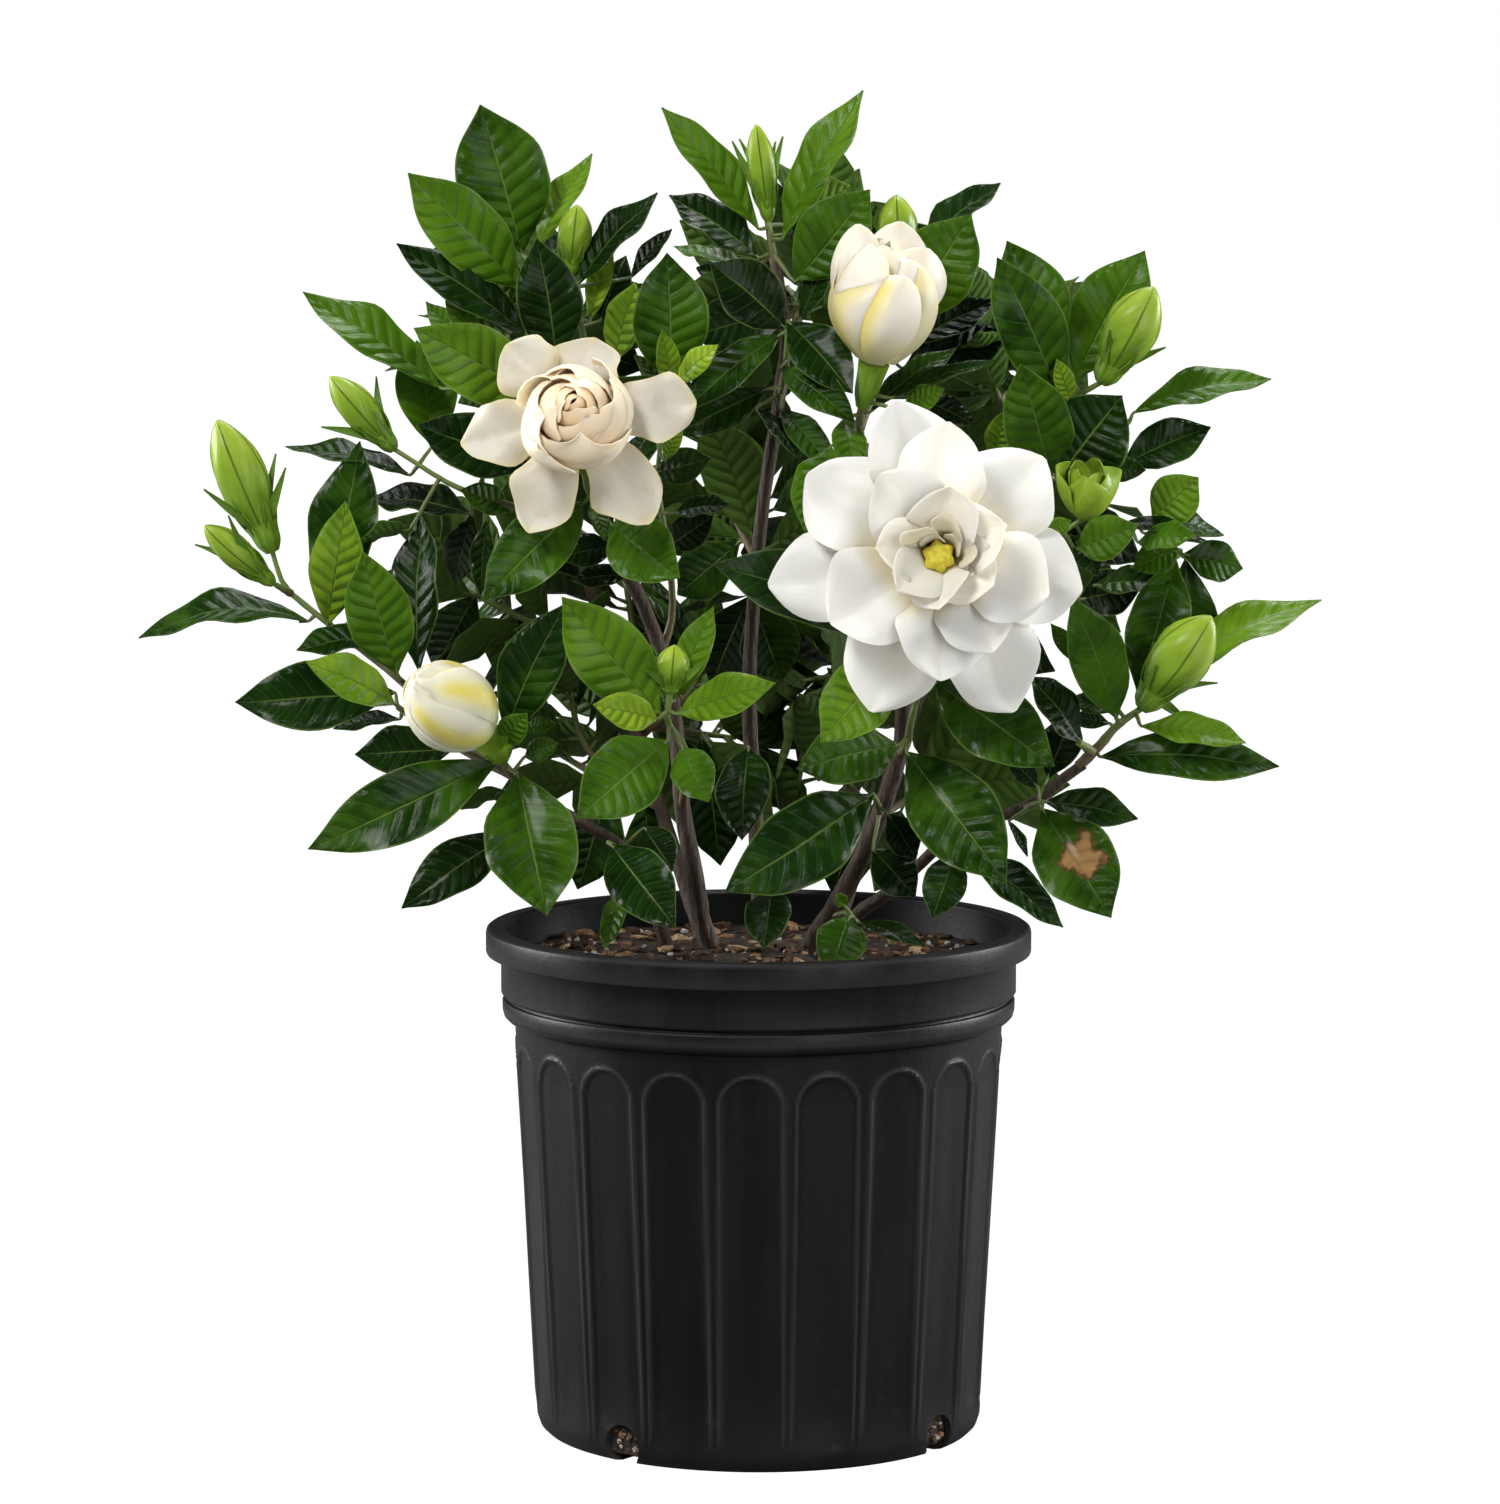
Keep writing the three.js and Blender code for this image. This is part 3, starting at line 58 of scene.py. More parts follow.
def setUpCamera(s):
    data = bpy.data.cameras.new("camera")
    data.lens = s["lens"]
    data.sensor_width = s["sensor"]
    camera = bpy.data.objects.new("camera", data)
    bpy.context.scene.collection.objects.link(camera)
    camera.location = s["place"]
    sight = Vector(s["aim"]) - Vector(s["place"])
    camera.rotation_euler = sight.to_track_quat("-Z", "Y").to_euler()
    bpy.context.scene.camera = camera


setUpCamera(cameraSettings)

lightSettings = {
    "aim": (0, 0, 0.3),
    "lamps": [
        {"name": "keyLight", "place": (-1.1, -1.5, 2.0), "size": 0.8, "power": 52,
         "color": (1, 0.985, 0.96)},
        {"name": "fillLight", "place": (1.2, -2.2, 0.6), "size": 1.4, "power": 25, "color": (1, 1, 1)},
        {"name": "leftLight", "place": (-1.9, 0.5, 0.7), "size": 0.9, "power": 46, "color": (1, 1, 1)},
        {"name": "rightLight", "place": (1.9, 0.5, 0.7), "size": 0.9, "power": 46, "color": (1, 1, 1)},
        {"name": "topLight", "place": (0.2, 0.8, 2.1), "size": 1.0, "power": 34, "color": (1, 1, 1)},
    ],
    "sky": 0.09,
    "backdrop": 1.0,
}


def setUpLights(s):
    scene = bpy.context.scene
    for lamp in s["lamps"]:
        data = bpy.data.lights.new(lamp["name"], "AREA")
        data.shape = "DISK"
        data.size = lamp["size"]
        data.energy = lamp["power"]
        data.color = lamp["color"]
        light = bpy.data.objects.new(lamp["name"], data)
        scene.collection.objects.link(light)
        light.location = lamp["place"]
        light.rotation_euler = (Vector(s["aim"]) - light.location).to_track_quat("-Z", "Y").to_euler()
    # the sky that lights the plant is dimmer than the white paper behind it
    world = bpy.data.worlds.new("studio")
    world.use_nodes = True
    tree = world.node_tree
    tree.nodes.clear()
    sky = tree.nodes.new("ShaderNodeBackground")
    sky.inputs["Strength"].default_value = s["sky"]
    paper = tree.nodes.new("ShaderNodeBackground")
    paper.inputs["Strength"].default_value = s["backdrop"]
    for shader in (sky, paper):
        shader.inputs["Color"].default_value = (1, 1, 1, 1)
    path = tree.nodes.new("ShaderNodeLightPath")
    mix = tree.nodes.new("ShaderNodeMixShader")
    out = tree.nodes.new("ShaderNodeOutputWorld")
    tree.links.new(path.outputs["Is Camera Ray"], mix.inputs[0])
    tree.links.new(sky.outputs[0], mix.inputs[1])
    tree.links.new(paper.outputs[0], mix.inputs[2])
    tree.links.new(mix.outputs[0], out.inputs[0])
    scene.world = world
    scene.view_settings.view_transform = "Standard"
    scene.view_settings.look = "None"


setUpLights(lightSettings)
print("camera and light set")


# A reading (x, depth, z) was taken on the plane of the pot's axis. The point is moved along
# the line of sight to its real depth.
def place(reading):
    x, depth, z = reading
    eye = Vector(cameraSettings["place"])
    onPlane = Vector((x * millimetre, 0, z * millimetre))
    return eye + (onPlane - eye) * ((depth * millimetre - eye.y) / -eye.y)


def squareTo(axis, vector):
    return (vector - axis * vector.dot(axis)).normalized()


def bladeFacing(start, end, turn):
    along = (end - start).normalized()
    view = up if abs(along.dot(front)) > 0.97 else front
    facing = squareTo(along, view)
    side = along.cross(facing)
    if side.z < -1e-3 or (abs(side.z) <= 1e-3 and side.x < 0):
        side.negate()
    angle = math.radians(turn)
    return facing * math.cos(angle) + side * math.sin(angle)


def smoothStep(low, high, value):
    t = min(1, max(0, (value - low) / (high - low)))
    return t * t * (3 - 2 * t)


# A smooth curve through pairs of (position, value)
def curveValue(pairs, t):
    k = 0
    while k < len(pairs) - 2 and t > pairs[k + 1][0]:
        k += 1
    (t0, v0), (t1, v1) = pairs[k], pairs[k + 1]
    step = t1 - t0
    before = pairs[k - 1] if k > 0 else pairs[k]
    after = pairs[k + 2] if k + 2 < len(pairs) else pairs[k + 1]
    slope0 = (v1 - before[1]) / (t1 - before[0]) * step
    slope1 = (after[1] - v0) / (after[0] - t0) * step
    x = min(1, max(0, (t - t0) / step))
    return (v0 * (2 * x ** 3 - 3 * x * x + 1) + slope0 * (x ** 3 - 2 * x * x + x)
            + v1 * (3 * x * x - 2 * x ** 3) + slope1 * (x ** 3 - x * x))


# A smooth path through points, in equal steps between each two of them
def smoothPath(points, count):
    ends = [points[0] * 2 - points[1], *points, points[-1] * 2 - points[-2]]
    path = []
    for i in range(count + 1):
        t = i / count * (len(points) - 1)
        k = min(int(t), len(points) - 2)
        t -= k
        a, b, c, d = ends[k:k + 4]
        path.append(0.5 * (2 * b + (c - a) * t + (2 * a - 5 * b + 4 * c - d) * t * t
                           + (3 * b - a - 3 * c + d) * t ** 3))
    return path


def nearestOn(path, point):
    return min(path, key=lambda spot: (spot - point).length)


def newMesh():
    bm = bmesh.new()
    layers = {
        "uv": bm.loops.layers.uv.new("blade"),
        "growth": bm.loops.layers.float_color.new("growth"),
    }
    return bm, layers


# A profile of (radius, height) in millimetres, turned once round the pot's axis
def turnProfile(profile, steps):
    bm, layers = newMesh()
    verts = [bm.verts.new((radius * millimetre, 0, z * millimetre)) for radius, z in profile]
    edges = [bm.edges.new(pair) for pair in zip(verts, verts[1:])]
    bmesh.ops.spin(bm, geom=verts + edges, axis=(0, 0, 1), cent=(0, 0, 0), steps=steps, angle=turnOnce,
                   use_merge=True)
    bmesh.ops.remove_doubles(bm, verts=bm.verts, dist=1e-6)
    return bm, layers


def addObject(name, bm):
    mesh = bpy.data.meshes.new(name)
    bm.to_mesh(mesh)
    bm.free()
    piece = bpy.data.objects.new(name, mesh)
    bpy.context.scene.collection.objects.link(piece)
    return piece


def finishPiece(name, bm, materials, replaced=None):
    piece = addObject(name, bm)
    for material in materials:
        piece.data.materials.append(material)
    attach(piece, "root")
    if replaced:
        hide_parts(replaced)
    return piece


# Sharp folds stay crisp and the rest is shaded smooth
def shadeFaces(faces, sharpAngle=1.0):
    edges = set()
    for f in faces:
        f.smooth = True
        edges.update(f.edges)
    for e in edges:
        if e.calc_face_angle(0) > sharpAngle:
            e.smooth = False


# A round tube grown ring by ring along a path. "growth" holds its values at the start and end.
def growTube(bm, layers, path, radii, sides, growth=((0.5, 0.5), (0.5, 0.5)), material=0,
             ridges=0, ridgeDepth=0, twist=0):
    way = (path[1] - path[0]).normalized()
    turn = up.rotation_difference(way).to_matrix().to_4x4()
    ring = bmesh.ops.create_circle(bm, cap_ends=True, segments=sides, radius=radii[0],
                                   matrix=Matrix.Translation(path[0]) @ turn)
    if ridges:
        for vert in ring["verts"]:
            local = turn.inverted() @ (vert.co - path[0])
            angle = math.atan2(local.y, local.x)
            vert.co = path[0] + (vert.co - path[0]) * (1 + ridgeDepth * math.cos(ridges * angle))
    cap = ring["verts"][0].link_faces[0]
    made = {cap}
    level = {vert: 0 for vert in ring["verts"]}
    share = {loop.vert: k / sides for k, loop in enumerate(cap.loops)}
    for i in range(1, len(path)):
        out = bmesh.ops.extrude_face_region(bm, geom=[cap])
        verts = [g for g in out["geom"] if isinstance(g, bmesh.types.BMVert)]
        newCap = [g for g in out["geom"] if isinstance(g, bmesh.types.BMFace)][0]
        ahead = (path[min(i + 1, len(path) - 1)] - path[i - 1]).normalized()
        bend = way.rotation_difference(ahead).to_matrix().to_4x4()
        spin = Matrix.Rotation(twist / (len(path) - 1), 4, way)
        size = Matrix.Scale(radii[i] / radii[i - 1], 4)
        move = Matrix.Translation(path[i]) @ bend @ spin @ size @ Matrix.Translation(-path[i - 1])
        bmesh.ops.transform(bm, matrix=move, verts=verts)
        for vert in verts:
            level[vert] = i / (len(path) - 1)
            made.update(vert.link_faces)
            below = (e.other_vert(vert) for e in vert.link_edges)
            share[vert] = next(share[other] for other in below if other not in verts)
        if i > 1:
            bmesh.ops.delete(bm, geom=[cap], context="FACES_ONLY")
        cap = newCap
        way = ahead
    made = [f for f in made if f.is_valid]
    bmesh.ops.recalc_face_normals(bm, faces=made)
    (tone0, rand0), (tone1, rand1) = growth
    for f in made:
        f.material_index = material
        crosses = max(share[v] for v in f.verts) - min(share[v] for v in f.verts) > 0.5
        for loop in f.loops:
            t = level[loop.vert]
            round_ = share[loop.vert] + (1 if crosses and share[loop.vert] < 0.5 else 0)
            loop[layers["uv"]].uv = (round_, t)
            loop[layers["growth"]] = (tone0 + (tone1 - tone0) * t, 0, rand0 + (rand1 - rand0) * t, t)
    shadeFaces(made)
    return made


# A straight tube, "wide" millimetres across times the share that "shape" gives along it
def addSpindle(bm, layers, start, end, wide, s, growth=((0.5, 0.5), (0.5, 0.5)), material=0):
    steps = [i / s["rings"] for i in range(s["rings"] + 1)]
    path = [start.lerp(end, t) for t in steps]
    radii = [max(0.02, curveValue(s["shape"], t)) * wide / 2 * millimetre for t in steps]
    growTube(bm, layers, path, radii, s["sides"], growth=growth, material=material,
             ridges=s["ridges"], ridgeDepth=s["ridgeDepth"], twist=s["twist"])


def outlineFrom(shape):
    return lambda t: max(0, curveValue(shape, t))


# A leaf has a narrow foot, full sides and a short drawn-out tip. A petal widens from a narrow claw
# to a round end with a slight point, and a spoon is squarer, widest near its end. A cup, for the
# petals of a fat bud, is broad almost from its foot.
leafOutline = outlineFrom([(0, 0.03), (0.05, 0.15), (0.17, 0.52), (0.33, 0.88), (0.5, 1.0), (0.66, 0.93),
                           (0.8, 0.66), (0.91, 0.3), (1, 0.0)])
petalOutline = outlineFrom([(0, 0.22), (0.16, 0.42), (0.38, 0.8), (0.57, 1.0), (0.73, 0.95), (0.85, 0.72),
                            (0.94, 0.4), (1, 0.06)])
spoonOutline = outlineFrom([(0, 0.3), (0.2, 0.5), (0.45, 0.8), (0.64, 1.0), (0.79, 0.94), (0.9, 0.64),
                            (0.97, 0.32), (1, 0.08)])
cupOutline = outlineFrom([(0, 0.42), (0.2, 0.78), (0.45, 1.0), (0.68, 0.97), (0.84, 0.74), (0.95, 0.4),
                          (1, 0.08)])


def sepalOutline(t):
    return (1 - t) ** 0.7 * (0.75 + 0.25 * math.sin(math.pi * t))


# A grid bent to shape and given its thickness. "bend" takes a point's place across (-1..1) and
# along (0..1), and gives its position, its UV height and its share of the length. "isTurned"
# tells from the faces whether they look the wrong way.
def addSheet(bm, layers, s, bend, isTurned, tone, chance, material):
    known = set(bm.faces)
    grid = bmesh.ops.create_grid(bm, x_segments=s["columns"], y_segments=s["rows"], size=1)
    spots = {}
    for vert in grid["verts"]:
        across = vert.co.x
        vert.co, *marks = bend(across, (vert.co.y + 1) / 2)
        spots[vert] = (across, *marks)
    top = [f for f in bm.faces if f not in known]
    bmesh.ops.recalc_face_normals(bm, faces=top)
    if isTurned(top):
        bmesh.ops.reverse_faces(bm, faces=top)
    for f in top:
        f.material_index = material
        for loop in f.loops:
            across, height, share = spots[loop.vert]
            loop[layers["uv"]].uv = (across / 2 + 0.5, height)
            loop[layers["growth"]] = (tone, 0, chance, share)
    known.update(top)
    bmesh.ops.solidify(bm, geom=top, thickness=s["thick"])
    under = [f for f in bm.faces if f not in known]
    for f in under:
        f.material_index = material
        for loop in f.loops:
            growth = loop[layers["growth"]]
            loop[layers["growth"]] = (growth[0], 1, growth[2], growth[3])
    shadeFaces(top + under)


# One leaf, petal or sepal, whose grid rows follow the side veins. The "blade" UV runs across
# (0..1) and along, one unit a vein.
def addBlade(bm, layers, start, end, face, wide, s, tone=0.5, seed=0):
    rng = random.Random(seed)
    run = end - start
    length = run.length
    sideways = run.normalized().cross(face)
    phase = rng.uniform(0, turnOnce)
    sway = rng.uniform(-1, 1) * s["sway"]
    twist = math.radians(rng.uniform(-1, 1) * s["twist"])
    tip = rng.uniform(0.6, 1.4) * s["tipCurl"]

    def bend(u, t):
        out, right = abs(u), u > 0
        v = t + s["chevron"] * out * math.sin(math.pi * t)
        v += (1 - v) * v * 0.5 * s["tipRows"]
        half = max(s["outline"](min(1, v)) * wide / 2, s["point"])
        half *= 1 + s["ragged"] * math.sin(phase * 3 + v * 13 * (1.3 if right else 1)) * out * v
        lift = s["cup"] * half * out ** s["cupPower"] - s["crease"] * half * math.exp(-(u * 6) ** 2)
        lift -= s["rollBack"] * half * max(0, out - 0.6) ** 2
        beat = t * s["veins"] + (0.5 if u < 0 else 0)
        quilt = s["quilt"] * min(1, half / 0.006) * out ** 0.5 * (1 - u ** 4)
        quilt *= 0.5 - 0.5 * math.cos(turnOnce * beat)
        wave = s["wave"] * half * out ** 3
        wave *= math.sin(phase + v * s["waves"] * turnOnce + (2.1 if right else 0))
        arch = s["arch"] * length * 4 * v * (1 - v)
        arch -= tip * length * smoothStep(0.55, 1, v) * (1 - v) * 2
        roll = twist * (v - 0.4)
        side, rise = u * half, lift + wave + quilt
        side, rise = (side * math.cos(roll) - rise * math.sin(roll),
                      side * math.sin(roll) + rise * math.cos(roll))
        side += (sway + s.get("bow", 0)) * length * math.sin(math.pi * v)
        return start + run * v + sideways * side + face * (arch + rise), t * s["veins"], t

    addSheet(bm, layers, s, bend, lambda top: sum((f.normal for f in top), Vector()).dot(face) < 0,
             tone, rng.random(), 0)


# A petal wrapped round an axis, one edge further out than the other. Its middle line follows
# "radius" and "height", in millimetres.
def addWrap(bm, layers, foot, axis, side, s, angle, tone, seed, material):
    rng = random.Random(seed)
    other = axis.cross(side)
    phase = rng.uniform(0, turnOnce)
    middle = foot + axis * (curveValue(s["height"], 0.5) * millimetre)

    def bend(u, t):
        v = t * (1 - s["shoulder"] * abs(u) ** 2.6)
        radius = curveValue(s["radius"], v) * (1 + s["spiral"] * u * v) * s["out"]
        radius *= 1 + s["bulge"] * (1 - u * u) * math.sin(math.pi * v)
        radius += s["wave"] * v ** 3 * math.sin(phase + u * 4)
        height = curveValue(s["height"], v) * s["tall"]
        span = math.radians(curveValue(s["span"], v))
        turn = angle + u * span / 2 + math.radians(s["twist"]) * v
        away = side * math.cos(turn) + other * math.sin(turn)
        return foot + axis * (height * millimetre) + away * (radius * millimetre), v * 5, v * s["tint"]

    def isTurned(top):
        return sum(f.normal.dot(f.calc_center_median() - middle) for f in top) > 0

    addSheet(bm, layers, s, bend, isTurned, tone, rng.random(), material)


# Rings of wrapped petals, outer ones first. A petal is its direction in degrees, its share of the
# height and its share of the radius. Each inner ring is "warmer" than the one before.
wrapGrid = {"columns": 14, "rows": 16, "thick": 0.0006, "tint": 1}


def addWraps(bm, layers, foot, axis, side, wraps, seed, tone=0.5, warmer=0.0, material=0):
    for ring, wrap in enumerate(wraps):
        for i, (direction, tall, out) in enumerate(wrap["petals"]):
            style = {**wrapGrid, **wrap, "tall": tall, "out": out}
            addWrap(bm, layers, foot, axis, side, style, math.radians(direction), tone + warmer * ring,
                    seed + ring * 10 + i, material)


# Small helpers for node trees: a value may be a number, a color or another node's socket
def addNode(tree, kind, inputs=None, **options):
    node = tree.nodes.new(kind)
    for name, value in options.items():
        setattr(node, name, value)
    for name, value in (inputs or {}).items():
        if isinstance(value, bpy.types.NodeSocket):
            tree.links.new(value, node.inputs[name])
        else:
            node.inputs[name].default_value = value
    return node


def mathNode(tree, operation, *values, clamp=False):
    return addNode(tree, "ShaderNodeMath", dict(enumerate(values)), operation=operation,
                   use_clamp=clamp).outputs[0]


def times(tree, a, b):
    return mathNode(tree, "MULTIPLY", a, b)


# a * b + c
def timesPlus(tree, a, b, c):
    return mathNode(tree, "MULTIPLY_ADD", a, b, c)


def mixColors(tree, factor, a, b):
    return addNode(tree, "ShaderNodeMix", {0: factor, 6: a, 7: b}, data_type="RGBA", blend_type="MIX",
                   clamp_factor=True).outputs[2]


def mapRange(tree, value, low, high, to0=0.0, to1=1.0):
    return addNode(tree, "ShaderNodeMapRange", {0: value, 1: low, 2: high, 3: to0, 4: to1},
                   interpolation_type="SMOOTHSTEP").outputs[0]


def addNoise(tree, vector, scale, detail):
    inputs = {"Vector": vector, "Scale": scale, "Detail": detail}
    return addNode(tree, "ShaderNodeTexNoise", inputs).outputs["Fac"]


def colorRamp(tree, value, stops):
    node = addNode(tree, "ShaderNodeValToRGB", {0: value})
    ends = node.color_ramp.elements
    for element, (position, color) in zip(ends, (stops[0], stops[-1])):
        element.position, element.color = position, (*color, 1)
    for position, color in stops[1:-1]:
        ends.new(position).color = (*color, 1)
    return node.outputs[0]


# A node group. Its inputs are a vector, named first, and numbers with their usual values.
def newGroup(name, vector, numbers, masks):
    group = bpy.data.node_groups.new(name, "ShaderNodeTree")
    group.interface.new_socket(name=vector, in_out="INPUT", socket_type="NodeSocketVector")
    for label, value in numbers.items():
        socket = group.interface.new_socket(name=label, in_out="INPUT", socket_type="NodeSocketFloat")
        socket.default_value = value
    for label in masks:
        group.interface.new_socket(name=label, in_out="OUTPUT", socket_type="NodeSocketFloat")
    return group, group.nodes.new("NodeGroupInput").outputs, group.nodes.new("NodeGroupOutput")


def putOut(group, outs, masks):
    for label, mask in masks.items():
        group.links.new(mask, outs.inputs[label])
    return group


def useGroup(tree, group, inputs):
    return addNode(tree, "ShaderNodeGroup", inputs, node_tree=group).outputs


# Cloudy patches: 0 below "Low", 1 above "High"
def makeMottleGroup():
    group, ins, outs = newGroup("mottle", "Vector", {"Scale": 40.0, "Detail": 3.0, "Low": 0.35,
                                                     "High": 0.65},
                                ("Mask", "Fine"))
    cloud = addNode(group, "ShaderNodeTexNoise", {"Vector": ins["Vector"], "Scale": ins["Scale"],
                                                  "Detail": ins["Detail"], "Roughness": 0.6}).outputs["Fac"]
    return putOut(group, outs, {
        "Mask": mapRange(group, cloud, ins["Low"], ins["High"]),
        "Fine": addNoise(group, ins["Vector"], times(group, ins["Scale"], 9.0), 2.0)})


# Midrib and side veins of a blade, read from its own UV map
def makeVeinGroup():
    group, ins, outs = newGroup("leafVeins", "Blade", {"Rib Width": 0.05},
                                ("Midrib", "Side Veins", "Height", "Margin"))
    x, y = addNode(group, "ShaderNodeSeparateXYZ", {0: ins["Blade"]}).outputs[:2]
    across = timesPlus(group, x, 2.0, -1.0)
    out = mathNode(group, "ABSOLUTE", across)
    # the veins of the left half start half a step later
    shifted = timesPlus(group, mathNode(group, "LESS_THAN", across, 0.0), 0.5, y)
    bent = timesPlus(group, addNoise(group, ins["Blade"], 3.0, 2.0), 0.25, shifted)
    beat = mathNode(group, "FRACT", bent)
    nextBeat = mathNode(group, "FRACT", mathNode(group, "ADD", bent, 0.5))
    fromVein = mathNode(group, "ABSOLUTE", mathNode(group, "SUBTRACT", nextBeat, 0.5))
    reach = mapRange(group, out, 0.97, 0.75)
    rib = mapRange(group, out, ins["Rib Width"], 0.0)
    swell = mathNode(group, "POWER", mathNode(group, "SINE", times(group, beat, math.pi)), 1.25)
    groove = timesPlus(group, rib, -0.6, times(group, swell, reach))
    return putOut(group, outs, {
        "Midrib": rib,
        "Side Veins": times(group, mapRange(group, fromVein, 0.09, 0.0), reach),
        "Height": timesPlus(group, addNoise(group, ins["Blade"], 9.0, 3.0), 0.25, groove),
        "Margin": mapRange(group, out, 0.93, 1.0)})


# Fine streaks that run out along a petal, with masks for its foot, its rim and a tinted band
def makePetalGroup():
    group, ins, outs = newGroup("petalStreaks", "Blade", {
        "Along": 0.5, "Streaks": 22.0, "Band Middle": 0.5, "Band Width": 0.3},
        ("Height", "Foot", "Rim", "Band"))
    x, y = addNode(group, "ShaderNodeSeparateXYZ", {0: ins["Blade"]}).outputs[:2]
    stretched = addNode(group, "ShaderNodeCombineXYZ", {0: times(group, x, ins["Streaks"]),
                                                        1: times(group, y, 0.7)}).outputs[0]
    streaks = addNoise(group, stretched, 1.0, 3.0)
    out = mathNode(group, "ABSOLUTE", timesPlus(group, x, 2.0, -1.0))
    sway = timesPlus(group, streaks, 0.16, x)
    fromBand = mathNode(group, "ABSOLUTE", mathNode(group, "SUBTRACT", sway, ins["Band Middle"]))
    band = mapRange(group, fromBand, ins["Band Width"], 0.0)
    return putOut(group, outs, {
        "Band": times(group, band, mapRange(group, ins["Along"], 1.0, 0.75)),
        "Height": streaks,
        "Foot": mapRange(group, ins["Along"], 0.5, 0.12),
        "Rim": mathNode(group, "MAXIMUM", mapRange(group, out, 0.84, 1.0),
                        mapRange(group, ins["Along"], 0.86, 1.0))})


mottle = makeMottleGroup()
leafVeins = makeVeinGroup()
petalStreaks = makePetalGroup()


def newMaterial(name):
    material = bpy.data.materials.new(name)
    material.use_nodes = True
    tree = material.node_tree
    coords = tree.nodes.new("ShaderNodeTexCoord").outputs["Object"]
    return material, tree, tree.nodes["Principled BSDF"], coords


# The "growth" attribute: tone or age, 1 on the under side, chance, and the share of the length
def readGrowth(tree):
    attribute = addNode(tree, "ShaderNodeAttribute", attribute_name="growth")
    tone, under, chance = addNode(tree, "ShaderNodeSeparateColor", {0: attribute.outputs["Color"]}).outputs
    return {"tone": tone, "under": under, "chance": chance, "along": attribute.outputs["Alpha"]}


def readBlade(tree):
    return addNode(tree, "ShaderNodeUVMap", uv_map="blade").outputs[0]


def addMottle(tree, vector, scale, low, high, detail=3.0):
    cloud = useGroup(tree, mottle, {"Vector": vector, "Scale": scale, "Detail": detail, "Low": low,
                                    "High": high})
    return cloud["Mask"], cloud["Fine"]


def finishMaterial(tree, shader, color, rough, height, distance, strength=1.0, **fixed):
    tree.links.new(color, shader.inputs["Base Color"])
    tree.links.new(rough, shader.inputs["Roughness"])
    bump = addNode(tree, "ShaderNodeBump", {"Height": height, "Distance": distance, "Strength": strength})
    tree.links.new(bump.outputs[0], shader.inputs["Normal"])
    for name, value in fixed.items():
        shader.inputs[sockets[name]].default_value = value


sockets = {
    "coat": "Coat Weight", "coatRough": "Coat Roughness", "specular": "Specular IOR Level",
    "inside": "Subsurface Weight", "insideTint": "Subsurface Radius", "insideDepth": "Subsurface Scale",
}

leafLook = {
    "greens": [(0.0, (0.0015, 0.007, 0.0008)), (0.25, (0.006, 0.027, 0.001)), (0.5, (0.05, 0.132, 0.004)),
               (0.75, (0.1, 0.2, 0.008)), (1.0, (0.27, 0.42, 0.025))],
    "vein": (0.2, 0.3, 0.07, 1), "ribShare": 0.5, "veinShare": 0.07, "marginShare": 0.4,
    # "groove" is the colour of the painted shade in the sunk grooves between the swells
    "groove": (0.004, 0.02, 0.001, 1), "grooveShadeShare": 0.22,
    "under": (0.085, 0.15, 0.03, 1), "underShare": 0.55,
    "rough": 0.23, "underRough": 0.32, "coat": 0.08, "coatRough": 0.14, "specular": 0.09,
    "scorch": (0.34, 0.2, 0.08, 1), "scorchEdge": (0.09, 0.045, 0.015, 1), "scorchRough": 0.85,
}


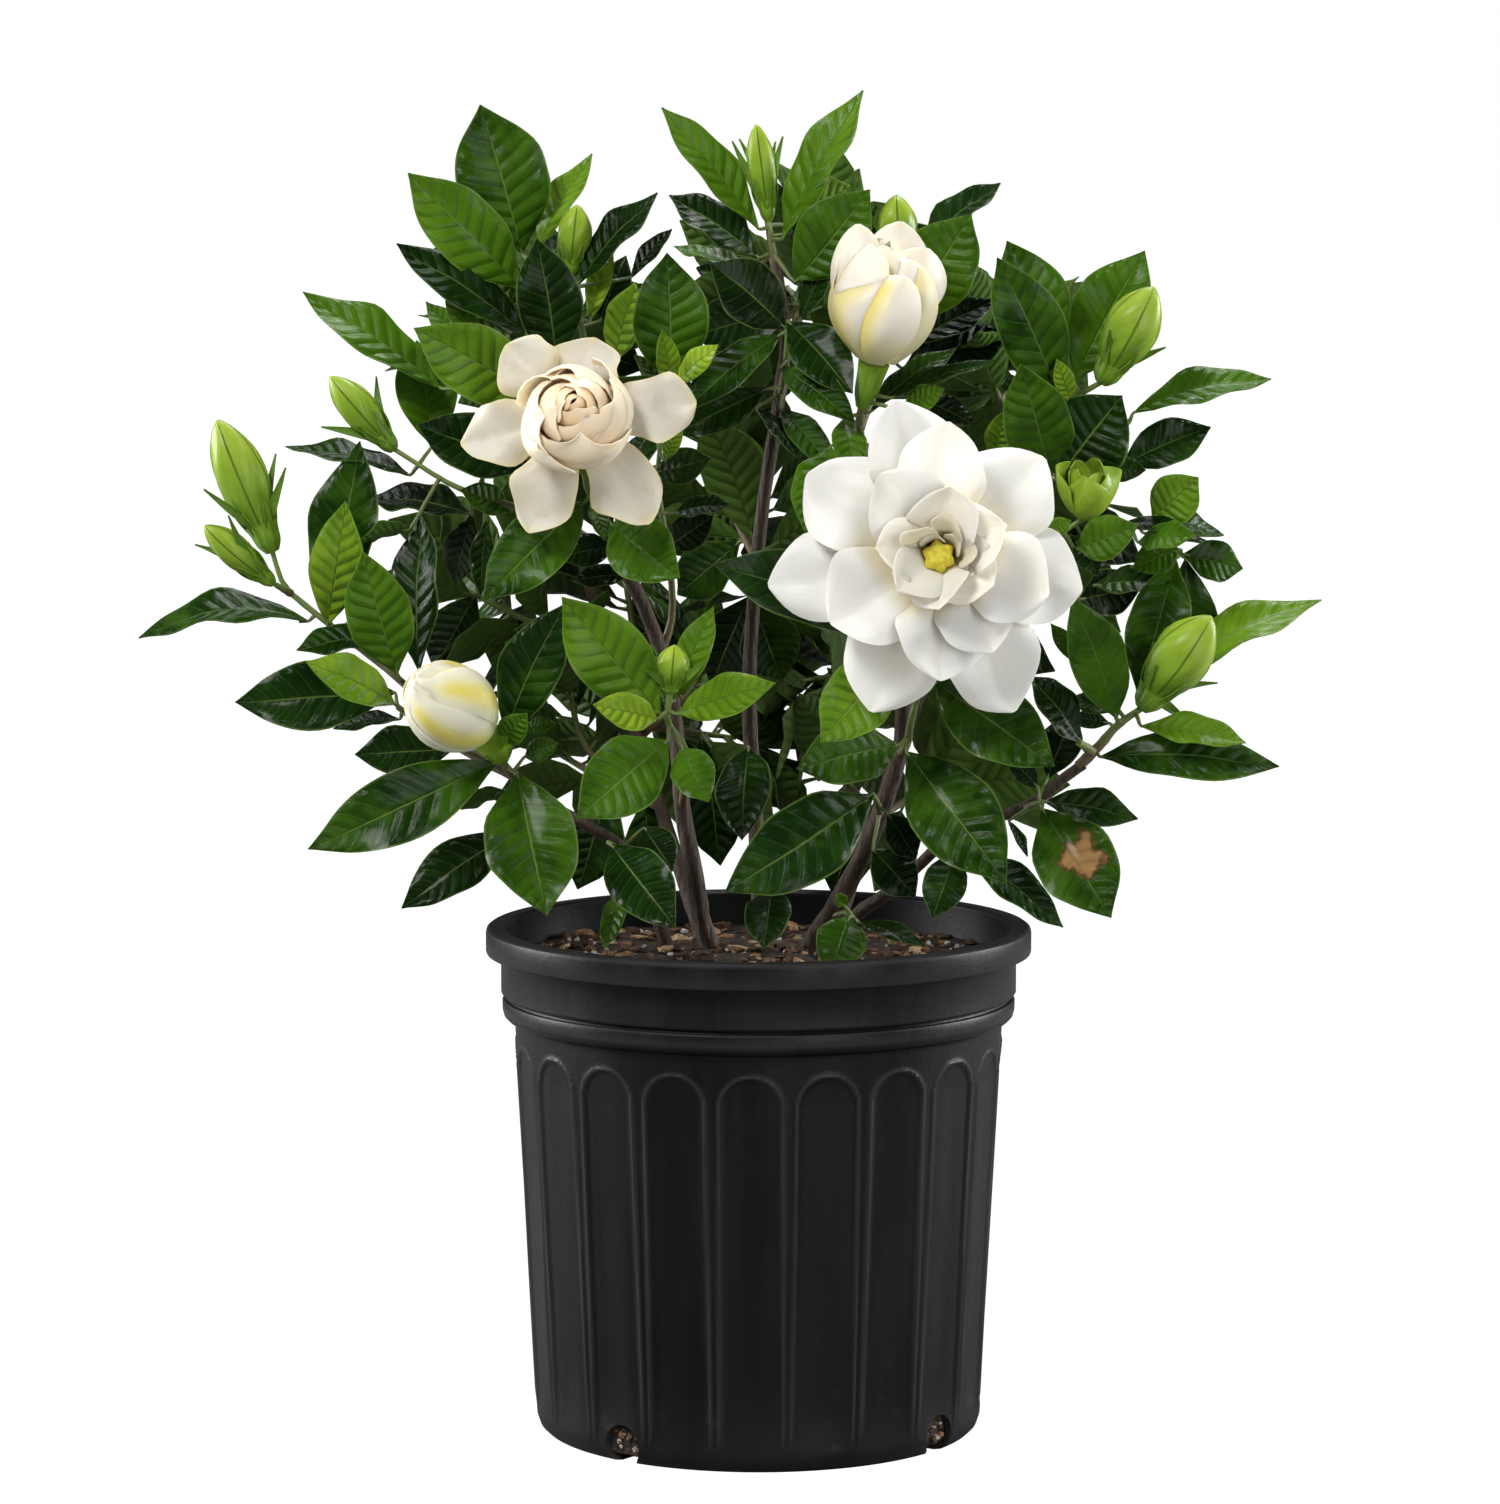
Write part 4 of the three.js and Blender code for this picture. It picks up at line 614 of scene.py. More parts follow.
# Glossy leaf: dark and even when old, yellow-green when young, paler and dull below. Painted shade
# darkens the grooves between the swells of old leaves, and the tone also paints shade on leaves deep
# in the crown and the glow of leaves lit from behind.
# "scorch" is the middle and radius, in metres, of a dry patch.
def makeLeafMaterial(name, s, scorch=None):
    material, tree, shader, coords = newMaterial(name)
    growth = readGrowth(tree)
    under = growth["under"]
    veins = useGroup(tree, leafVeins, {"Blade": readBlade(tree), "Rib Width": 0.05})
    cloud, fine = addMottle(tree, coords, 45.0, 0.3, 0.7)
    drift = timesPlus(tree, growth["chance"], 0.14, timesPlus(tree, cloud, 0.16, -0.14))
    # the leaf's tone with a random drift; the tone also carries painted shade and painted backlight glow
    age = mathNode(tree, "ADD", growth["tone"], drift, clamp=True)
    green = colorRamp(tree, age, s["greens"])
    ribbed = mathNode(tree, "MAXIMUM", times(tree, veins["Midrib"], s["ribShare"]),
                      times(tree, veins["Side Veins"], s["veinShare"]))
    # painted shade: old leaves darken towards the groove colour where the vein height is low
    sunk = times(tree, mapRange(tree, veins["Height"], 0.6, 0.0),
                 mapRange(tree, age, 0.7, 0.2, 0.0, s["grooveShadeShare"]))
    color = mixColors(tree, ribbed, mixColors(tree, sunk, green, s["groove"]), s["vein"])
    color = mixColors(tree, times(tree, veins["Margin"], s["marginShare"]), color, s["vein"])
    color = mixColors(tree, under, color, mixColors(tree, s["underShare"], green, s["under"]))
    rough = timesPlus(tree, cloud, 0.12, timesPlus(tree, under, s["underRough"], s["rough"]))
    if scorch:
        spot, radius = scorch
        away = addNode(tree, "ShaderNodeVectorMath", {0: coords, 1: spot}, operation="DISTANCE").outputs[1]
        ragged = addNoise(tree, coords, 160.0, 3.0)
        edge = timesPlus(tree, ragged, radius * 1.6, away)
        dry = mapRange(tree, edge, radius * 1.75, radius * 1.55)
        core = mapRange(tree, edge, radius * 1.6, radius * 1.35)
        patch = mixColors(tree, core, s["scorchEdge"], s["scorch"])
        patch = mixColors(tree, times(tree, ragged, 0.5), patch, s["scorchEdge"])
        color = mixColors(tree, dry, color, patch)
        rough = mathNode(tree, "MAXIMUM", rough, times(tree, dry, s["scorchRough"]))
    coat = mathNode(tree, "MULTIPLY_ADD", under, -s["coat"], s["coat"], clamp=True)
    tree.links.new(coat, shader.inputs["Coat Weight"])
    finishMaterial(tree, shader, color, rough, timesPlus(tree, fine, 0.12, veins["Height"]), 0.0012, 0.75,
                   coatRough=s["coatRough"], specular=s["specular"])
    return material


twigLook = {
    "colors": [(0.0, (0.06, 0.036, 0.018)), (0.35, (0.11, 0.075, 0.03)), (0.7, (0.1, 0.15, 0.03)),
               (1.0, (0.17, 0.26, 0.05))],
}


# Twigs and leaf stalks: brown at the foot, green at the tip
def makeTwigMaterial(s):
    material, tree, shader, coords = newMaterial("twig")
    cloud, fine = addMottle(tree, coords, 160.0, 0.3, 0.7)
    age = timesPlus(tree, cloud, 0.2, mathNode(tree, "SUBTRACT", readGrowth(tree)["tone"], 0.1))
    finishMaterial(tree, shader, colorRamp(tree, age, s["colors"]), timesPlus(tree, fine, 0.25, 0.42),
                   fine, 0.0004)
    return material


barkLook = {"dark": (0.032, 0.02, 0.012, 1), "light": (0.058, 0.035, 0.019, 1),
            "grey": (0.07, 0.056, 0.041, 1)}


# Woody stem: thin brown bark, streaked along the stem with grey patches
def makeBarkMaterial(s):
    material, tree, shader, coords = newMaterial("bark")
    stretched = addNode(tree, "ShaderNodeMapping", {"Vector": coords, "Scale": (1, 1, 0.16)}).outputs[0]
    fissures, grain = addMottle(tree, stretched, 420.0, 0.35, 0.62, 4.0)
    patches, specks = addMottle(tree, coords, 70.0, 0.5, 0.7)
    color = mixColors(tree, fissures, s["dark"], s["light"])
    color = mixColors(tree, times(tree, patches, 0.45), color, s["grey"])
    finishMaterial(tree, shader, color, timesPlus(tree, grain, 0.3, 0.6),
                   timesPlus(tree, specks, 0.5, fissures), 0.0007)
    return material


budLook = {
    "greens": [(0.0, (0.05, 0.13, 0.01)), (0.45, (0.13, 0.25, 0.015)), (1.0, (0.3, 0.42, 0.03))],
    "pale": (0.4, 0.5, 0.1, 1), "seam": (0.09, 0.16, 0.012, 1), "seams": 5.0, "seamTwist": 0.35,
    "coat": 0.06, "coatRough": 0.25, "specular": 0.22,
}


# Closed bud and sepals: waxy yellow-green with pale streaks, and seams on the body only
def makeBudMaterial(s):
    material, tree, shader, coords = newMaterial("budGreen")
    growth = readGrowth(tree)
    cloud = addMottle(tree, coords, 90.0, 0.3, 0.7)[0]
    age = timesPlus(tree, cloud, 0.16, mathNode(tree, "SUBTRACT", growth["tone"], 0.08))
    blade = readBlade(tree)
    x, y = addNode(tree, "ShaderNodeSeparateXYZ", {0: blade}).outputs[:2]
    beat = mathNode(tree, "FRACT", times(tree, timesPlus(tree, y, s["seamTwist"], x), s["seams"]))
    fromSeam = mathNode(tree, "ABSOLUTE", mathNode(tree, "SUBTRACT", beat, 0.5))
    body = mathNode(tree, "GREATER_THAN", growth["chance"], 0.995)
    seam = times(tree, mapRange(tree, fromSeam, 0.06, 0.0), body)
    stretched = addNode(tree, "ShaderNodeMapping", {"Vector": blade, "Scale": (26, 2, 1)}).outputs[0]
    streaks = addNoise(tree, stretched, 1.0, 2.0)
    green = colorRamp(tree, age, s["greens"])
    green = mixColors(tree, times(tree, mapRange(tree, streaks, 0.5, 0.8), 0.4), green, s["pale"])
    finishMaterial(tree, shader, mixColors(tree, seam, green, s["seam"]),
                   timesPlus(tree, cloud, 0.12, 0.33),
                   timesPlus(tree, seam, -1.0, times(tree, streaks, 0.4)), 0.0005,
                   coat=s["coat"], coatRough=s["coatRough"], specular=s["specular"])
    return material


petalLooks = {
    # on the white petals the slightly darker, greyer "band" is painted shade along each petal
    "white": {"body": (0.78, 0.765, 0.71, 1), "foot": (0.62, 0.46, 0.1, 1), "rim": (0.83, 0.82, 0.74, 1),
              "bruise": (0.75, 0.71, 0.6, 1), "band": (0.76, 0.74, 0.66, 1), "footShare": 0.9,
              "rimShare": 0.5,
              "bruiseShare": 0.3, "bandShare": 0.4, "bandMiddle": 0.55, "bandWidth": 0.3, "warmShare": 0.42},
    "cream": {"body": (0.9, 0.76, 0.55, 1), "foot": (0.96, 0.56, 0.26, 1), "rim": (0.93, 0.84, 0.64, 1),
              "bruise": (0.8, 0.6, 0.38, 1), "band": (0.87, 0.66, 0.42, 1), "footShare": 0.8,
              "rimShare": 0.5,
              "bruiseShare": 0.15, "bandShare": 0.5, "bandMiddle": 0.5, "bandWidth": 0.4, "warmShare": 0.75},
    "spread": {"body": (0.57, 0.53, 0.43, 1), "foot": (0.7, 0.55, 0.37, 1), "rim": (0.7, 0.6, 0.28, 1),
               "bruise": (0.44, 0.29, 0.17, 1), "band": (0.64, 0.6, 0.52, 1), "footShare": 0.5,
               "rimShare": 0.6,
               "bruiseShare": 0.3, "bandShare": 0.5, "bandMiddle": 0.55, "bandWidth": 0.35, "warmShare": 0},
    "opening": {"body": (0.8, 0.73, 0.61, 1), "foot": (0.74, 0.64, 0.2, 1), "rim": (0.84, 0.74, 0.42, 1),
                "bruise": (0.8, 0.7, 0.5, 1), "band": (0.77, 0.6, 0.14, 1), "footShare": 0.6,
                "rimShare": 0.4,
                "bruiseShare": 0.15, "bandShare": 1, "bandMiddle": 0.26, "bandWidth": 0.4, "warmShare": 0.45},
    "yellow": {"body": (0.8, 0.76, 0.56, 1), "foot": (0.62, 0.66, 0.22, 1), "rim": (0.84, 0.8, 0.6, 1),
               "bruise": (0.76, 0.7, 0.4, 1), "band": (0.77, 0.63, 0.13, 1), "footShare": 0.6,
               "rimShare": 0.5,
               "bruiseShare": 0.25, "bandShare": 1, "bandMiddle": 0.66, "bandWidth": 0.3, "warmShare": 0},
}
petalInside = {"inside": 0.4, "insideTint": (1, 0.85, 0.65), "insideDepth": 0.004}


# Waxy petal with fine streaks, a tinted foot and rim, and a few bruises. A tone under 0.5 fades the
# A tone under 0.5 fades the band, and one over it warms the whole petal. On the white petals the band is
# painted shade.
def makePetalMaterial(name, s):
    material, tree, shader, coords = newMaterial(name + "Petal")
    growth = readGrowth(tree)
    tone = growth["tone"]
    streaks = useGroup(tree, petalStreaks, {"Blade": readBlade(tree), "Along": growth["along"],
                                            "Streaks": 26.0,
                                            "Band Middle": s["bandMiddle"], "Band Width": s["bandWidth"]})
    bruises = addMottle(tree, coords, 75.0, 0.56, 0.74)[0]
    band = times(tree, streaks["Band"], mapRange(tree, tone, 0.0, 0.5, 0.0, s["bandShare"]))
    foot = mathNode(tree, "MAXIMUM", times(tree, streaks["Foot"], s["footShare"]),
                    mapRange(tree, tone, 0.5, 1.0, 0.0, s["warmShare"]))
    color = mixColors(tree, foot, mixColors(tree, band, s["body"], s["band"]), s["foot"])
    color = mixColors(tree, times(tree, streaks["Rim"], s["rimShare"]), color, s["rim"])
    color = mixColors(tree, times(tree, bruises, s["bruiseShare"]), color, s["bruise"])
    finishMaterial(tree, shader, color, timesPlus(tree, streaks["Height"], 0.2, 0.4), streaks["Height"],
                   0.0003, 0.35, **petalInside)
    return material


stigmaLook = {"body": (0.62, 0.5, 0.012, 1), "dust": (0.75, 0.68, 0.07, 1)}


def makeStigmaMaterial(s):
    material, tree, shader, coords = newMaterial("stigma")
    cloud, fine = addMottle(tree, coords, 500.0, 0.4, 0.6)
    finishMaterial(tree, shader, mixColors(tree, cloud, s["body"], s["dust"]),
                   timesPlus(tree, cloud, 0.2, 0.5),
                   fine, 0.0004)
    return material


potLook = {
    "plastic": (0.0022, 0.0021, 0.003, 1), "worn": (0.007, 0.0068, 0.008, 1),
    "edge": (0.034, 0.033, 0.037, 1),
    "dust": (0.05, 0.043, 0.035, 1), "dustTop": 0.045, "specular": 0.17,
}


# Satin black plastic: faint flow streaks, scuffs, a lighter colour along the rim ledges and flute lips, and a
# little dried soil low down
def makePotMaterial(s):
    material, tree, shader, coords = newMaterial("potPlastic")
    edges = readGrowth(tree)["tone"]
    height = addNode(tree, "ShaderNodeSeparateXYZ", {0: coords}).outputs[2]
    streaked = addNode(tree, "ShaderNodeMapping", {"Vector": coords, "Scale": (1, 1, 0.12)}).outputs[0]
    flow, grain = addMottle(tree, streaked, 45.0, 0.35, 0.7, 4.0)
    scuffs, specks = addMottle(tree, coords, 55.0, 0.58, 0.72, 5.0)
    color = mixColors(tree, flow, s["plastic"], s["worn"])
    # a lighter colour where the rim ledges and flute lips lie, broken by the grain
    color = mixColors(tree, times(tree, edges, timesPlus(tree, grain, 0.5, 0.45)), color, s["edge"])
    low = mapRange(tree, height, s["dustTop"], 0.0)
    color = mixColors(tree, times(tree, low, timesPlus(tree, scuffs, 0.4, 0.12)), color, s["dust"])
    rough = timesPlus(tree, flow, 0.08, timesPlus(tree, scuffs, 0.1, 0.4))
    finishMaterial(tree, shader, color, rough, timesPlus(tree, flow, 0.6, specks), 0.00018, 0.6,
                   specular=s["specular"])
    return material


soilLook = {"dark": (0.016, 0.009, 0.005, 1), "light": (0.07, 0.04, 0.02, 1)}


def makeSoilMaterial(s):
    material, tree, shader, coords = newMaterial("pottingMix")
    clods, grit = addMottle(tree, coords, 260.0, 0.4, 0.66, 5.0)
    finishMaterial(tree, shader, mixColors(tree, clods, s["dark"], s["light"]),
                   timesPlus(tree, grit, 0.2, 0.75),
                   timesPlus(tree, grit, 0.6, clods), 0.0015)
    return material


chipLook = {
    "colors": [(0.0, (0.03, 0.013, 0.006)), (0.5, (0.13, 0.06, 0.026)), (0.8, (0.32, 0.18, 0.085)),
               (1.0, (0.5, 0.34, 0.19))],
}


# Bark chips: each chip has its own brown, with grain in it
def makeChipMaterial(s):
    material, tree, shader, coords = newMaterial("barkChip")
    grain = addMottle(tree, coords, 400.0, 0.35, 0.65)[0]
    shade = timesPlus(tree, grain, 0.25, mathNode(tree, "SUBTRACT", readGrowth(tree)["tone"], 0.12))
    finishMaterial(tree, shader, colorRamp(tree, shade, s["colors"]), timesPlus(tree, grain, 0.2, 0.7),
                   grain, 0.0006)
    return material


perliteLook = {"pit": (0.42, 0.38, 0.32, 1), "grain": (0.74, 0.72, 0.68, 1)}


def makePerliteMaterial(s):
    material, tree, shader, coords = newMaterial("perlite")
    pits, fine = addMottle(tree, coords, 700.0, 0.35, 0.6)
    finishMaterial(tree, shader, mixColors(tree, pits, s["pit"], s["grain"]),
                   timesPlus(tree, pits, 0.1, 0.85),
                   fine, 0.0006)
    return material


floorLook = {
    "paper": [(0.9, 0.9, 0.9, 1), (0.92, 0.92, 0.92, 1)], "glow": 1.2,
    "dim": [(0.21, 0.21, 0.21, 1), (0.23, 0.23, 0.23, 1)], "rough": 0.85, "specular": 0.1,
}


# The camera sees white paper, and the plant sees a darker one that doesn't light it from below
def makeFloorMaterial(s):
    material, tree, shader, coords = newMaterial("paleFloor")
    cloud, fine = addMottle(tree, coords, 2.0, 0.2, 0.8)
    tree.links.new(mixColors(tree, cloud, *s["dim"]), shader.inputs["Base Color"])
    tree.links.new(timesPlus(tree, fine, 0.1, s["rough"]), shader.inputs["Roughness"])
    shader.inputs["Specular IOR Level"].default_value = s["specular"]
    seen = addNode(tree, "ShaderNodeLightPath").outputs["Is Camera Ray"]
    glow = addNode(tree, "ShaderNodeEmission", {"Color": mixColors(tree, cloud, *s["paper"]),
                                                "Strength": s["glow"]})
    both = addNode(tree, "ShaderNodeMixShader", {0: seen, 1: shader.outputs[0], 2: glow.outputs[0]})
    tree.links.new(both.outputs[0], tree.nodes["Material Output"].inputs[0])
    return material


materials = {
    "leaf": makeLeafMaterial("leaf", leafLook),
    "twig": makeTwigMaterial(twigLook),
    "bark": makeBarkMaterial(barkLook),
    "bud": makeBudMaterial(budLook),
    "stigma": makeStigmaMaterial(stigmaLook),
    "pot": makePotMaterial(potLook),
    "soil": makeSoilMaterial(soilLook),
    "chip": makeChipMaterial(chipLook),
    "perlite": makePerliteMaterial(perliteLook),
    "floor": makeFloorMaterial(floorLook),
}
for name, look in petalLooks.items():
    materials[name] = makePetalMaterial(name, look)
print("materials made")


# Pot: outer and inner walls as (radius, height) in millimetres. "wallLow" and "wallHigh" are the
# first height, step and count of the wall's rings, which stand close where the flutes' arches are.
potSettings = {
    "outer": [(87.5, 0), (90.6, 0.5), (92.6, 2.4), (93.8, 6)],
    "wallLean": 0.0517, "wallFoot": 93.5,
    "collar": [(102.6, 173.6), (103.6, 174.2), (105.6, 174.8), (107, 176.2), (107.6, 178.4), (107.7, 182),
               (107.3, 183), (106, 183.4), (105.6, 184.2), (106, 184.9), (107.6, 185.2), (108.2, 186),
               (108.2, 200.6), (108.6, 201.6), (110, 202), (113.4, 202), (114.2, 202.4), (114.5, 203.2),
               (114.5, 210.8), (114.1, 212.2), (113, 213)],
    "inner": [(107, 213), (105.9, 212.2), (105.8, 211), (105.8, 189), (103.2, 183), (99.6, 160),
              (90.5, 3), (0, 3)],
    "steps": 540, "wallLow": (9, 8, 17), "wallHigh": (138, 1, 36),
    "fluteCount": 20, "fluteFirst": -1.9, "fluteWidth": 25, "fluteTop": 164.8, "fluteBottom": 12,
    "fluteDepth": 1.2,
    "lipWidth": 1.3, "lipHeight": 0.6,
    "brightEdges": [(212.2, 1.4), (203, 1), (185.4, 1), (182.8, 0.8), (178.6, 1.6)],
    "drainCount": 4, "drainFirst": 53, "drainRadius": 8.8, "drainHeight": 7.6, "drainOut": 92,
    "drainLong": 24,
}


# How far a point of the wall is pushed in, or out at a flute's raised edge
def fluteDepthAt(s, angle, radius, height):
    pitch = 360 / s["fluteCount"]
    local = (math.degrees(angle) - s["fluteFirst"] + pitch / 2) % pitch - pitch / 2
    across = abs(math.radians(local)) * radius
    half = s["fluteWidth"] / 2
    archStart = s["fluteTop"] - half
    inside = half - (across if height < archStart else math.hypot(across, height - archStart))
    inside = min(inside, (height - s["fluteBottom"]) * 1.5)
    depth = s["fluteDepth"] * smoothStep(0, 1.8, inside) * (0.55 + 0.45 * smoothStep(0, half, inside))
    lip = smoothStep(s["lipWidth"], 0, abs(inside + 0.6)) if height > s["fluteBottom"] + 4 else 0
    return depth - lip * s["lipHeight"], lip


def makePot(s):
    heights = [first + step * i for first, step, count in (s["wallLow"],
                                                           s["wallHigh"]) for i in range(count)]
    wall = [(s["wallFoot"] + s["wallLean"] * z, z) for z in heights]
    bm, layers = turnProfile([(0, 0), *s["outer"], *wall, *s["collar"], *s["inner"]], s["steps"])
    bright = {}
    for vert in bm.verts:
        radius, z = vert.co.xy.length / millimetre, vert.co.z / millimetre
        bright[vert] = 0
        if radius > s["wallFoot"] + s["wallLean"] * z - 1:
            bright[vert] = max(0.7 * smoothStep(wide, 0, abs(z - edge)) for edge, wide in s["brightEdges"])
            if s["fluteBottom"] - 6 < z < s["fluteTop"] + 4:
                depth, bright[vert] = fluteDepthAt(s, math.atan2(vert.co.x, -vert.co.y), radius, z)
                vert.co.xy *= (radius - depth) / radius
    bmesh.ops.recalc_face_normals(bm, faces=bm.faces)
    for f in bm.faces:
        for loop in f.loops:
            loop[layers["growth"]] = (bright[loop.vert], 0, 0, 0)
    shadeFaces(bm.faces, 0.6)
    piece = finishPiece("nursery_pot", bm, [materials["pot"]], "pot")
    cutDrainHoles(piece, s)


def cutDrainHoles(piece, s):
    bm = newMesh()[0]
    wide = s["drainRadius"] * millimetre
    for i in range(s["drainCount"]):
        angle = math.radians(s["drainFirst"] + 360 / s["drainCount"] * i)
        middle = Vector((math.sin(angle) * s["drainOut"], -math.cos(angle) * s["drainOut"],
                         s["drainHeight"]))
        turn = up.rotation_difference(Vector((middle.x, middle.y, 0))).to_matrix().to_4x4()
        bmesh.ops.create_cone(bm, cap_ends=True, segments=40, radius1=wide, radius2=wide,
                              depth=s["drainLong"] * millimetre,
                              matrix=Matrix.Translation(middle * millimetre) @ turn)
    cutter = addObject("drainCutter", bm)
    hole = piece.modifiers.new("drainHoles", "BOOLEAN")
    hole.operation = "DIFFERENCE"
    hole.solver = "EXACT"
    hole.object = cutter
    shaped = bpy.data.meshes.new_from_object(piece.evaluated_get(bpy.context.evaluated_depsgraph_get()))
    piece.modifiers.clear()
    old, cutterMesh = piece.data, cutter.data
    piece.data = shaped
    bpy.data.objects.remove(cutter)
    for mesh in (old, cutterMesh):
        bpy.data.meshes.remove(mesh)


makePot(potSettings)
print("pot made")

# Potting mix: a bumpy crown, chips of bark and perlite on it, and more behind the drain holes
soilSettings = {
    "profile": [(0, 204), (105.2, 198.6), (105.2, 188.8), (102.7, 183), (99.1, 160), (90.0, 3.5), (0, 3.5)],
    "rings": 30, "steps": 144, "bump": 1.5, "bumpScale": 70, "crownAbove": 0.1985,
    "chips": 620, "chipSizes": [1.8, 2.6, 3.6, 5.2], "perlite": 130, "grainSizes": (0.9, 1.9), "reach": 100,
    "drainChips": 14, "drainOut": 90.5, "drainWidth": 0.06,
}


def soilTopAt(s, x, y):
    radius = math.hypot(x, y) / millimetre
    base = s["profile"][0][1] + (s["profile"][1][1] - s["profile"][0][1]) * radius / s["profile"][1][0]
    fade = smoothStep(105, 98, radius)
    rough = noise.fractal(Vector((x, y, 0)) * s["bumpScale"], 1.0, 2.0, 3)
    return (base + rough * s["bump"] * fade) * millimetre


def makeSoil(s):
    top, edge = s["profile"][:2]
    crown = [(edge[0] * i / s["rings"], top[1]) for i in range(s["rings"] + 1)]
    bm = turnProfile(crown + s["profile"][2:], s["steps"])[0]
    for vert in bm.verts:
        if vert.co.z > s["crownAbove"]:
            vert.co.z = soilTopAt(s, vert.co.x, vert.co.y)
    bmesh.ops.recalc_face_normals(bm, faces=bm.faces)
    shadeFaces(bm.faces, 1.2)
    finishPiece("potting_mix", bm, [materials["soil"]], "soil")


def addChip(bm, layers, rng, middle, size, flat, tone):
    known = set(bm.faces)
    turn = Matrix.Rotation(rng.uniform(0, turnOnce), 4, "Z") @ Matrix.Rotation(rng.uniform(-0.5, 0.5), 4,
                                                                               "X")
    shape = Matrix.Diagonal((size, size * rng.uniform(0.35, 0.7), size * flat * rng.uniform(0.6, 1.2), 1))
    made = bmesh.ops.create_icosphere(bm, subdivisions=1, radius=1,
                                      matrix=Matrix.Translation(middle) @ turn @ shape)
    for vert in made["verts"]:
        vert.co = middle + (vert.co - middle) * rng.uniform(0.7, 1.25)
    for f in bm.faces:
        if f not in known:
            for loop in f.loops:
                loop[layers["growth"]] = (tone, 0, tone, 0)


def scatterChips(s):
    rng = random.Random(7)
    bark, barkLayers = newMesh()
    white, whiteLayers = newMesh()
    for i in range(s["chips"] + s["perlite"]):
        radius = s["reach"] * millimetre * math.sqrt(rng.random())
        angle = rng.uniform(0, turnOnce)
        x, y = radius * math.cos(angle), radius * math.sin(angle)
        ground = soilTopAt(s, x, y)
        if i < s["chips"]:
            size = rng.choice(s["chipSizes"]) * millimetre * rng.uniform(0.8, 1.2)
            addChip(bark, barkLayers, rng, Vector((x, y, ground + size * 0.12)), size, 0.35,
                    rng.random() ** 1.6)
        else:
            size = rng.uniform(*s["grainSizes"]) * millimetre
            addChip(white, whiteLayers, rng, Vector((x, y, ground + size * 0.2)), size, 0.9, rng.random())
    for hole in range(potSettings["drainCount"]):
        base = math.radians(potSettings["drainFirst"] + 360 / potSettings["drainCount"] * hole)
        for i in range(s["drainChips"]):
            angle = base + rng.uniform(-s["drainWidth"], s["drainWidth"])
            middle = Vector((math.sin(angle), -math.cos(angle), 0)) * s["drainOut"] * millimetre
            middle.z = rng.uniform(0.0045, 0.014)
            size = rng.uniform(1.2, 2.4) * millimetre
            if i % 5:
                addChip(bark, barkLayers, rng, middle, size, 0.6, rng.random() ** 1.4)
            else:
                addChip(white, whiteLayers, rng, middle, size * 0.7, 0.9, rng.random())
    finishPiece("bark_chips", bark, [materials["chip"]])
    finishPiece("perlite_grains", white, [materials["perlite"]])


makeSoil(soilSettings)
scatterChips(soilSettings)
print("soil made")

# Woody stems: readings along the middle line, and radii at both ends. A stem stands in the mix by
# "sunk" millimetres.
stemSettings = {"sides": 12, "rings": 34, "swell": 0.12, "nodes": 11, "sunk": 15.5, "soilTop": 202,
                "roughness": 0.00035, "roughScale": 260}
stems = [
    {"name": "stem_left", "radius": (4.6, 2.6), "path": [(-20, 2, 202), (-24, 0, 215), (-27, -4, 235),
        (-32, -6, 262), (-34, -8, 290), (-38, -12, 318), (-47, -20, 345), (-57, -28, 365),
        (-66, -36, 385)]},
    {"name": "stem_right", "radius": (4.8, 2.8), "path": [(21, -4, 202), (30, -10, 217), (40, -18, 235),
        (49, -26, 255), (56, -32, 275), (60, -34, 292), (60, -32, 320), (54, -24, 355), (48, -18, 390),
        (44, -16, 415)]},
    {"name": "stem_side", "radius": (3.2, 2.2), "path": [(33, 10, 202), (40, 2, 216), (52, -6, 225),
        (66, -14, 237), (78, -22, 248), (97, -30, 257), (114, -34, 264), (128, -38, 275), (136, -39, 281)]},
    {"name": "stem_centre", "radius": (4.0, 2.4), "path": [(2, 22, 202), (0, 20, 230), (-2, 14, 272),
        (-4, 8, 310), (-2, 2, 350), (2, -4, 390), (8, -6, 430), (11, -4, 460), (7, 0, 490)]},
    {"name": "stem_low_left", "radius": (3.4, 2.2), "path": [(-38, 14, 202), (-46, 8, 225), (-56, -2, 244),
        (-70, -16, 254), (-86, -34, 263), (-102, -50, 274)]},
    {"name": "stem_back_left", "radius": (3.8, 2.2), "path": [(-22, 40, 202), (-34, 52, 240),
        (-50, 62, 290), (-66, 64, 340), (-80, 60, 390), (-88, 52, 440)]},
    {"name": "stem_back_right", "radius": (3.8, 2.2), "path": [(30, 38, 202), (42, 52, 240), (60, 62, 290),
        (78, 60, 340), (92, 50, 390), (104, 36, 425)]},
]


def makeStem(stem, s):
    points = [place(reading) for reading in stem["path"]]
    points.insert(0, Vector((points[0].x, points[0].y, (s["soilTop"] - s["sunk"]) * millimetre)))
    path = smoothPath(points, s["rings"])
    radii = []
    for i in range(len(path)):
        t = i / (len(path) - 1)
        knot = max(0, math.cos(t * s["nodes"] * turnOnce)) ** 6
        radius = stem["radius"][0] + (stem["radius"][1] - stem["radius"][0]) * t
        radii.append(radius * millimetre * (0.94 + s["swell"] * knot))
    bm, layers = newMesh()
    growTube(bm, layers, path, radii, s["sides"])
    for vert in bm.verts:
        vert.co += noise.noise_vector(vert.co * s["roughScale"]) * s["roughness"]
    finishPiece(stem["name"] + "_bark", bm, [materials["bark"]], stem["name"])


for stem in stems:
    makeStem(stem, stemSettings)
print("stems made")

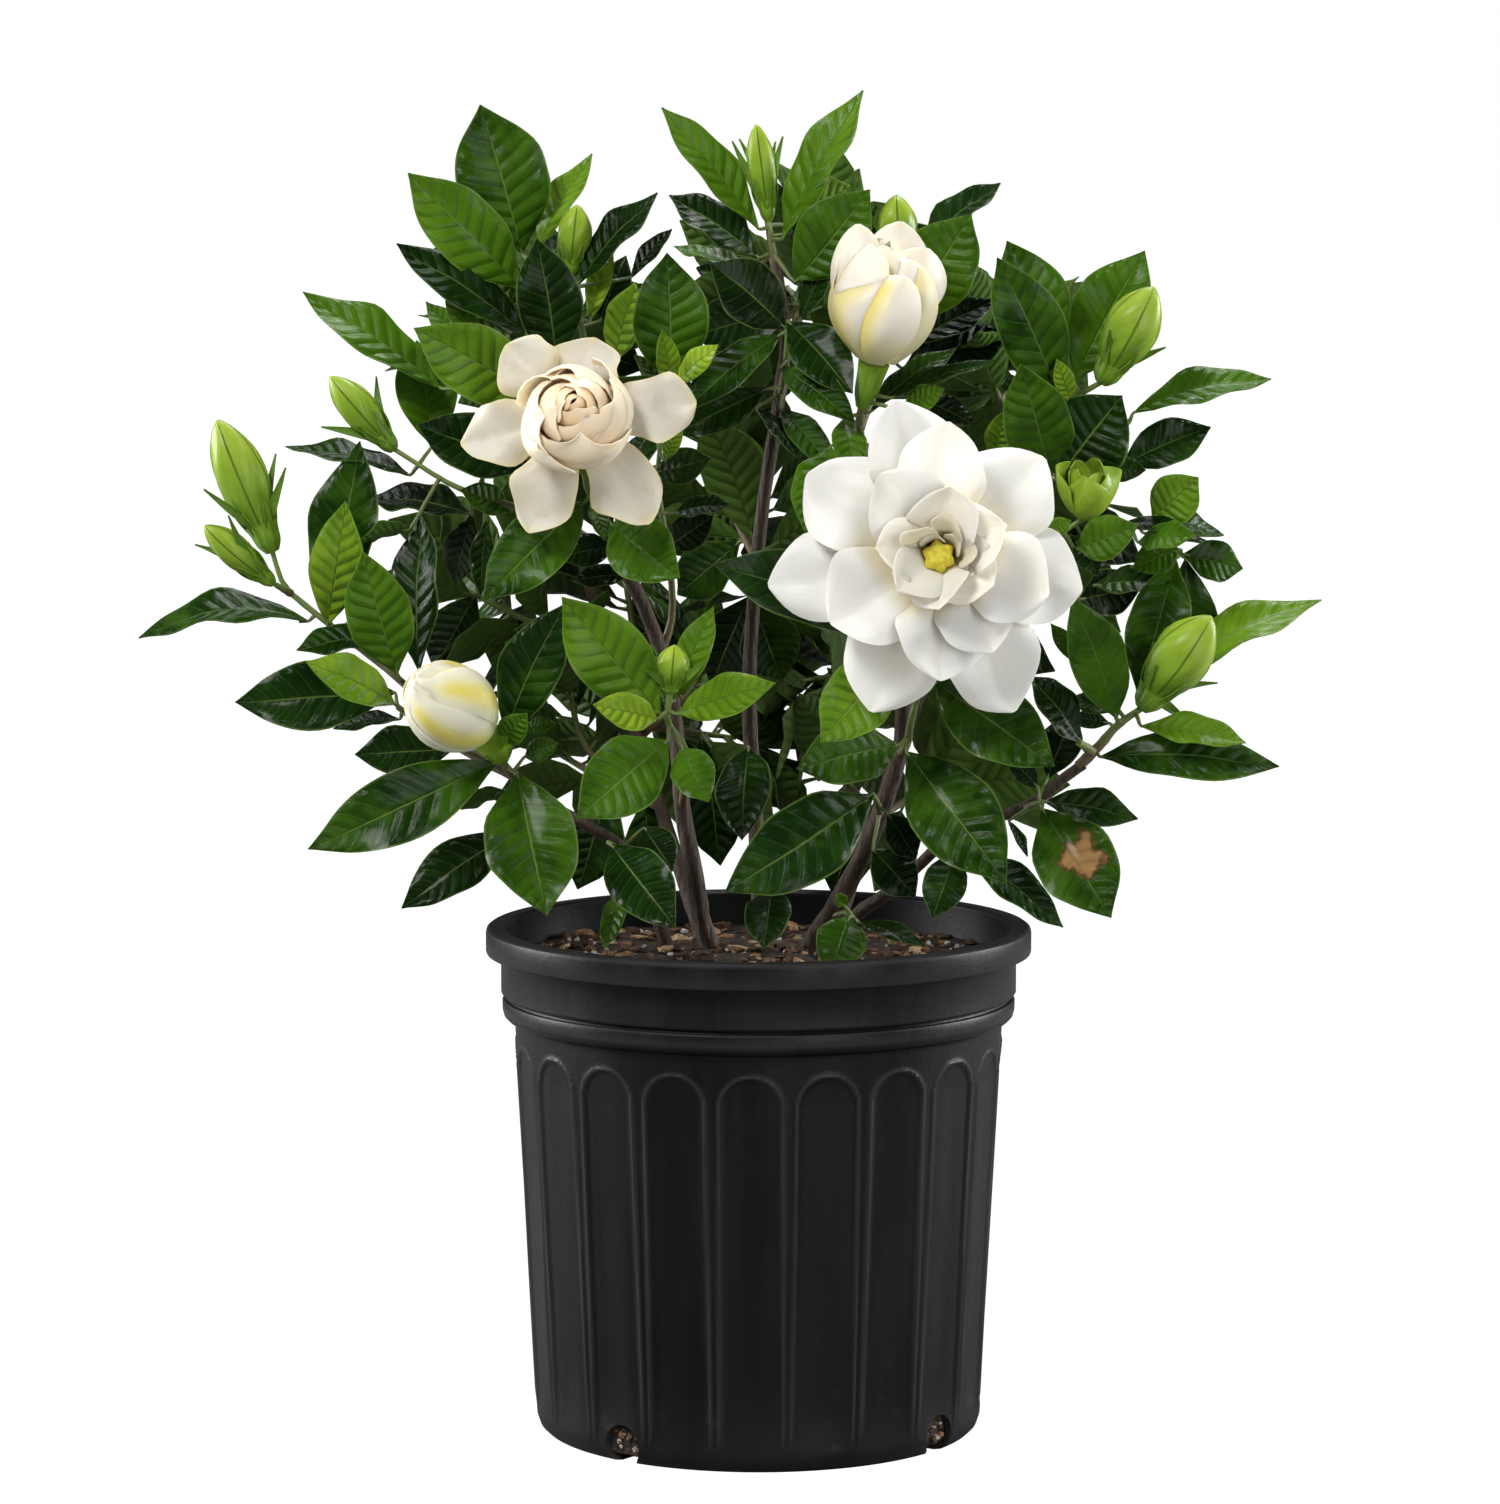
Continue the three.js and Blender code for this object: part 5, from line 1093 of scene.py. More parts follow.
# Leaves. "columns" and "rows" are the grid of one blade: two rows a vein.
largeLeaf = {
    "columns": 8, "rows": 20, "veins": 10, "chevron": 0.16, "tipRows": 0, "outline": leafOutline,
    "point": 0.0002,
    "cup": 0.25, "cupPower": 1.25, "quilt": 0.0007, "wave": 0.14, "waves": 2.2, "arch": 0.045,
    "tipCurl": 0.1,
    "sway": 0.014, "twist": 10, "crease": 0, "rollBack": 0.3, "ragged": 0.03, "thick": 0.00045,
}
smallLeaf = {**largeLeaf, "columns": 6, "rows": 14, "veins": 8, "quilt": 0.0003, "wave": 0.12}
backLeaf = {**largeLeaf, "columns": 4, "rows": 7, "quilt": 0, "wave": 0.12}
shootSettings = {
    "smallUnder": 45, "twigSides": 8, "twigRings": 14, "twigTaper": 0.45, "jointSwell": 1.1,
    "hiddenTwig": 6,
    "stalkRadius": 0.85, "stalkSides": 6, "stalkRings": 6, "stalkTaper": 0.11, "stalkSag": 0.06,
    "stalkInside": 0.004, "stalkLeast": 0.0006,
}
# At the back, lean, length and width of a leaf are given at the foot of the shoot, with their loss
# towards its tip. Leaves start at the share "firstAt" of their twig.
backSettings = {
    **shootSettings, "twigRadius": 1.8, "goldenAngle": 137.5, "partnerTurn": 172, "partnerLower": 0.12,
    "partnerSize": 0.86, "firstAt": 0.4, "lean": (82, 44), "long": (67, 14), "wide": (29, 5), "stalk": 6,
    "arch": 0.06, "farthest": 0.188, "innerTurn": 12, "innerArch": 0.05,
}
# "twigs" are readings along each twig. A leaf is a row of numbers: the readings of its foot and its
# tip, its width in millimetres, its turn about its own length in degrees, its tone from old (0) to
# young (1), which also paints shade on leaves deep in the crown and the glow of leaves lit from
# behind, and, for some, its arch.
shoots = [
    {"name": "shoot_far_left", "radius": 1.8,
     "twigs": [
        [(-104, -46, 276), (-128, -32, 296), (-152, -22, 318), (-172, -14, 334), (-186, -10, 345),
         (-198, -9, 356), (-203, -10, 371)],
        [(-194, -9, 352), (-203, -16, 357)]],
     "leaves": [
        (-188, -10, 341, -259, -20, 334, 24, 62, 0.25, 0.13), (-180, -18, 339, -172, -34, 391, 22, 5, 0.8),
        (-179, -8, 340, -166, -6, 416, 30, 20, 0.2), (-160, -20, 334, -193, -34, 329, 18, 55, 0.2),
        (-151, -30, 319, -165, -52, 370, 27, 5, 0.6), (-142, -20, 320, -141, -10, 386, 24, 30, 0.1)]},
    {"name": "shoot_upper_left", "radius": 1.7,
     "twigs": [
        [(-57, -28, 365), (-78, -24, 380), (-102, -14, 389), (-126, -8, 397), (-152, -6, 413)],
        [(-78, -24, 380), (-90, -26, 405), (-104, -22, 426), (-126, -14, 438)]],
     "leaves": [
        (-145, -2, 402, -197, 10, 414, 20, 70, 0.15), (-120, 0, 386, -163, 14, 393, 24, 60, 0.1),
        (-145, -12, 380, -168, -24, 374, 13, 125, 0.3), (-136, 0, 414, -142, 10, 458, 26, 15, 0.45),
        (-95, -22, 405, -142, -34, 423, 26, 20, 0.1), (-103, -8, 387, -124, -20, 396, 13, 20, 0.35),
        (-113, -2, 384, -116, 6, 352, 11, 20, 0.15), (-119, 10, 386, -127, 32, 357, 16, 10, 0.05),
        (-132, -8, 438, -189, -14, 478, 24, 45, 0.55), (-90, -40, 432, -143, -58, 463, 30, 5, 0.6),
        (-120, 12, 452, -138, 26, 474, 11, 20, 0.5), (-118, -4, 456, -129, -2, 481, 11, 15, 0.65)]},
    {"name": "shoot_top_left", "radius": 1.8,
     "twigs": [
        [(-66, -36, 385), (-68, -26, 420), (-72, -16, 455), (-78, -10, 486)],
        [(-68, -26, 420), (-76, -10, 445), (-86, 2, 466), (-95, 6, 490)]],
     "leaves": [
        (-98, 0, 479, -145, -12, 527, 29, 10, 0.5), (-96, -2, 460, -150, -18, 498, 24, 42, 0.15),
        (-98, 8, 494, -115, -2, 555, 39, 5, 0.35), (-92, 2, 496, -69, 14, 535, 15, 35, 0.75),
        (-84, -18, 448, -92, -32, 500, 27, 10, 0.2), (-75, -14, 481, -42, -16, 519, 20, 48, 0.12),
        (-60, -28, 449, -51, -44, 482, 17, 30, 0.75), (-70, -8, 466, -61, -8, 497, 11, 25, 0.8),
        (-66, 6, 466, -55, 14, 493, 15, 20, 0.1), (-53, -2, 484, -36, -2, 504, 10, 45, 0.1)]},
    {"name": "shoot_upper_centre", "radius": 1.7,
     "twigs": [
        [(-41, -14, 326), (-36, -14, 345), (-38, -22, 372), (-42, -28, 400), (-38, -38, 436)]],
     "leaves": [
        (-37, -40, 440, -38, -54, 494, 31, 5, 0.35), (-37, -50, 438, -40, -68, 462, 10, 20, 0.9),
        (-34, -46, 440, -17, -66, 456, 11, 30, 0.85), (-39, -40, 408, -32, -50, 423, 7, 10, 0.7),
        (-43, -34, 403, -20, -46, 409, 15, 10, 0.25), (-36, -30, 386, -12, -42, 390, 12, 50, 0.1),
        (-38, -24, 372, -19, -34, 385, 15, 10, 0.05)]},
    {"name": "shoot_top_centre", "radius": 2,
     "twigs": [
        [(7, 0, 488), (5, 0, 498), (4, 0, 508)]],
     "leaves": [
        (0, -3, 504, -40, -14, 554, 20, 38, 0.5), (0, 4, 492, -37, 6, 518, 24, 45, 0.1),
        (10, -4, 500, 43, -12, 561, 23, 42, 0.55), (15, -9, 482, 46, -22, 520, 30, 5, 0.4),
        (13, 8, 506, 38, 20, 522, 24, 118, 0.8), (15, 0, 502, 22, 0, 527, 14, 25, 0.3),
        (-3, 12, 486, -35, 26, 497, 14, 62, 0.35)]},
    {"name": "shoot_inner_centre", "radius": 1.8,
     "twigs": [
        [(8, -6, 430), (11, -10, 446), (12, -16, 462)]],
     "leaves": [
        (11, -16, 463, -20, -30, 490, 27, 20, 0.12), (10, -22, 461, -33, -42, 428, 19, 35, 0.3),
        (4, -14, 438, -36, -24, 419, 18, 20, 0.1), (17, -10, 466, 32, -8, 496, 13, 30, 0.12),
        (12, -20, 466, 39, -42, 436, 23, 15, 0.15), (9, -18, 447, 40, -54, 424, 17, 30, 0.25),
        (9, -14, 430, 31, -38, 404, 14, 25, 0.25), (-1, -12, 430, 17, -30, 409, 11, 50, 0.12)]},
    {"name": "shoot_opening_bud", "radius": 2.2, "calyx": {"from": (43, -31, 430), "to": (48, -38, 449),
                                                           "wide": 12},
     "twigs": [
        [(46, -17, 404), (42, -26, 420), (44, -34, 436), (48, -38, 449)],
        [(42, -26, 420), (48, -14, 440), (56, -2, 466), (58, 2, 490)]],
     "leaves": [
        (46, -30, 428, 82, -14, 455, 14, 50, 0.25), (55, -34, 434, 98, -38, 450, 11, 60, 0.3),
        (60, -34, 429, 77, -44, 438, 11, 20, 0.6), (36, -34, 426, 40, -66, 402, 14, 10, 0.5),
        (30, -32, 414, 20, -64, 377, 22, 10, 0.55), (66, -26, 434, 90, -32, 423, 13, 30, 0.1),
        (66, -10, 494, 100, -14, 523, 24, 62, 0.2), (62, -10, 466, 88, -26, 510, 33, 8, 0.45),
        (62, 2, 456, 98, 10, 475, 18, 38, 0.1), (60, 0, 446, 104, 12, 461, 24, 20, 0.05)]},
    {"name": "shoot_upper_right", "radius": 1.9,
     "twigs": [
        [(54, -24, 355), (80, -18, 385), (104, -16, 412), (122, -18, 430), (136, -19, 437), (143, -22, 441)]],
     "leaves": [
        (125, -28, 434, 99, -48, 492, 28, 5, 0.3), (123, -12, 448, 103, -22, 499, 30, 12, 0.35),
        (131, -8, 441, 160, -2, 495, 31, 12, 0.55), (122, -30, 402, 109, -66, 448, 28, 0, 0.45),
        (130, -28, 432, 124, -40, 450, 9, 10, 0.85), (98, -26, 408, 103, -44, 429, 12, 15, 0.75)]},
    {"name": "shoot_right", "radius": 1.7,
     "twigs": [
        [(94, -17, 402), (106, -15, 400), (118, -14, 400), (136, -8, 408), (154, -4, 424)]],
     "leaves": [
        (156, -4, 428, 213, -12, 442, 22, 55, 0.4, 0.07), (124, -18, 400, 151, -34, 435, 37, 10, 0.15),
        (151, -2, 406, 188, 2, 422, 20, 18, 0.2), (143, -10, 404, 161, -20, 404, 11, 20, 0.2)]},
    {"name": "shoot_right_tips", "radius": 1.7,
     "twigs": [
        [(60, -32, 320), (86, -34, 348), (112, -34, 368), (137, -34, 385)],
        [(86, -34, 348), (112, -22, 358), (140, -12, 372), (163, -12, 384)]],
     "leaves": [
        (137, -36, 385, 129, -52, 408, 15, 20, 0.95), (138, -42, 386, 137, -70, 404, 11, 10, 1),
        (139, -38, 386, 147, -52, 399, 12, 15, 0.9), (138, -34, 388, 143, -40, 410, 12, 20, 0.9),
        (132, -38, 371, 158, -56, 381, 18, 12, 0.55), (134, -32, 378, 141, -40, 360, 15, 20, 0.2),
        (120, -38, 378, 130, -48, 383, 8, 15, 0.7), (164, -14, 384, 183, -24, 401, 21, 10, 0.7),
        (162, -8, 384, 194, -6, 377, 16, 62, 0.35), (152, -16, 382, 184, -26, 377, 14, 60, 0.1),
        (160, -4, 378, 191, 8, 373, 7, 60, 0.1), (158, -18, 374, 182, -46, 377, 14, 45, 0.4)]},
    {"name": "shoot_right_rosette", "radius": 1.7,
     "twigs": [
        [(78, 60, 340), (110, 40, 346), (140, 20, 354), (162, 4, 362), (176, -6, 369)]],
     "leaves": [
        (177, -8, 369, 202, -4, 363, 18, 20, 0.3), (176, -10, 371, 156, -16, 363, 15, 20, 0.45),
        (174, -12, 367, 158, -36, 312, 25, 5, 0.35), (178, -4, 367, 178, -4, 314, 25, 10, 0.2),
        (140, 2, 356, 172, -20, 357, 16, 50, 0.3), (134, 12, 350, 160, 0, 356, 20, 15, 0.05)]},
    {"name": "shoot_low_right", "radius": 2.4,
     "twigs": [
        [(134, -39, 280), (143, -41, 289), (150, -42, 297), (161, -44, 305)],
        [(140, -40, 286), (137, -48, 288), (134, -54, 290)]],
     "leaves": [
        (164, -26, 312, 235, -12, 350, 25, 55, 0.65, 0.08), (150, -48, 300, 131, -72, 351, 24, 12, 0.45),
        (143, -44, 284, 218, -60, 280, 24, 35, 0.3, 0.05), (160, -50, 297, 204, -70, 290, 17, 48, 0.65),
        (148, -36, 303, 130, -34, 309, 10, 35, 0.2), (147, -40, 298, 131, -30, 301, 8, 20, 0.15),
        (136, -44, 322, 122, -40, 340, 8, 10, 0.6), (135, -54, 290, 114, -66, 318, 20, 42, 0.12)]},
    {"name": "shoot_spotted_leaf", "radius": 1.8,
     "twigs": [
        [(111, -33, 262), (116, -40, 264), (119, -46, 265)]],
     "leaves": [
        (120, -46, 265, 159, -54, 258, 18, 40, 0.15), (119, -50, 262, 148, -76, 216, 33, 5, 0.3),
        (117, -42, 271, 104, -48, 285, 10, 20, 0.05), (121, -34, 275, 132, -28, 302, 18, 20, 0.03),
        (105, -34, 257, 113, -42, 242, 6, 50, 0.1)]},
    {"name": "shoot_front_right", "radius": 2,
     "twigs": [
        [(59, -33, 285), (62, -46, 289), (64, -56, 300), (68, -64, 314)]],
     "leaves": [
        (73, -66, 316, 124, -90, 280, 31, 12, 0.3), (62, -54, 286, 104, -86, 231, 35, 5, 0.25),
        (59, -54, 289, 16, -86, 279, 26, 22, 0.3), (56, -70, 326, 26, -98, 290, 28, 5, 0.65)]},
    {"name": "shoot_front_centre", "radius": 1.8,
     "twigs": [
        [(51, -28, 259), (50, -44, 264), (48, -54, 268)]],
     "leaves": [
        (48, -54, 268, -14, -108, 227, 33, 5, 0.2), (54, -44, 260, 66, -44, 241, 15, 15, 0.1),
        (48, -38, 245, 66, -46, 225, 19, 15, 0.05)]},
    {"name": "shoot_side_low", "radius": 1.5,
     "twigs": [
        [(78, -22, 248), (81, -36, 248), (83, -46, 246)]],
     "leaves": [
        (84, -42, 244, 128, -58, 212, 20, 48, 0.2), (83, -52, 244, 73, -66, 216, 18, 5, 0.25)]},
    {"name": "shoot_pot_right", "radius": 1.5,
     "twigs": [
        [(30, -10, 216), (36, -22, 218), (39, -34, 217)]],
     "leaves": [
        (38, -40, 216, 31, -72, 192, 21, 5, 0.4), (42, -32, 214, 70, -52, 204, 10, 50, 0.2),
        (36, -40, 221, 33, -50, 226, 6, 10, 0.7)]},
    {"name": "shoot_pot_centre", "radius": 1.6,
     "twigs": [
        [(0, 20, 232), (3, 0, 234), (6, -20, 230)]],
     "leaves": [
        (6, -28, 228, 2, -70, 203, 19, 10, 0.12), (-4, -16, 288, -7, -62, 249, 23, 12, 0.12)]},
    {"name": "shoot_front_bud", "radius": 2,
     "twigs": [
        [(-32, -6, 262), (-30, -30, 282), (-33, -60, 291), (-38, -88, 299), (-37, -96, 311)]],
     "leaves": [
        (-41, -94, 302, -82, -112, 351, 30, 5, 0.6), (-42, -98, 300, -69, -122, 306, 15, 20, 0.85),
        (-34, -94, 302, 7, -120, 315, 18, 28, 0.7), (-38, -88, 291, -76, -122, 258, 30, 5, 0.45),
        (-32, -86, 288, -21, -110, 265, 18, 5, 0.4), (-35, -90, 308, -19, -92, 347, 14, 10, 0.65),
        (-39, -88, 306, -49, -90, 334, 9, 35, 0.5)]},
    {"name": "shoot_ball_bud", "radius": 2.2, "calyx": {"from": (-107, -56, 283), "to": (-112, -64, 291),
                                                        "wide": 15},
     "twigs": [
        [(-98, -46, 271), (-106, -54, 280), (-112, -62, 291)],
        [(-103, -50, 277), (-122, -42, 286), (-140, -34, 297), (-151, -30, 305)]],
     "leaves": [
        (-101, -60, 277, -89, -88, 217, 38, 5, 0.3), (-109, -62, 282, -189, -84, 245, 29, 12, 0.25),
        (-106, -58, 294, -81, -74, 348, 26, 15, 0.2), (-108, -60, 290, -97, -78, 302, 12, 5, 0.6),
        (-98, -50, 296, -85, -56, 298, 7, 10, 0.5), (-98, -48, 284, -84, -60, 290, 10, 15, 0.3),
        (-152, -28, 311, -219, -36, 307, 29, 20, 0.15), (-152, -44, 306, -189, -62, 324, 20, 35, 0.7),
        (-150, -26, 300, -178, -26, 296, 12, 62, 0.2), (-128, -44, 287, -169, -50, 285, 22, 25, 0.1)]},
    {"name": "shoot_low_left", "radius": 1.6,
     "twigs": [
        [(-86, -34, 263), (-94, -28, 260), (-102, -22, 256)]],
     "leaves": [
        (-103, -22, 252, -150, -40, 220, 23, 25, 0.15), (-106, -16, 270, -125, -14, 262, 12, 130, 0.3)]},
    {"name": "shoot_pot_left", "radius": 1.5,
     "twigs": [
        [(-56, -2, 244), (-60, -16, 246), (-63, -28, 248)]],
     "leaves": [
        (-62, -32, 247, -35, -72, 212, 26, 8, 0.15), (-57, -14, 228, -65, -44, 203, 10, 20, 0.55),
        (-48, -10, 254, -36, -34, 236, 17, 10, 0.05)]},
    {"name": "shoot_cream_flower", "radius": 2, "calyx": {"from": (-73, -54, 404),
                                                          "to": (-76, -69.3, 426), "wide": 12},
     "twigs": [
        [(-61, -32, 375), (-66, -43, 388), (-71, -50, 396), (-73, -54, 404)]],
     "leaves": [
        (-72, -50, 391, -115, -76, 350, 27, 8, 0.3), (-62, -48, 382, -33, -76, 359, 27, 5, 0.4),
        (-70, -52, 391, -64, -64, 375, 8, 30, 0.35), (-60, -36, 372, -84, -44, 368, 15, 25, 0.2),
        (-54, -32, 360, -78, -34, 358, 11, 35, 0.1)]},
    {"name": "shoot_white_flower", "radius": 2.4, "calyx": {"from": (75, -71, 362),
                                                            "to": (75, -92.3, 368), "wide": 13},
     "twigs": [
        [(60, -32, 322), (66, -48, 340), (72, -62, 355), (75, -72, 363)]],
     "leaves": [
        (58, -54, 340, -19, -86, 365, 30, 22, 0.25)]},
]
backShoots = [
    {"name": "back_shoot_low_left", "leaves": 12, "turn": 20, "twigs": [
        [(-41, 57, 262), (-78, 88, 282), (-106, 100, 300)],
        [(-58, 70, 271), (-74, 78, 292), (-80, 76, 318)],
        [(-60, 72, 272), (-58, 112, 288), (-62, 142, 306)]]},
    {"name": "back_shoot_centre_left", "leaves": 16, "turn": 70, "twigs": [
        [(-50, 62, 290), (-44, 95, 300), (-34, 128, 314)],
        [(-45, 92, 299), (-54, 104, 348), (-60, 112, 392)],
        [(-47, 78, 295), (-28, 82, 312), (-18, 80, 340)],
        [(-46, 86, 297), (-26, 94, 294), (-10, 100, 292)]]},
    {"name": "back_shoot_left", "leaves": 10, "turn": 150, "twigs": [
        [(-62, 64, 328), (-98, 76, 342), (-126, 80, 356)],
        [(-84, 72, 337), (-98, 106, 356), (-104, 128, 374)]]},
    {"name": "back_shoot_upper_left", "leaves": 10, "turn": 200, "twigs": [
        [(-88, 52, 439), (-94, 50, 455), (-98, 46, 472)],
        [(-90, 51, 444), (-84, 82, 452), (-80, 106, 462)]]},
    {"name": "back_shoot_inner", "leaves": 11, "turn": 250, "twigs": [
        [(-2, 2, 350), (0, 32, 372), (2, 70, 396)], [(-1, 22, 366), (-16, 48, 398), (-24, 62, 430)]]},
    {"name": "back_shoot_low_right", "leaves": 12, "turn": 300, "twigs": [
        [(47, 56, 256), (68, 92, 270), (86, 116, 284)], [(50, 62, 258), (36, 84, 274), (22, 92, 286)],
        [(60, 82, 266), (76, 118, 284), (72, 138, 304)]]},
    {"name": "back_shoot_centre_right", "leaves": 15, "turn": 340, "twigs": [
        [(66, 62, 306), (58, 98, 326), (42, 124, 340)], [(63, 76, 313), (40, 82, 318), (16, 80, 316)],
        [(60, 90, 321), (74, 112, 350), (80, 124, 378)]]},
    {"name": "back_shoot_right", "leaves": 10, "turn": 30, "twigs": [
        [(84, 56, 362), (104, 78, 378), (122, 88, 392)], [(92, 66, 369), (92, 98, 390), (94, 122, 404)]]},
    {"name": "back_shoot_upper_right", "leaves": 9, "turn": 90, "twigs": [
        [(104, 36, 424), (98, 42, 438), (88, 48, 454)], [(100, 40, 433), (110, 66, 440), (112, 88, 452)]]},
    {"name": "back_shoot_top", "leaves": 9, "turn": 160, "twigs": [
        [(11, -5, 455), (20, 24, 474), (26, 40, 494)], [(16, 12, 466), (16, 44, 472), (12, 72, 480)]]},
]


def twigPaths(twigs, s):
    paths = []
    for twig in twigs:
        points = [place(reading) for reading in twig]
        if paths:
            points[0] = nearestOn(paths[0], points[0])
        paths.append(smoothPath(points, s["twigRings"]))
    return paths


def addTwig(bm, layers, path, radius, s):
    last = len(path) - 1
    radii = [radius * millimetre * (1 - s["twigTaper"] * i / last) * (s["jointSwell"] if i % 4 == 2 else 1)
             for i in range(last + 1)]
    growTube(bm, layers, path, radii, s["twigSides"], growth=((0.25, 0.5), (0.95, 0.5)), material=1)


# A leaf stalk from its twig into the foot of the blade
def addStalk(bm, layers, root, foot, ahead, s, tone):
    if (foot - root).length < s["stalkLeast"]:
        return
    inside = foot + ahead * s["stalkInside"]
    middle = (root + foot) / 2 + (foot - root).length * s["stalkSag"] * front
    path = smoothPath([root, middle, foot, inside], s["stalkRings"])
    radii = [s["stalkRadius"] * millimetre * (1.25 - s["stalkTaper"] * i) for i in range(len(path))]
    growTube(bm, layers, path, radii, s["stalkSides"], growth=((0.6, 0.5), (tone, 0.5)), material=1)


def addLeaf(bm, layers, start, end, face, wide, root, arch, tone, seed, s, style=None):
    style = style or (smallLeaf if (end - start).length < s["smallUnder"] * millimetre else largeLeaf)
    style = {**style, "arch": arch}
    addBlade(bm, layers, start, end, face, wide * millimetre, style, tone=tone, seed=seed)
    addStalk(bm, layers, root, start, (end - start).normalized(), s, 0.65 + 0.3 * tone)


calyxSettings = {
    "shape": [(0, 0.4), (0.3, 0.72), (0.7, 0.86), (1, 1)], "rings": 8, "sides": 24, "ridges": 6,
    "ridgeDepth": 0.1, "twist": 0,
}


# The ribbed green cup under a flower bud
def addCalyx(bm, layers, foot, top, wide, material):
    addSpindle(bm, layers, foot, top, wide, calyxSettings, ((0.35, 0.0), (0.5, 0.0)), material)


# The young leaves at the tip of one right-hand shoot still stand folded together
leafBud = {
    "shoot": "shoot_right_tips", "youngest": 0.9, "tone": 0.75, "foot": (136.5, -40, 384),
    "tip": (137, -46, 410),
    "wraps": [
        {"petals": [(250, 0.86, 1), (330, 0.95, 1), (170, 1, 1), (60, 0.95, 1)],
         "radius": [(0, 2), (0.25, 6.5), (0.55, 10), (0.8, 11), (1, 9.6)],
         "height": [(0, 0), (0.25, 4), (0.55, 11), (0.8, 18), (1, 24)],
         "span": [(0, 120), (0.5, 112), (0.8, 100), (1, 40)], "spiral": 0.24, "twist": 14, "shoulder": 0.3,
         "wave": 2.4, "bulge": 0.05},
        {"petals": [(290, 0.9, 1), (110, 1, 1), (200, 0.95, 1)],
         "radius": [(0, 1), (0.25, 4), (0.55, 6), (0.8, 6.4), (1, 5.6)],
         "height": [(0, 1), (0.25, 6), (0.55, 13), (0.8, 19), (1, 23)],
         "span": [(0, 130), (0.5, 130), (0.8, 100), (1, 40)], "spiral": 0.2, "twist": 20, "shoulder": 0.2,
         "wave": 0.5, "bulge": 0.05},
    ],
}


scorchSettings = {"shoot": "shoot_spotted_leaf", "spot": (136, -64, 242), "radius": 11}


def makeShoot(shoot, seed, s):
    bm, layers = newMesh()
    paths = twigPaths(shoot["twigs"], s)
    for path in paths:
        addTwig(bm, layers, path, shoot["radius"], s)
    seen = []
    for path in paths:
        fine = smoothPath(path, len(path) * 4)
        seen += [spot for spot in fine if (spot - path[0]).length > s["hiddenTwig"] * millimetre]
    if "calyx" in shoot:
        calyx = shoot["calyx"]
        addCalyx(bm, layers, place(calyx["from"]), place(calyx["to"]), calyx["wide"], 2)
    folded = shoot["name"] == leafBud["shoot"]
    if folded:
        foot, tip = place(leafBud["foot"]), place(leafBud["tip"])
        axis = (tip - foot).normalized()
        addWraps(bm, layers, foot, axis, squareTo(axis, right), leafBud["wraps"], 8200,
                 tone=leafBud["tone"],
                 material=2)
    for i, leaf in enumerate(shoot["leaves"]):
        wide, turn, tone = leaf[6:9]
        if folded and tone >= leafBud["youngest"]:
            continue
        start, end = place(leaf[:3]), place(leaf[3:6])
        arch = leaf[9] if len(leaf) > 9 else largeLeaf["arch"]
        addLeaf(bm, layers, start, end, bladeFacing(start, end, turn), wide, nearestOn(seen, start), arch,
                tone, seed * 50 + i, s)
    leafMaterial = materials["leaf"]
    if shoot["name"] == scorchSettings["shoot"]:
        spot = place(scorchSettings["spot"])
        leafMaterial = makeLeafMaterial("scorchedLeaf", leafLook,
                                        (spot, scorchSettings["radius"] * millimetre))
    finishPiece(shoot["name"] + "_leaves", bm, [leafMaterial, materials["twig"], materials["bud"]],
                shoot["name"])


# Single leaves that close the view between the stems: foot, tip and width of each
innerLeaves = {
    "back_shoot_inner": [((-3, 12, 350), (10, 34, 316), 27), ((-4, 14, 351), (-20, 40, 314), 27),
                         ((-8, 34, 374), (-34, 56, 352), 24)],
    "back_shoot_centre_left": [((-24, 94, 292), (-16, 104, 238), 28)],
    "back_shoot_low_left": [((-62, 74, 272), (-76, 76, 228), 28), ((-48, 64, 266), (-46, 76, 224), 24)],
    "back_shoot_left": [((-118, 80, 352), (-136, 84, 320), 24)],
    "back_shoot_centre_right": [((72, 108, 346), (124, 104, 320), 27)],
    "back_shoot_right": [((118, 86, 390), (160, 84, 366), 24)],
    "back_shoot_low_right": [((44, 74, 266), (31, 88, 226), 25)],
    "back_shoot_upper_left": [((-82, 98, 459), (-48, 94, 446), 24)],
    "back_shoot_top": [((14, 30, 470), (-28, 48, 460), 26), ((14, 50, 475), (-26, 60, 488), 22)],
}


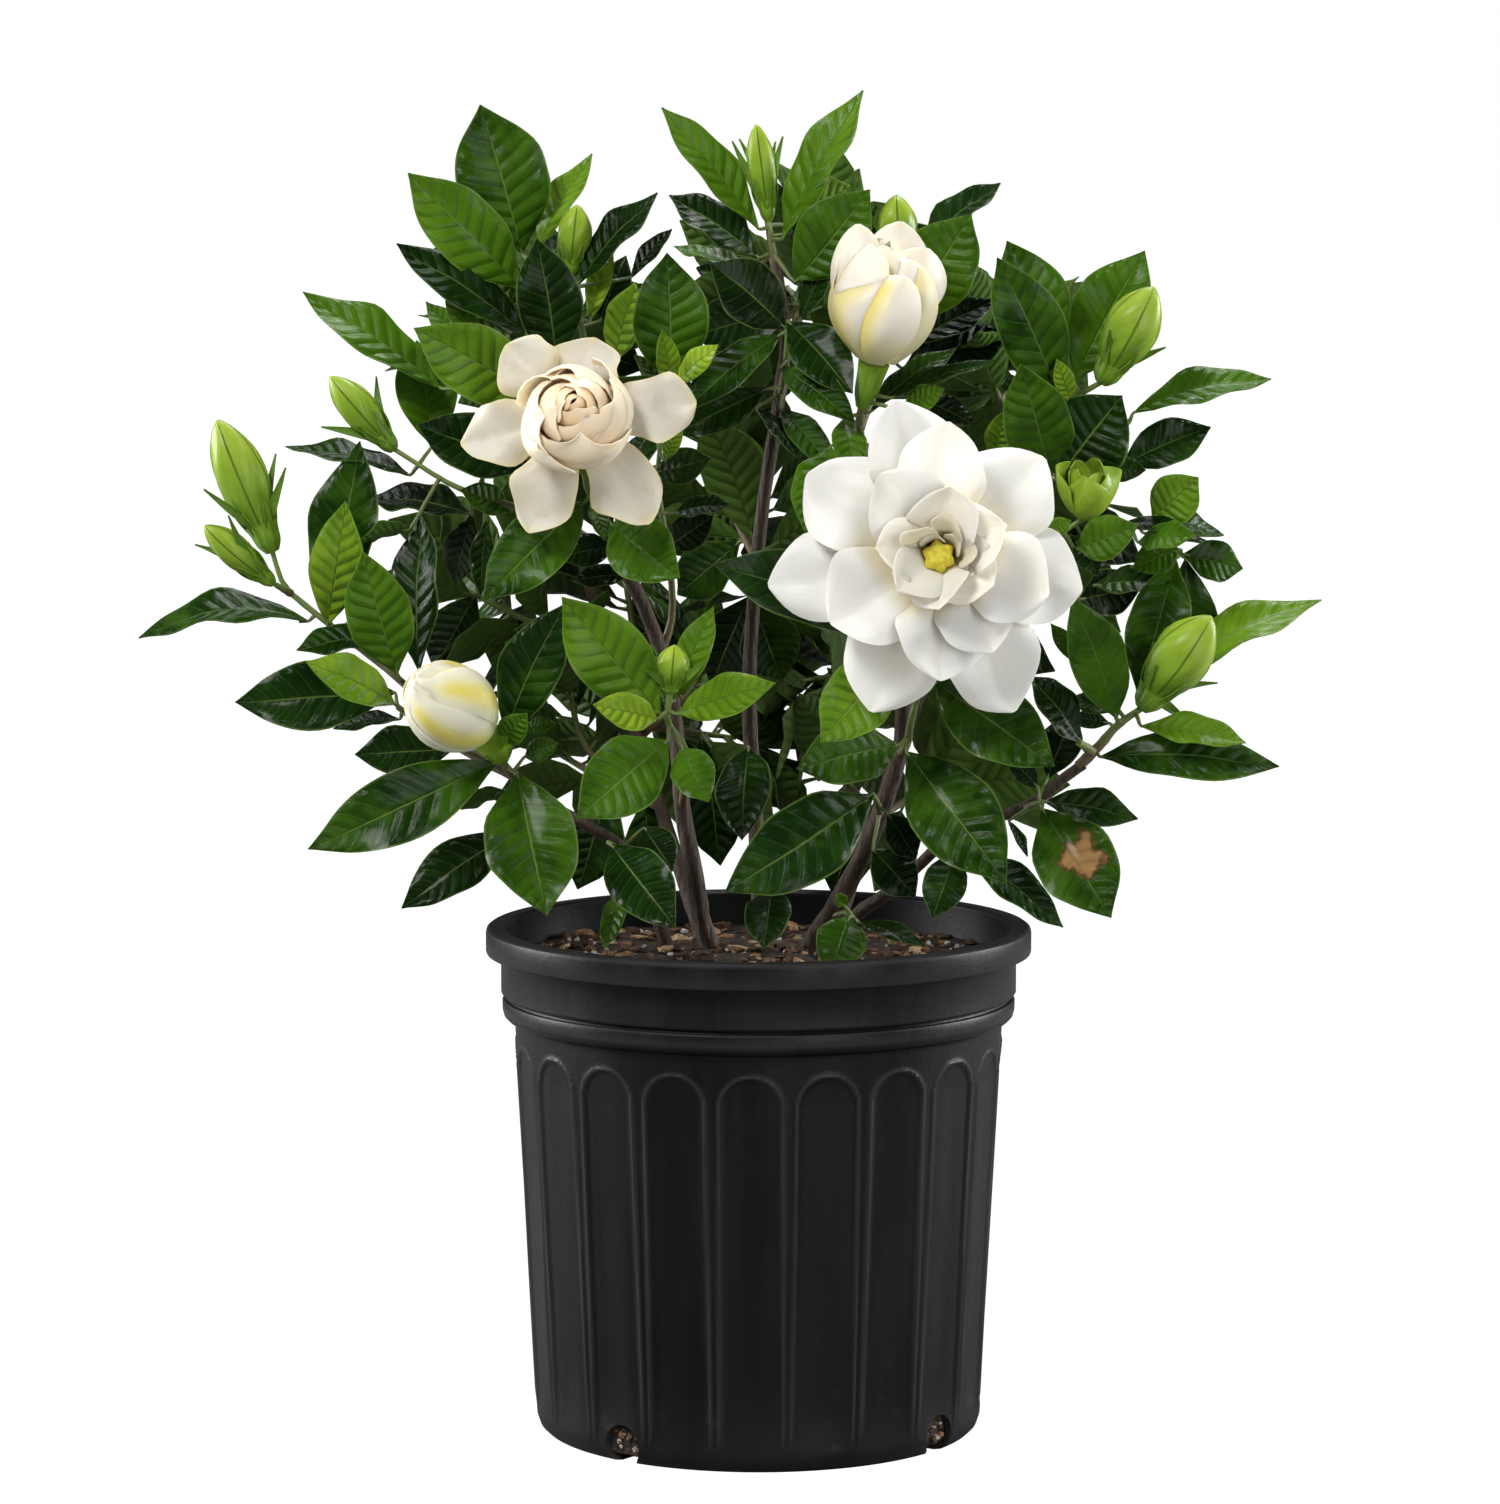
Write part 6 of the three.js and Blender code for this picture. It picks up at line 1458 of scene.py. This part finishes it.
# Leaves in a spiral up each twig of the back, spread wide at first and steeper at the tip. Each
# has a partner across the twig, a little lower and smaller.
def makeBackShoot(shoot, seed, s):
    bm, layers = newMesh()
    rng = random.Random(900 + seed)
    paths = twigPaths(shoot["twigs"], s)
    for path in paths:
        addTwig(bm, layers, path, s["twigRadius"], s)
    for i in range(shoot["leaves"]):
        path = paths[i % len(paths)]
        share = (i + 1) / shoot["leaves"]
        lean, long, wide = (first - loss * share for first, loss in (s["lean"], s["long"], s["wide"]))
        lean = math.radians(lean)
        for half, size in ((0, 1), (1, s["partnerSize"])):
            k = s["firstAt"] + (1 - s["firstAt"]) * share - s["partnerLower"] * half
            k *= len(path) - 1
            low = min(int(k), len(path) - 2)
            foot = path[low].lerp(path[low + 1], k - low)
            way = (path[low + 1] - path[low]).normalized()
            out = squareTo(way, up if abs(way.x) > 0.9 else right)
            turn = shoot["turn"] + s["goldenAngle"] * i + s["partnerTurn"] * half
            out.rotate(Matrix.Rotation(math.radians(turn), 3, way))
            along = out * math.sin(lean) + way * math.cos(lean)
            start = foot + along * (s["stalk"] * millimetre)
            end = foot + along * long * millimetre * size
            end.y = min(end.y, s["farthest"])
            # back leaves take only dark tones: old leaves, and painted shade for the inside of the crown
            addLeaf(bm, layers, start, end, squareTo(along, way), wide * size, foot, s["arch"],
                    rng.uniform(0, 0.4), 5000 + seed * 100 + 2 * i + half, s, backLeaf)
    spots = [spot for path in paths for spot in path]
    for i, (fromReading, toReading, wide) in enumerate(innerLeaves.get(shoot["name"], [])):
        start, end = place(fromReading), place(toReading)
        addLeaf(bm, layers, start, end, bladeFacing(start, end, s["innerTurn"]), wide,
                nearestOn(spots, start),
                s["innerArch"], rng.uniform(0.05, 0.3), 6500 + seed * 10 + i, s, backLeaf)
    finishPiece(shoot["name"] + "_leaves", bm, [materials["leaf"], materials["twig"], materials["bud"]],
                shoot["name"])


for seed, shoot in enumerate(shoots):
    makeShoot(shoot, seed, shootSettings)
for seed, shoot in enumerate(backShoots):
    makeBackShoot(shoot, seed, backSettings)
print("leaves made")

# Closed buds: foot, tip and width of the body, and the tips of the sepals round it
budSettings = {
    "shape": [(0, 0.3), (0.1, 0.4), (0.22, 0.6), (0.38, 0.88), (0.52, 1.0), (0.66, 0.98), (0.79, 0.8),
              (0.89, 0.54),
              (0.96, 0.28), (1, 0.05)],
    "rings": 26, "sides": 30, "ridges": 5, "ridgeDepth": 0.035, "twist": 2.2,
    "sepalWide": 0.0056, "sepalFoot": 0.14, "closeSepals": 5, "closeWide": 0.0046, "closeFoot": (0.12, 0.2),
    "closeTip": (0.44, 0.52),
}
sepalStyle = {
    "columns": 4, "rows": 10, "veins": 5, "chevron": 0, "tipRows": 0, "outline": sepalOutline,
    "point": 0.0002,
    "cup": 0.3, "cupPower": 1.6, "quilt": 0, "wave": 0.05, "waves": 1, "arch": 0.05, "tipCurl": 0.12,
    "sway": 0.05, "twist": 16, "crease": 0, "rollBack": 0, "ragged": 0, "thick": 0.0005,
}
buds = [
    {"name": "bud_far_left", "from": (-203, -10, 371), "to": (-225, -14, 425), "wide": 21,
     "sepals": [(-231, -26, 396), (-201, -4, 411), (-197, -20, 405)]},
    {"name": "bud_far_left_small", "from": (-203, -16, 357), "to": (-231, -26, 381), "wide": 13,
     "sepals": [(-235, -18, 373), (-221, -32, 385)]},
    {"name": "bud_left", "from": (-152, -6, 413), "to": (-178, -10, 443), "wide": 15,
     "sepals": [(-182, -8, 422), (-159, 0, 443)]},
    {"name": "bud_top_left", "from": (-78, -10, 486), "to": (-75, -12, 514), "wide": 14, "sepals": []},
    {"name": "bud_top", "from": (4, 0, 508), "to": (-1, -2, 547), "wide": 12,
     "sepals": [(-11, -4, 540), (-8, 6, 541), (10, -2, 542), (7, 8, 540)]},
    {"name": "bud_behind", "from": (58, 2, 490), "to": (57, 4, 518), "wide": 16,
     "sepals": [(45, 6, 511)]},
    {"name": "bud_upper_right", "from": (143, -22, 441), "to": (164, -34, 480), "wide": 22,
     "sepals": [(169, -26, 455), (146, -40, 462)]},
    {"name": "bud_low_right", "from": (161, -44, 305), "to": (189, -58, 343), "wide": 24,
     "sepals": [(192, -46, 315), (172, -60, 321), (180, -40, 299)]},
    {"name": "bud_front", "from": (-37, -96, 311), "to": (-35, -100, 331), "wide": 13,
     "sepals": [(-47, -106, 320), (-22, -104, 324)]},
]


def makeBud(bud, seed, s):
    bm, layers = newMesh()
    foot, tip = place(bud["from"]), place(bud["to"])
    addSpindle(bm, layers, foot, tip, bud["wide"], s, ((0.3, 1.0), (0.9, 1.0)))
    addCalyx(bm, layers, foot - (tip - foot) * 0.02, foot.lerp(tip, 0.2), bud["wide"] * 0.62, 0)
    start = foot.lerp(tip, s["sepalFoot"])
    for i, reading in enumerate(bud["sepals"]):
        end = place(reading)
        addBlade(bm, layers, start, end, bladeFacing(start, end, 0), s["sepalWide"], sepalStyle, tone=0.2,
                 seed=7000 + seed * 9 + i)
    # more sepals all round, close against the bud: shares of its length and of its width
    (low, narrow), (high, broad) = s["closeFoot"], s["closeTip"]
    axis = (tip - foot).normalized()
    side = squareTo(axis, front)
    for i in range(s["closeSepals"]):
        angle = turnOnce * (i + 0.5) / s["closeSepals"]
        out = side * math.cos(angle) + axis.cross(side) * math.sin(angle)
        start = foot.lerp(tip, low) + out * bud["wide"] * narrow * millimetre
        end = foot.lerp(tip, high + 0.06 * (i % 2)) + out * bud["wide"] * broad * millimetre
        addBlade(bm, layers, start, end, squareTo((end - start).normalized(), out), s["closeWide"],
                 sepalStyle,
                 tone=0.3, seed=7400 + seed * 9 + i)
    finishPiece(bud["name"] + "_green", bm, [materials["bud"]], bud["name"])


for seed, bud in enumerate(buds):
    makeBud(bud, seed, budSettings)
print("buds made")

budPetalStyle = {
    "columns": 14, "rows": 18, "veins": 5, "chevron": 0, "tipRows": 0.5, "outline": cupOutline,
    "point": 0.001,
    "cupPower": 1.8, "quilt": 0, "wave": 0.04, "waves": 0.8, "tipCurl": -0.1, "sway": 0, "twist": 0,
    "crease": 0, "rollBack": 0.3, "ragged": 0.02, "thick": 0.0006,
}

# The two fat buds: petals wrapped round each other, outer ones first. The opening bud's outer petals
# are also placed one by one, from behind to the front.
openingBud = {
    "foot": (48, -38, 449), "tip": (53, -44, 506), "node": "opening_bud", "material": "opening",
    "slot": "cream_petal",
    "petals": [
        {"from": (51, -30, 452), "to": (59, -34, 507), "wide": 31, "facing": 6, "arch": 0.1, "cup": -0.3,
         "tone": 0},
        {"from": (44, -36, 452), "to": (41, -40, 506), "wide": 26, "facing": -26, "arch": 0.16,
         "cup": -0.5, "tone": 0.1},
        {"from": (53, -36, 451), "to": (70, -42, 496), "wide": 31, "facing": 26, "arch": 0.14, "cup": -0.5,
         "tone": 0.15, "outline": spoonOutline, "bow": 0},
        {"from": (50, -42, 452), "to": (64, -50, 491), "wide": 25, "facing": 12, "arch": 0.26,
         "cup": -0.6, "tone": 0},
        {"from": (44, -40, 450), "to": (47, -44, 493), "wide": 28, "facing": -24, "arch": 0.22, "cup": -0.7,
         "tone": 0.4, "bow": -0.1},
        {"from": (44, -47, 449), "to": (56, -60, 484), "wide": 32, "facing": -20, "arch": 0.3, "cup": -0.8,
         "tone": 0.35, "bow": -0.17},
        {"from": (54, -45, 448), "to": (68, -50, 488), "wide": 22, "facing": 24, "arch": 0.24, "cup": -0.7,
         "tone": 1.0, "bow": 0.03},
        {"from": (45, -49, 449), "to": (61, -62, 484), "wide": 26, "facing": -4, "arch": 0.32, "cup": -0.75,
         "tone": 0.5, "bow": 0}],
    "wraps": [
        {"petals": [(262, 0.9, 0.94), (340, 0.9, 0.92), (70, 0.98, 0.94), (170, 0.94, 1.0)],
         "radius": [(0, 2), (0.2, 10), (0.45, 17), (0.65, 18), (0.85, 13), (1, 7)],
         "height": [(0, 4), (0.2, 9), (0.45, 20), (0.65, 32), (0.85, 44), (1, 51)],
         "span": [(0, 130), (0.5, 150), (1, 120)], "spiral": 0.2, "twist": 50, "shoulder": 0.14,
         "wave": 0.4, "bulge": 0.02},
        {"petals": [(210, 0.92, 1.0), (330, 0.92, 1.0), (90, 0.96, 1.0)],
         "radius": [(0, 1), (0.2, 5), (0.45, 10), (0.65, 11), (0.85, 8), (1, 2)],
         "height": [(0, 5), (0.2, 10), (0.45, 21), (0.65, 33), (0.85, 45), (1, 52)],
         "span": [(0, 150), (0.5, 170), (1, 150)], "spiral": 0.26, "twist": -70, "shoulder": 0.08,
         "wave": 0.2, "bulge": 0.02},
    ],
}
ballBud = {
    "foot": (-115, -66, 294), "tip": (-146, -92, 319), "node": "ball_bud", "material": "yellow",
    "slot": "yellow_petal",
    "wraps": [
        {"petals": [(14, 1, 1.02), (84, 0.97, 0.98), (160, 1, 1.02), (228, 0.96, 1), (300, 1, 1)],
         "radius": [(0, 5), (0.15, 10.4), (0.4, 14.8), (0.6, 15.2), (0.8, 11.6), (1, 3)],
         "height": [(0, 0), (0.15, 5), (0.4, 15), (0.6, 25), (0.8, 35.5), (1, 42.4)],
         "span": [(0, 84), (0.5, 106), (0.85, 98), (1, 60)], "spiral": 0.17, "twist": -64, "shoulder": 0.1,
         "wave": 0.4, "bulge": 0.12},
        {"petals": [(60, 1, 1), (150, 1, 1), (240, 1, 1), (330, 1, 1)],
         "radius": [(0, 4), (0.2, 10.4), (0.45, 14.2), (0.62, 13.8), (0.8, 10), (1, 0.7)],
         "height": [(0, 1), (0.2, 8), (0.45, 18), (0.62, 27), (0.8, 37), (1, 43.4)],
         "span": [(0, 110), (0.5, 130), (1, 170)], "spiral": 0.06, "twist": -100, "shoulder": 0.06,
         "wave": 0.1, "bulge": 0.06},
        {"petals": [(0, 1, 1), (180, 1, 1)],
         "radius": [(0, 3), (0.3, 10), (0.6, 11), (0.85, 6), (1, 0.3)],
         "height": [(0, 2), (0.3, 13), (0.6, 26), (0.85, 38), (1, 43)],
         "span": [(0, 190), (0.5, 200), (1, 220)], "spiral": 0.05, "twist": -60, "shoulder": 0.02,
         "wave": 0, "bulge": 0},
    ],
}


def makeRolledBud(s, seed):
    bm, layers = newMesh()
    for i, petal in enumerate(s.get("petals", [])):
        start, end = place(petal["from"]), place(petal["to"])
        facing = math.radians(petal["facing"])
        face = squareTo((end - start).normalized(), right * math.sin(facing) + front * math.cos(facing))
        addBlade(bm, layers, start, end, face, petal["wide"] * millimetre, {**budPetalStyle, **petal},
                 tone=petal["tone"], seed=seed + 50 + i)
    foot, tip = place(s["foot"]), place(s["tip"])
    axis = (tip - foot).normalized()
    addWraps(bm, layers, foot, axis, squareTo(axis, right), s["wraps"], seed)
    finishPiece(s["node"] + "_petals", bm, [materials[s["material"]]], s["node"])


makeRolledBud(openingBud, 8000)
makeRolledBud(ballBud, 8100)

# Open flowers. A petal runs from the heart, at its whorl's depth, to its tip, and is the reading of
# that tip with its width.
petalStyle = {
    "columns": 12, "rows": 16, "veins": 5, "chevron": 0.05, "tipRows": 0.6, "outline": petalOutline,
    "point": 0.0008,
    "cup": 0.2, "cupPower": 1.6, "quilt": 0, "wave": 0.22, "waves": 1.2, "arch": 0.12, "tipCurl": 0.26,
    "sway": 0.02, "twist": 18, "crease": 0.07, "rollBack": 1.1, "ragged": 0.05, "thick": 0.0005,
}
spreadStyle = {**petalStyle, "outline": spoonOutline, "wave": 0.34, "waves": 1.5, "ragged": 0.12,
               "twist": 26}
spreadShapes = [(petalOutline, 1.1), (spoonOutline, 1.12), (petalOutline, 1.05), (spoonOutline, 1.08),
                (spoonOutline, 1.12), (petalOutline, 1.16)]
flowerSettings = {"petalTwist": 12, "clawInset": 3.5, "hubRadius": 5, "hubLength": 4.6, "hubSides": 20,
                  "hubShape": (0.8, 0.97, 1, 0.97, 0.8)}
whiteFlower = {
    "heart": (75, 368),
    "stigma": {"depth": (-107.7, -125), "wide": 12},
    "whorls": [
        {"name": "white_flower_inner_petals", "depth": -105, "arch": 0.16, "cup": 0.4, "petals": [
            (49, -126, 372, 26), (58, -134, 354, 24), (75, -132, 346, 26), (98, -128, 356, 28),
            (103, -126, 381, 28), (80, -128, 397, 28)]},
        {"name": "white_flower_middle_petals", "depth": -100, "arch": 0.16, "cup": 0.22, "petals": [
            (79, -112, 424, 36), (50, -118, 402, 34), (30, -110, 340, 42), (76, -114, 316, 40),
            (98, -116, 328, 34), (121, -112, 352, 38)]},
        {"name": "white_flower_outer_petals", "depth": -95, "arch": 0.12, "cup": 0.12, "petals": [
            (57, -94, 433, 40), (119, -92, 409, 42), (135, -94, 354, 40), (107, -98, 303, 40),
            (47, -98, 303, 40), (4, -92, 356, 38), (20, -96, 402, 42)]},
    ],
}
creamFlower = {
    "heart": (-76, 427),
    "whorls": [
        {"name": "cream_flower_rolled_petals", "depth": -77},
        {"name": "cream_flower_spread_petals", "depth": -72, "arch": 0.1, "cup": 0.14, "petals": [
            (-124, -70, 415, 24), (-105, -72, 456, 24), (-68, -74, 459, 28), (-26, -74, 432, 26),
            (-45, -80, 382, 26), (-96, -76, 378, 23)]},
    ],
}


# The round middle that a whorl's petals grow from
def addHub(bm, layers, heart, depth, s):
    x, z = heart
    start = place((x, depth + s["hubLength"] / 2, z))
    end = place((x, depth - s["hubLength"] / 2, z))
    path = [start.lerp(end, i / 4) for i in range(5)]
    radii = [s["hubRadius"] * millimetre * k for k in s["hubShape"]]
    growTube(bm, layers, path, radii, s["hubSides"])


def addPetals(bm, layers, heart, whorl, style, seed, s, shapes=None, tone=0.5):
    x, z = heart
    centre = place((x, whorl["depth"], z))
    for i, (*reading, wide) in enumerate(whorl["petals"]):
        tip = place(reading)
        start = centre.lerp(tip, s["clawInset"] * millimetre / (tip - centre).length)
        outline, wider = shapes[i] if shapes else (style["outline"], 1)
        shape = {**style, "arch": whorl["arch"], "cup": whorl["cup"], "outline": outline}
        addBlade(bm, layers, start, tip, bladeFacing(start, tip, s["petalTwist"]),
                 wide * wider * millimetre,
                 shape, tone=tone, seed=seed + i)


# Small petals that stand round the stigma of the white flower
heartCurls = [
    {"petals": [(172, 0.95, 1.06), (214, 0.78, 0.84), (262, 0.7, 0.9), (312, 0.85, 0.78), (6, 1, 0.84),
                (66, 1.05, 1.02), (122, 1.1, 1)],
     "radius": [(0, 3), (0.35, 8), (0.7, 12), (0.9, 15), (1, 17)],
     "height": [(0, 1), (0.35, 9), (0.7, 19), (0.9, 23), (1, 23.6)],
     "span": [(0, 50), (0.5, 66), (1, 58)], "spiral": 0.2, "twist": 10, "shoulder": 0.2, "wave": 0.9,
     "bulge": 0.0,
     "tint": 0.62},
    {"petals": [(192, 0.9, 1), (244, 0.75, 0.95), (330, 0.9, 1), (36, 1, 1), (100, 1, 1)],
     "radius": [(0, 3), (0.3, 6.4), (0.7, 8), (0.9, 9.6), (1, 11)],
     "height": [(0, 2), (0.3, 8), (0.7, 16), (0.9, 19.4), (1, 20.4)],
     "span": [(0, 60), (0.5, 76), (1, 60)], "spiral": 0.18, "twist": 14, "shoulder": 0.2, "wave": 0.6,
     "bulge": 0.0,
     "tint": 0.5},
]


def makeWhiteFlower(flower, curls, s):
    x, z = flower["heart"]
    for k, whorl in enumerate(flower["whorls"]):
        bm, layers = newMesh()
        addHub(bm, layers, flower["heart"], whorl["depth"], s)
        addPetals(bm, layers, flower["heart"], whorl, petalStyle, 9000 + 20 * k, s,
                  tone=0.72 if k == 0 else 0.5)
        if k == 0:
            addWraps(bm, layers, place((x, whorl["depth"], z)), front, right, curls, 9300, tone=0.86)
        finishPiece(whorl["name"] + "_soft", bm, [materials["white"]], whorl["name"])


stigmaSettings = {
    "shape": [(0, 0.3), (0.4, 0.42), (0.62, 0.92), (0.8, 1), (0.93, 0.86), (1, 0.45)],
    "rings": 18, "sides": 24, "ridges": 6, "ridgeDepth": 0.12, "twist": 0.8,
}


def makeStigma(flower, s):
    x, z = flower["heart"]
    start, end = (place((x, depth, z)) for depth in flower["stigma"]["depth"])
    bm, layers = newMesh()
    addSpindle(bm, layers, start, end, flower["stigma"]["wide"], s)
    finishPiece("white_flower_stigma_club", bm, [materials["stigma"]], "white_flower_stigma")


# The rolled petals in the middle of the cream flower, on an axis that leans up by "swirlLean"
swirlLean = 24
swirlSettings = [
    {"petals": [(350, 0.96, 1.04), (84, 1.06, 0.96), (186, 0.94, 1.04), (262, 0.84, 1.0)],
     "radius": [(0, 4), (0.3, 14), (0.55, 19.8), (0.8, 21), (1, 18)],
     "height": [(0, 0), (0.3, 1), (0.55, 4), (0.8, 9), (1, 14)],
     "span": [(0, 100), (0.5, 118), (0.8, 104), (1, 40)], "spiral": 0.17, "twist": 40, "shoulder": 0.24,
     "wave": 2.4,
     "bulge": 0.05},
    {"petals": [(30, 1, 0.98), (140, 0.96, 1.02), (226, 0.96, 1.08), (304, 1, 1.0)],
     "radius": [(0, 3), (0.3, 13), (0.55, 18), (0.8, 17), (1, 12.4)],
     "height": [(0, 1), (0.3, 4), (0.55, 8.5), (0.8, 14), (1, 19)],
     "span": [(0, 100), (0.5, 126), (0.8, 110), (1, 44)], "spiral": 0.17, "twist": 56, "shoulder": 0.24,
     "wave": 2,
     "bulge": 0.05},
    {"petals": [(0, 1, 1), (120, 1, 0.98), (236, 0.98, 1.04)],
     "radius": [(0, 3), (0.3, 9.6), (0.55, 13.4), (0.8, 12), (1, 6.4)],
     "height": [(0, 2), (0.3, 6.5), (0.55, 11.5), (0.8, 17.4), (1, 21.6)],
     "span": [(0, 120), (0.5, 156), (0.8, 140), (1, 60)], "spiral": 0.2, "twist": 74, "shoulder": 0.22,
     "wave": 1.2,
     "bulge": 0.04},
    {"petals": [(70, 1, 1), (190, 1, 1), (310, 1, 1)],
     "radius": [(0, 2), (0.3, 6.6), (0.55, 8.8), (0.8, 7.4), (1, 3.2)],
     "height": [(0, 2), (0.3, 8), (0.55, 13.5), (0.8, 19.6), (1, 23)],
     "span": [(0, 120), (0.5, 164), (0.8, 150), (1, 70)], "spiral": 0.2, "twist": 110, "shoulder": 0.14,
     "wave": 0.4,
     "bulge": 0.03},
    {"petals": [(20, 1, 1), (200, 1, 1)],
     "radius": [(0, 1), (0.3, 3.6), (0.55, 4.8), (0.8, 3.4), (1, 0.6)],
     "height": [(0, 3), (0.3, 9), (0.55, 15), (0.8, 21), (1, 23.6)],
     "span": [(0, 120), (0.5, 210), (1, 190)], "spiral": 0.24, "twist": 130, "shoulder": 0.1, "wave": 0.1,
     "bulge": 0.02},
]


def makeCreamFlower(flower, swirls, s):
    rolled, spread = flower["whorls"]
    bm, layers = newMesh()
    addHub(bm, layers, flower["heart"], spread["depth"], s)
    addPetals(bm, layers, flower["heart"], spread, spreadStyle, 9100, s, spreadShapes)
    finishPiece(spread["name"] + "_soft", bm, [materials["spread"]], spread["name"])
    bm, layers = newMesh()
    addHub(bm, layers, flower["heart"], rolled["depth"], s)
    x, z = flower["heart"]
    foot = place((x, rolled["depth"], z))
    lean = math.radians(swirlLean)
    axis = front * math.cos(lean) + up * math.sin(lean)
    addWraps(bm, layers, foot + (front - up * 0.7) * 0.004, axis, right, swirls, 9200, warmer=0.11)
    finishPiece(rolled["name"] + "_soft", bm, [materials["cream"]], rolled["name"])


makeWhiteFlower(whiteFlower, heartCurls, flowerSettings)
makeStigma(whiteFlower, stigmaSettings)
makeCreamFlower(creamFlower, swirlSettings, flowerSettings)
print("flowers made")

floorSettings = {"size": 60.0}


def makeFloor(s):
    bm = bmesh.new()
    bmesh.ops.create_grid(bm, x_segments=2, y_segments=2, size=s["size"])
    floor = addObject("floor", bm)
    floor.data.materials.append(materials["floor"])


makeFloor(floorSettings)
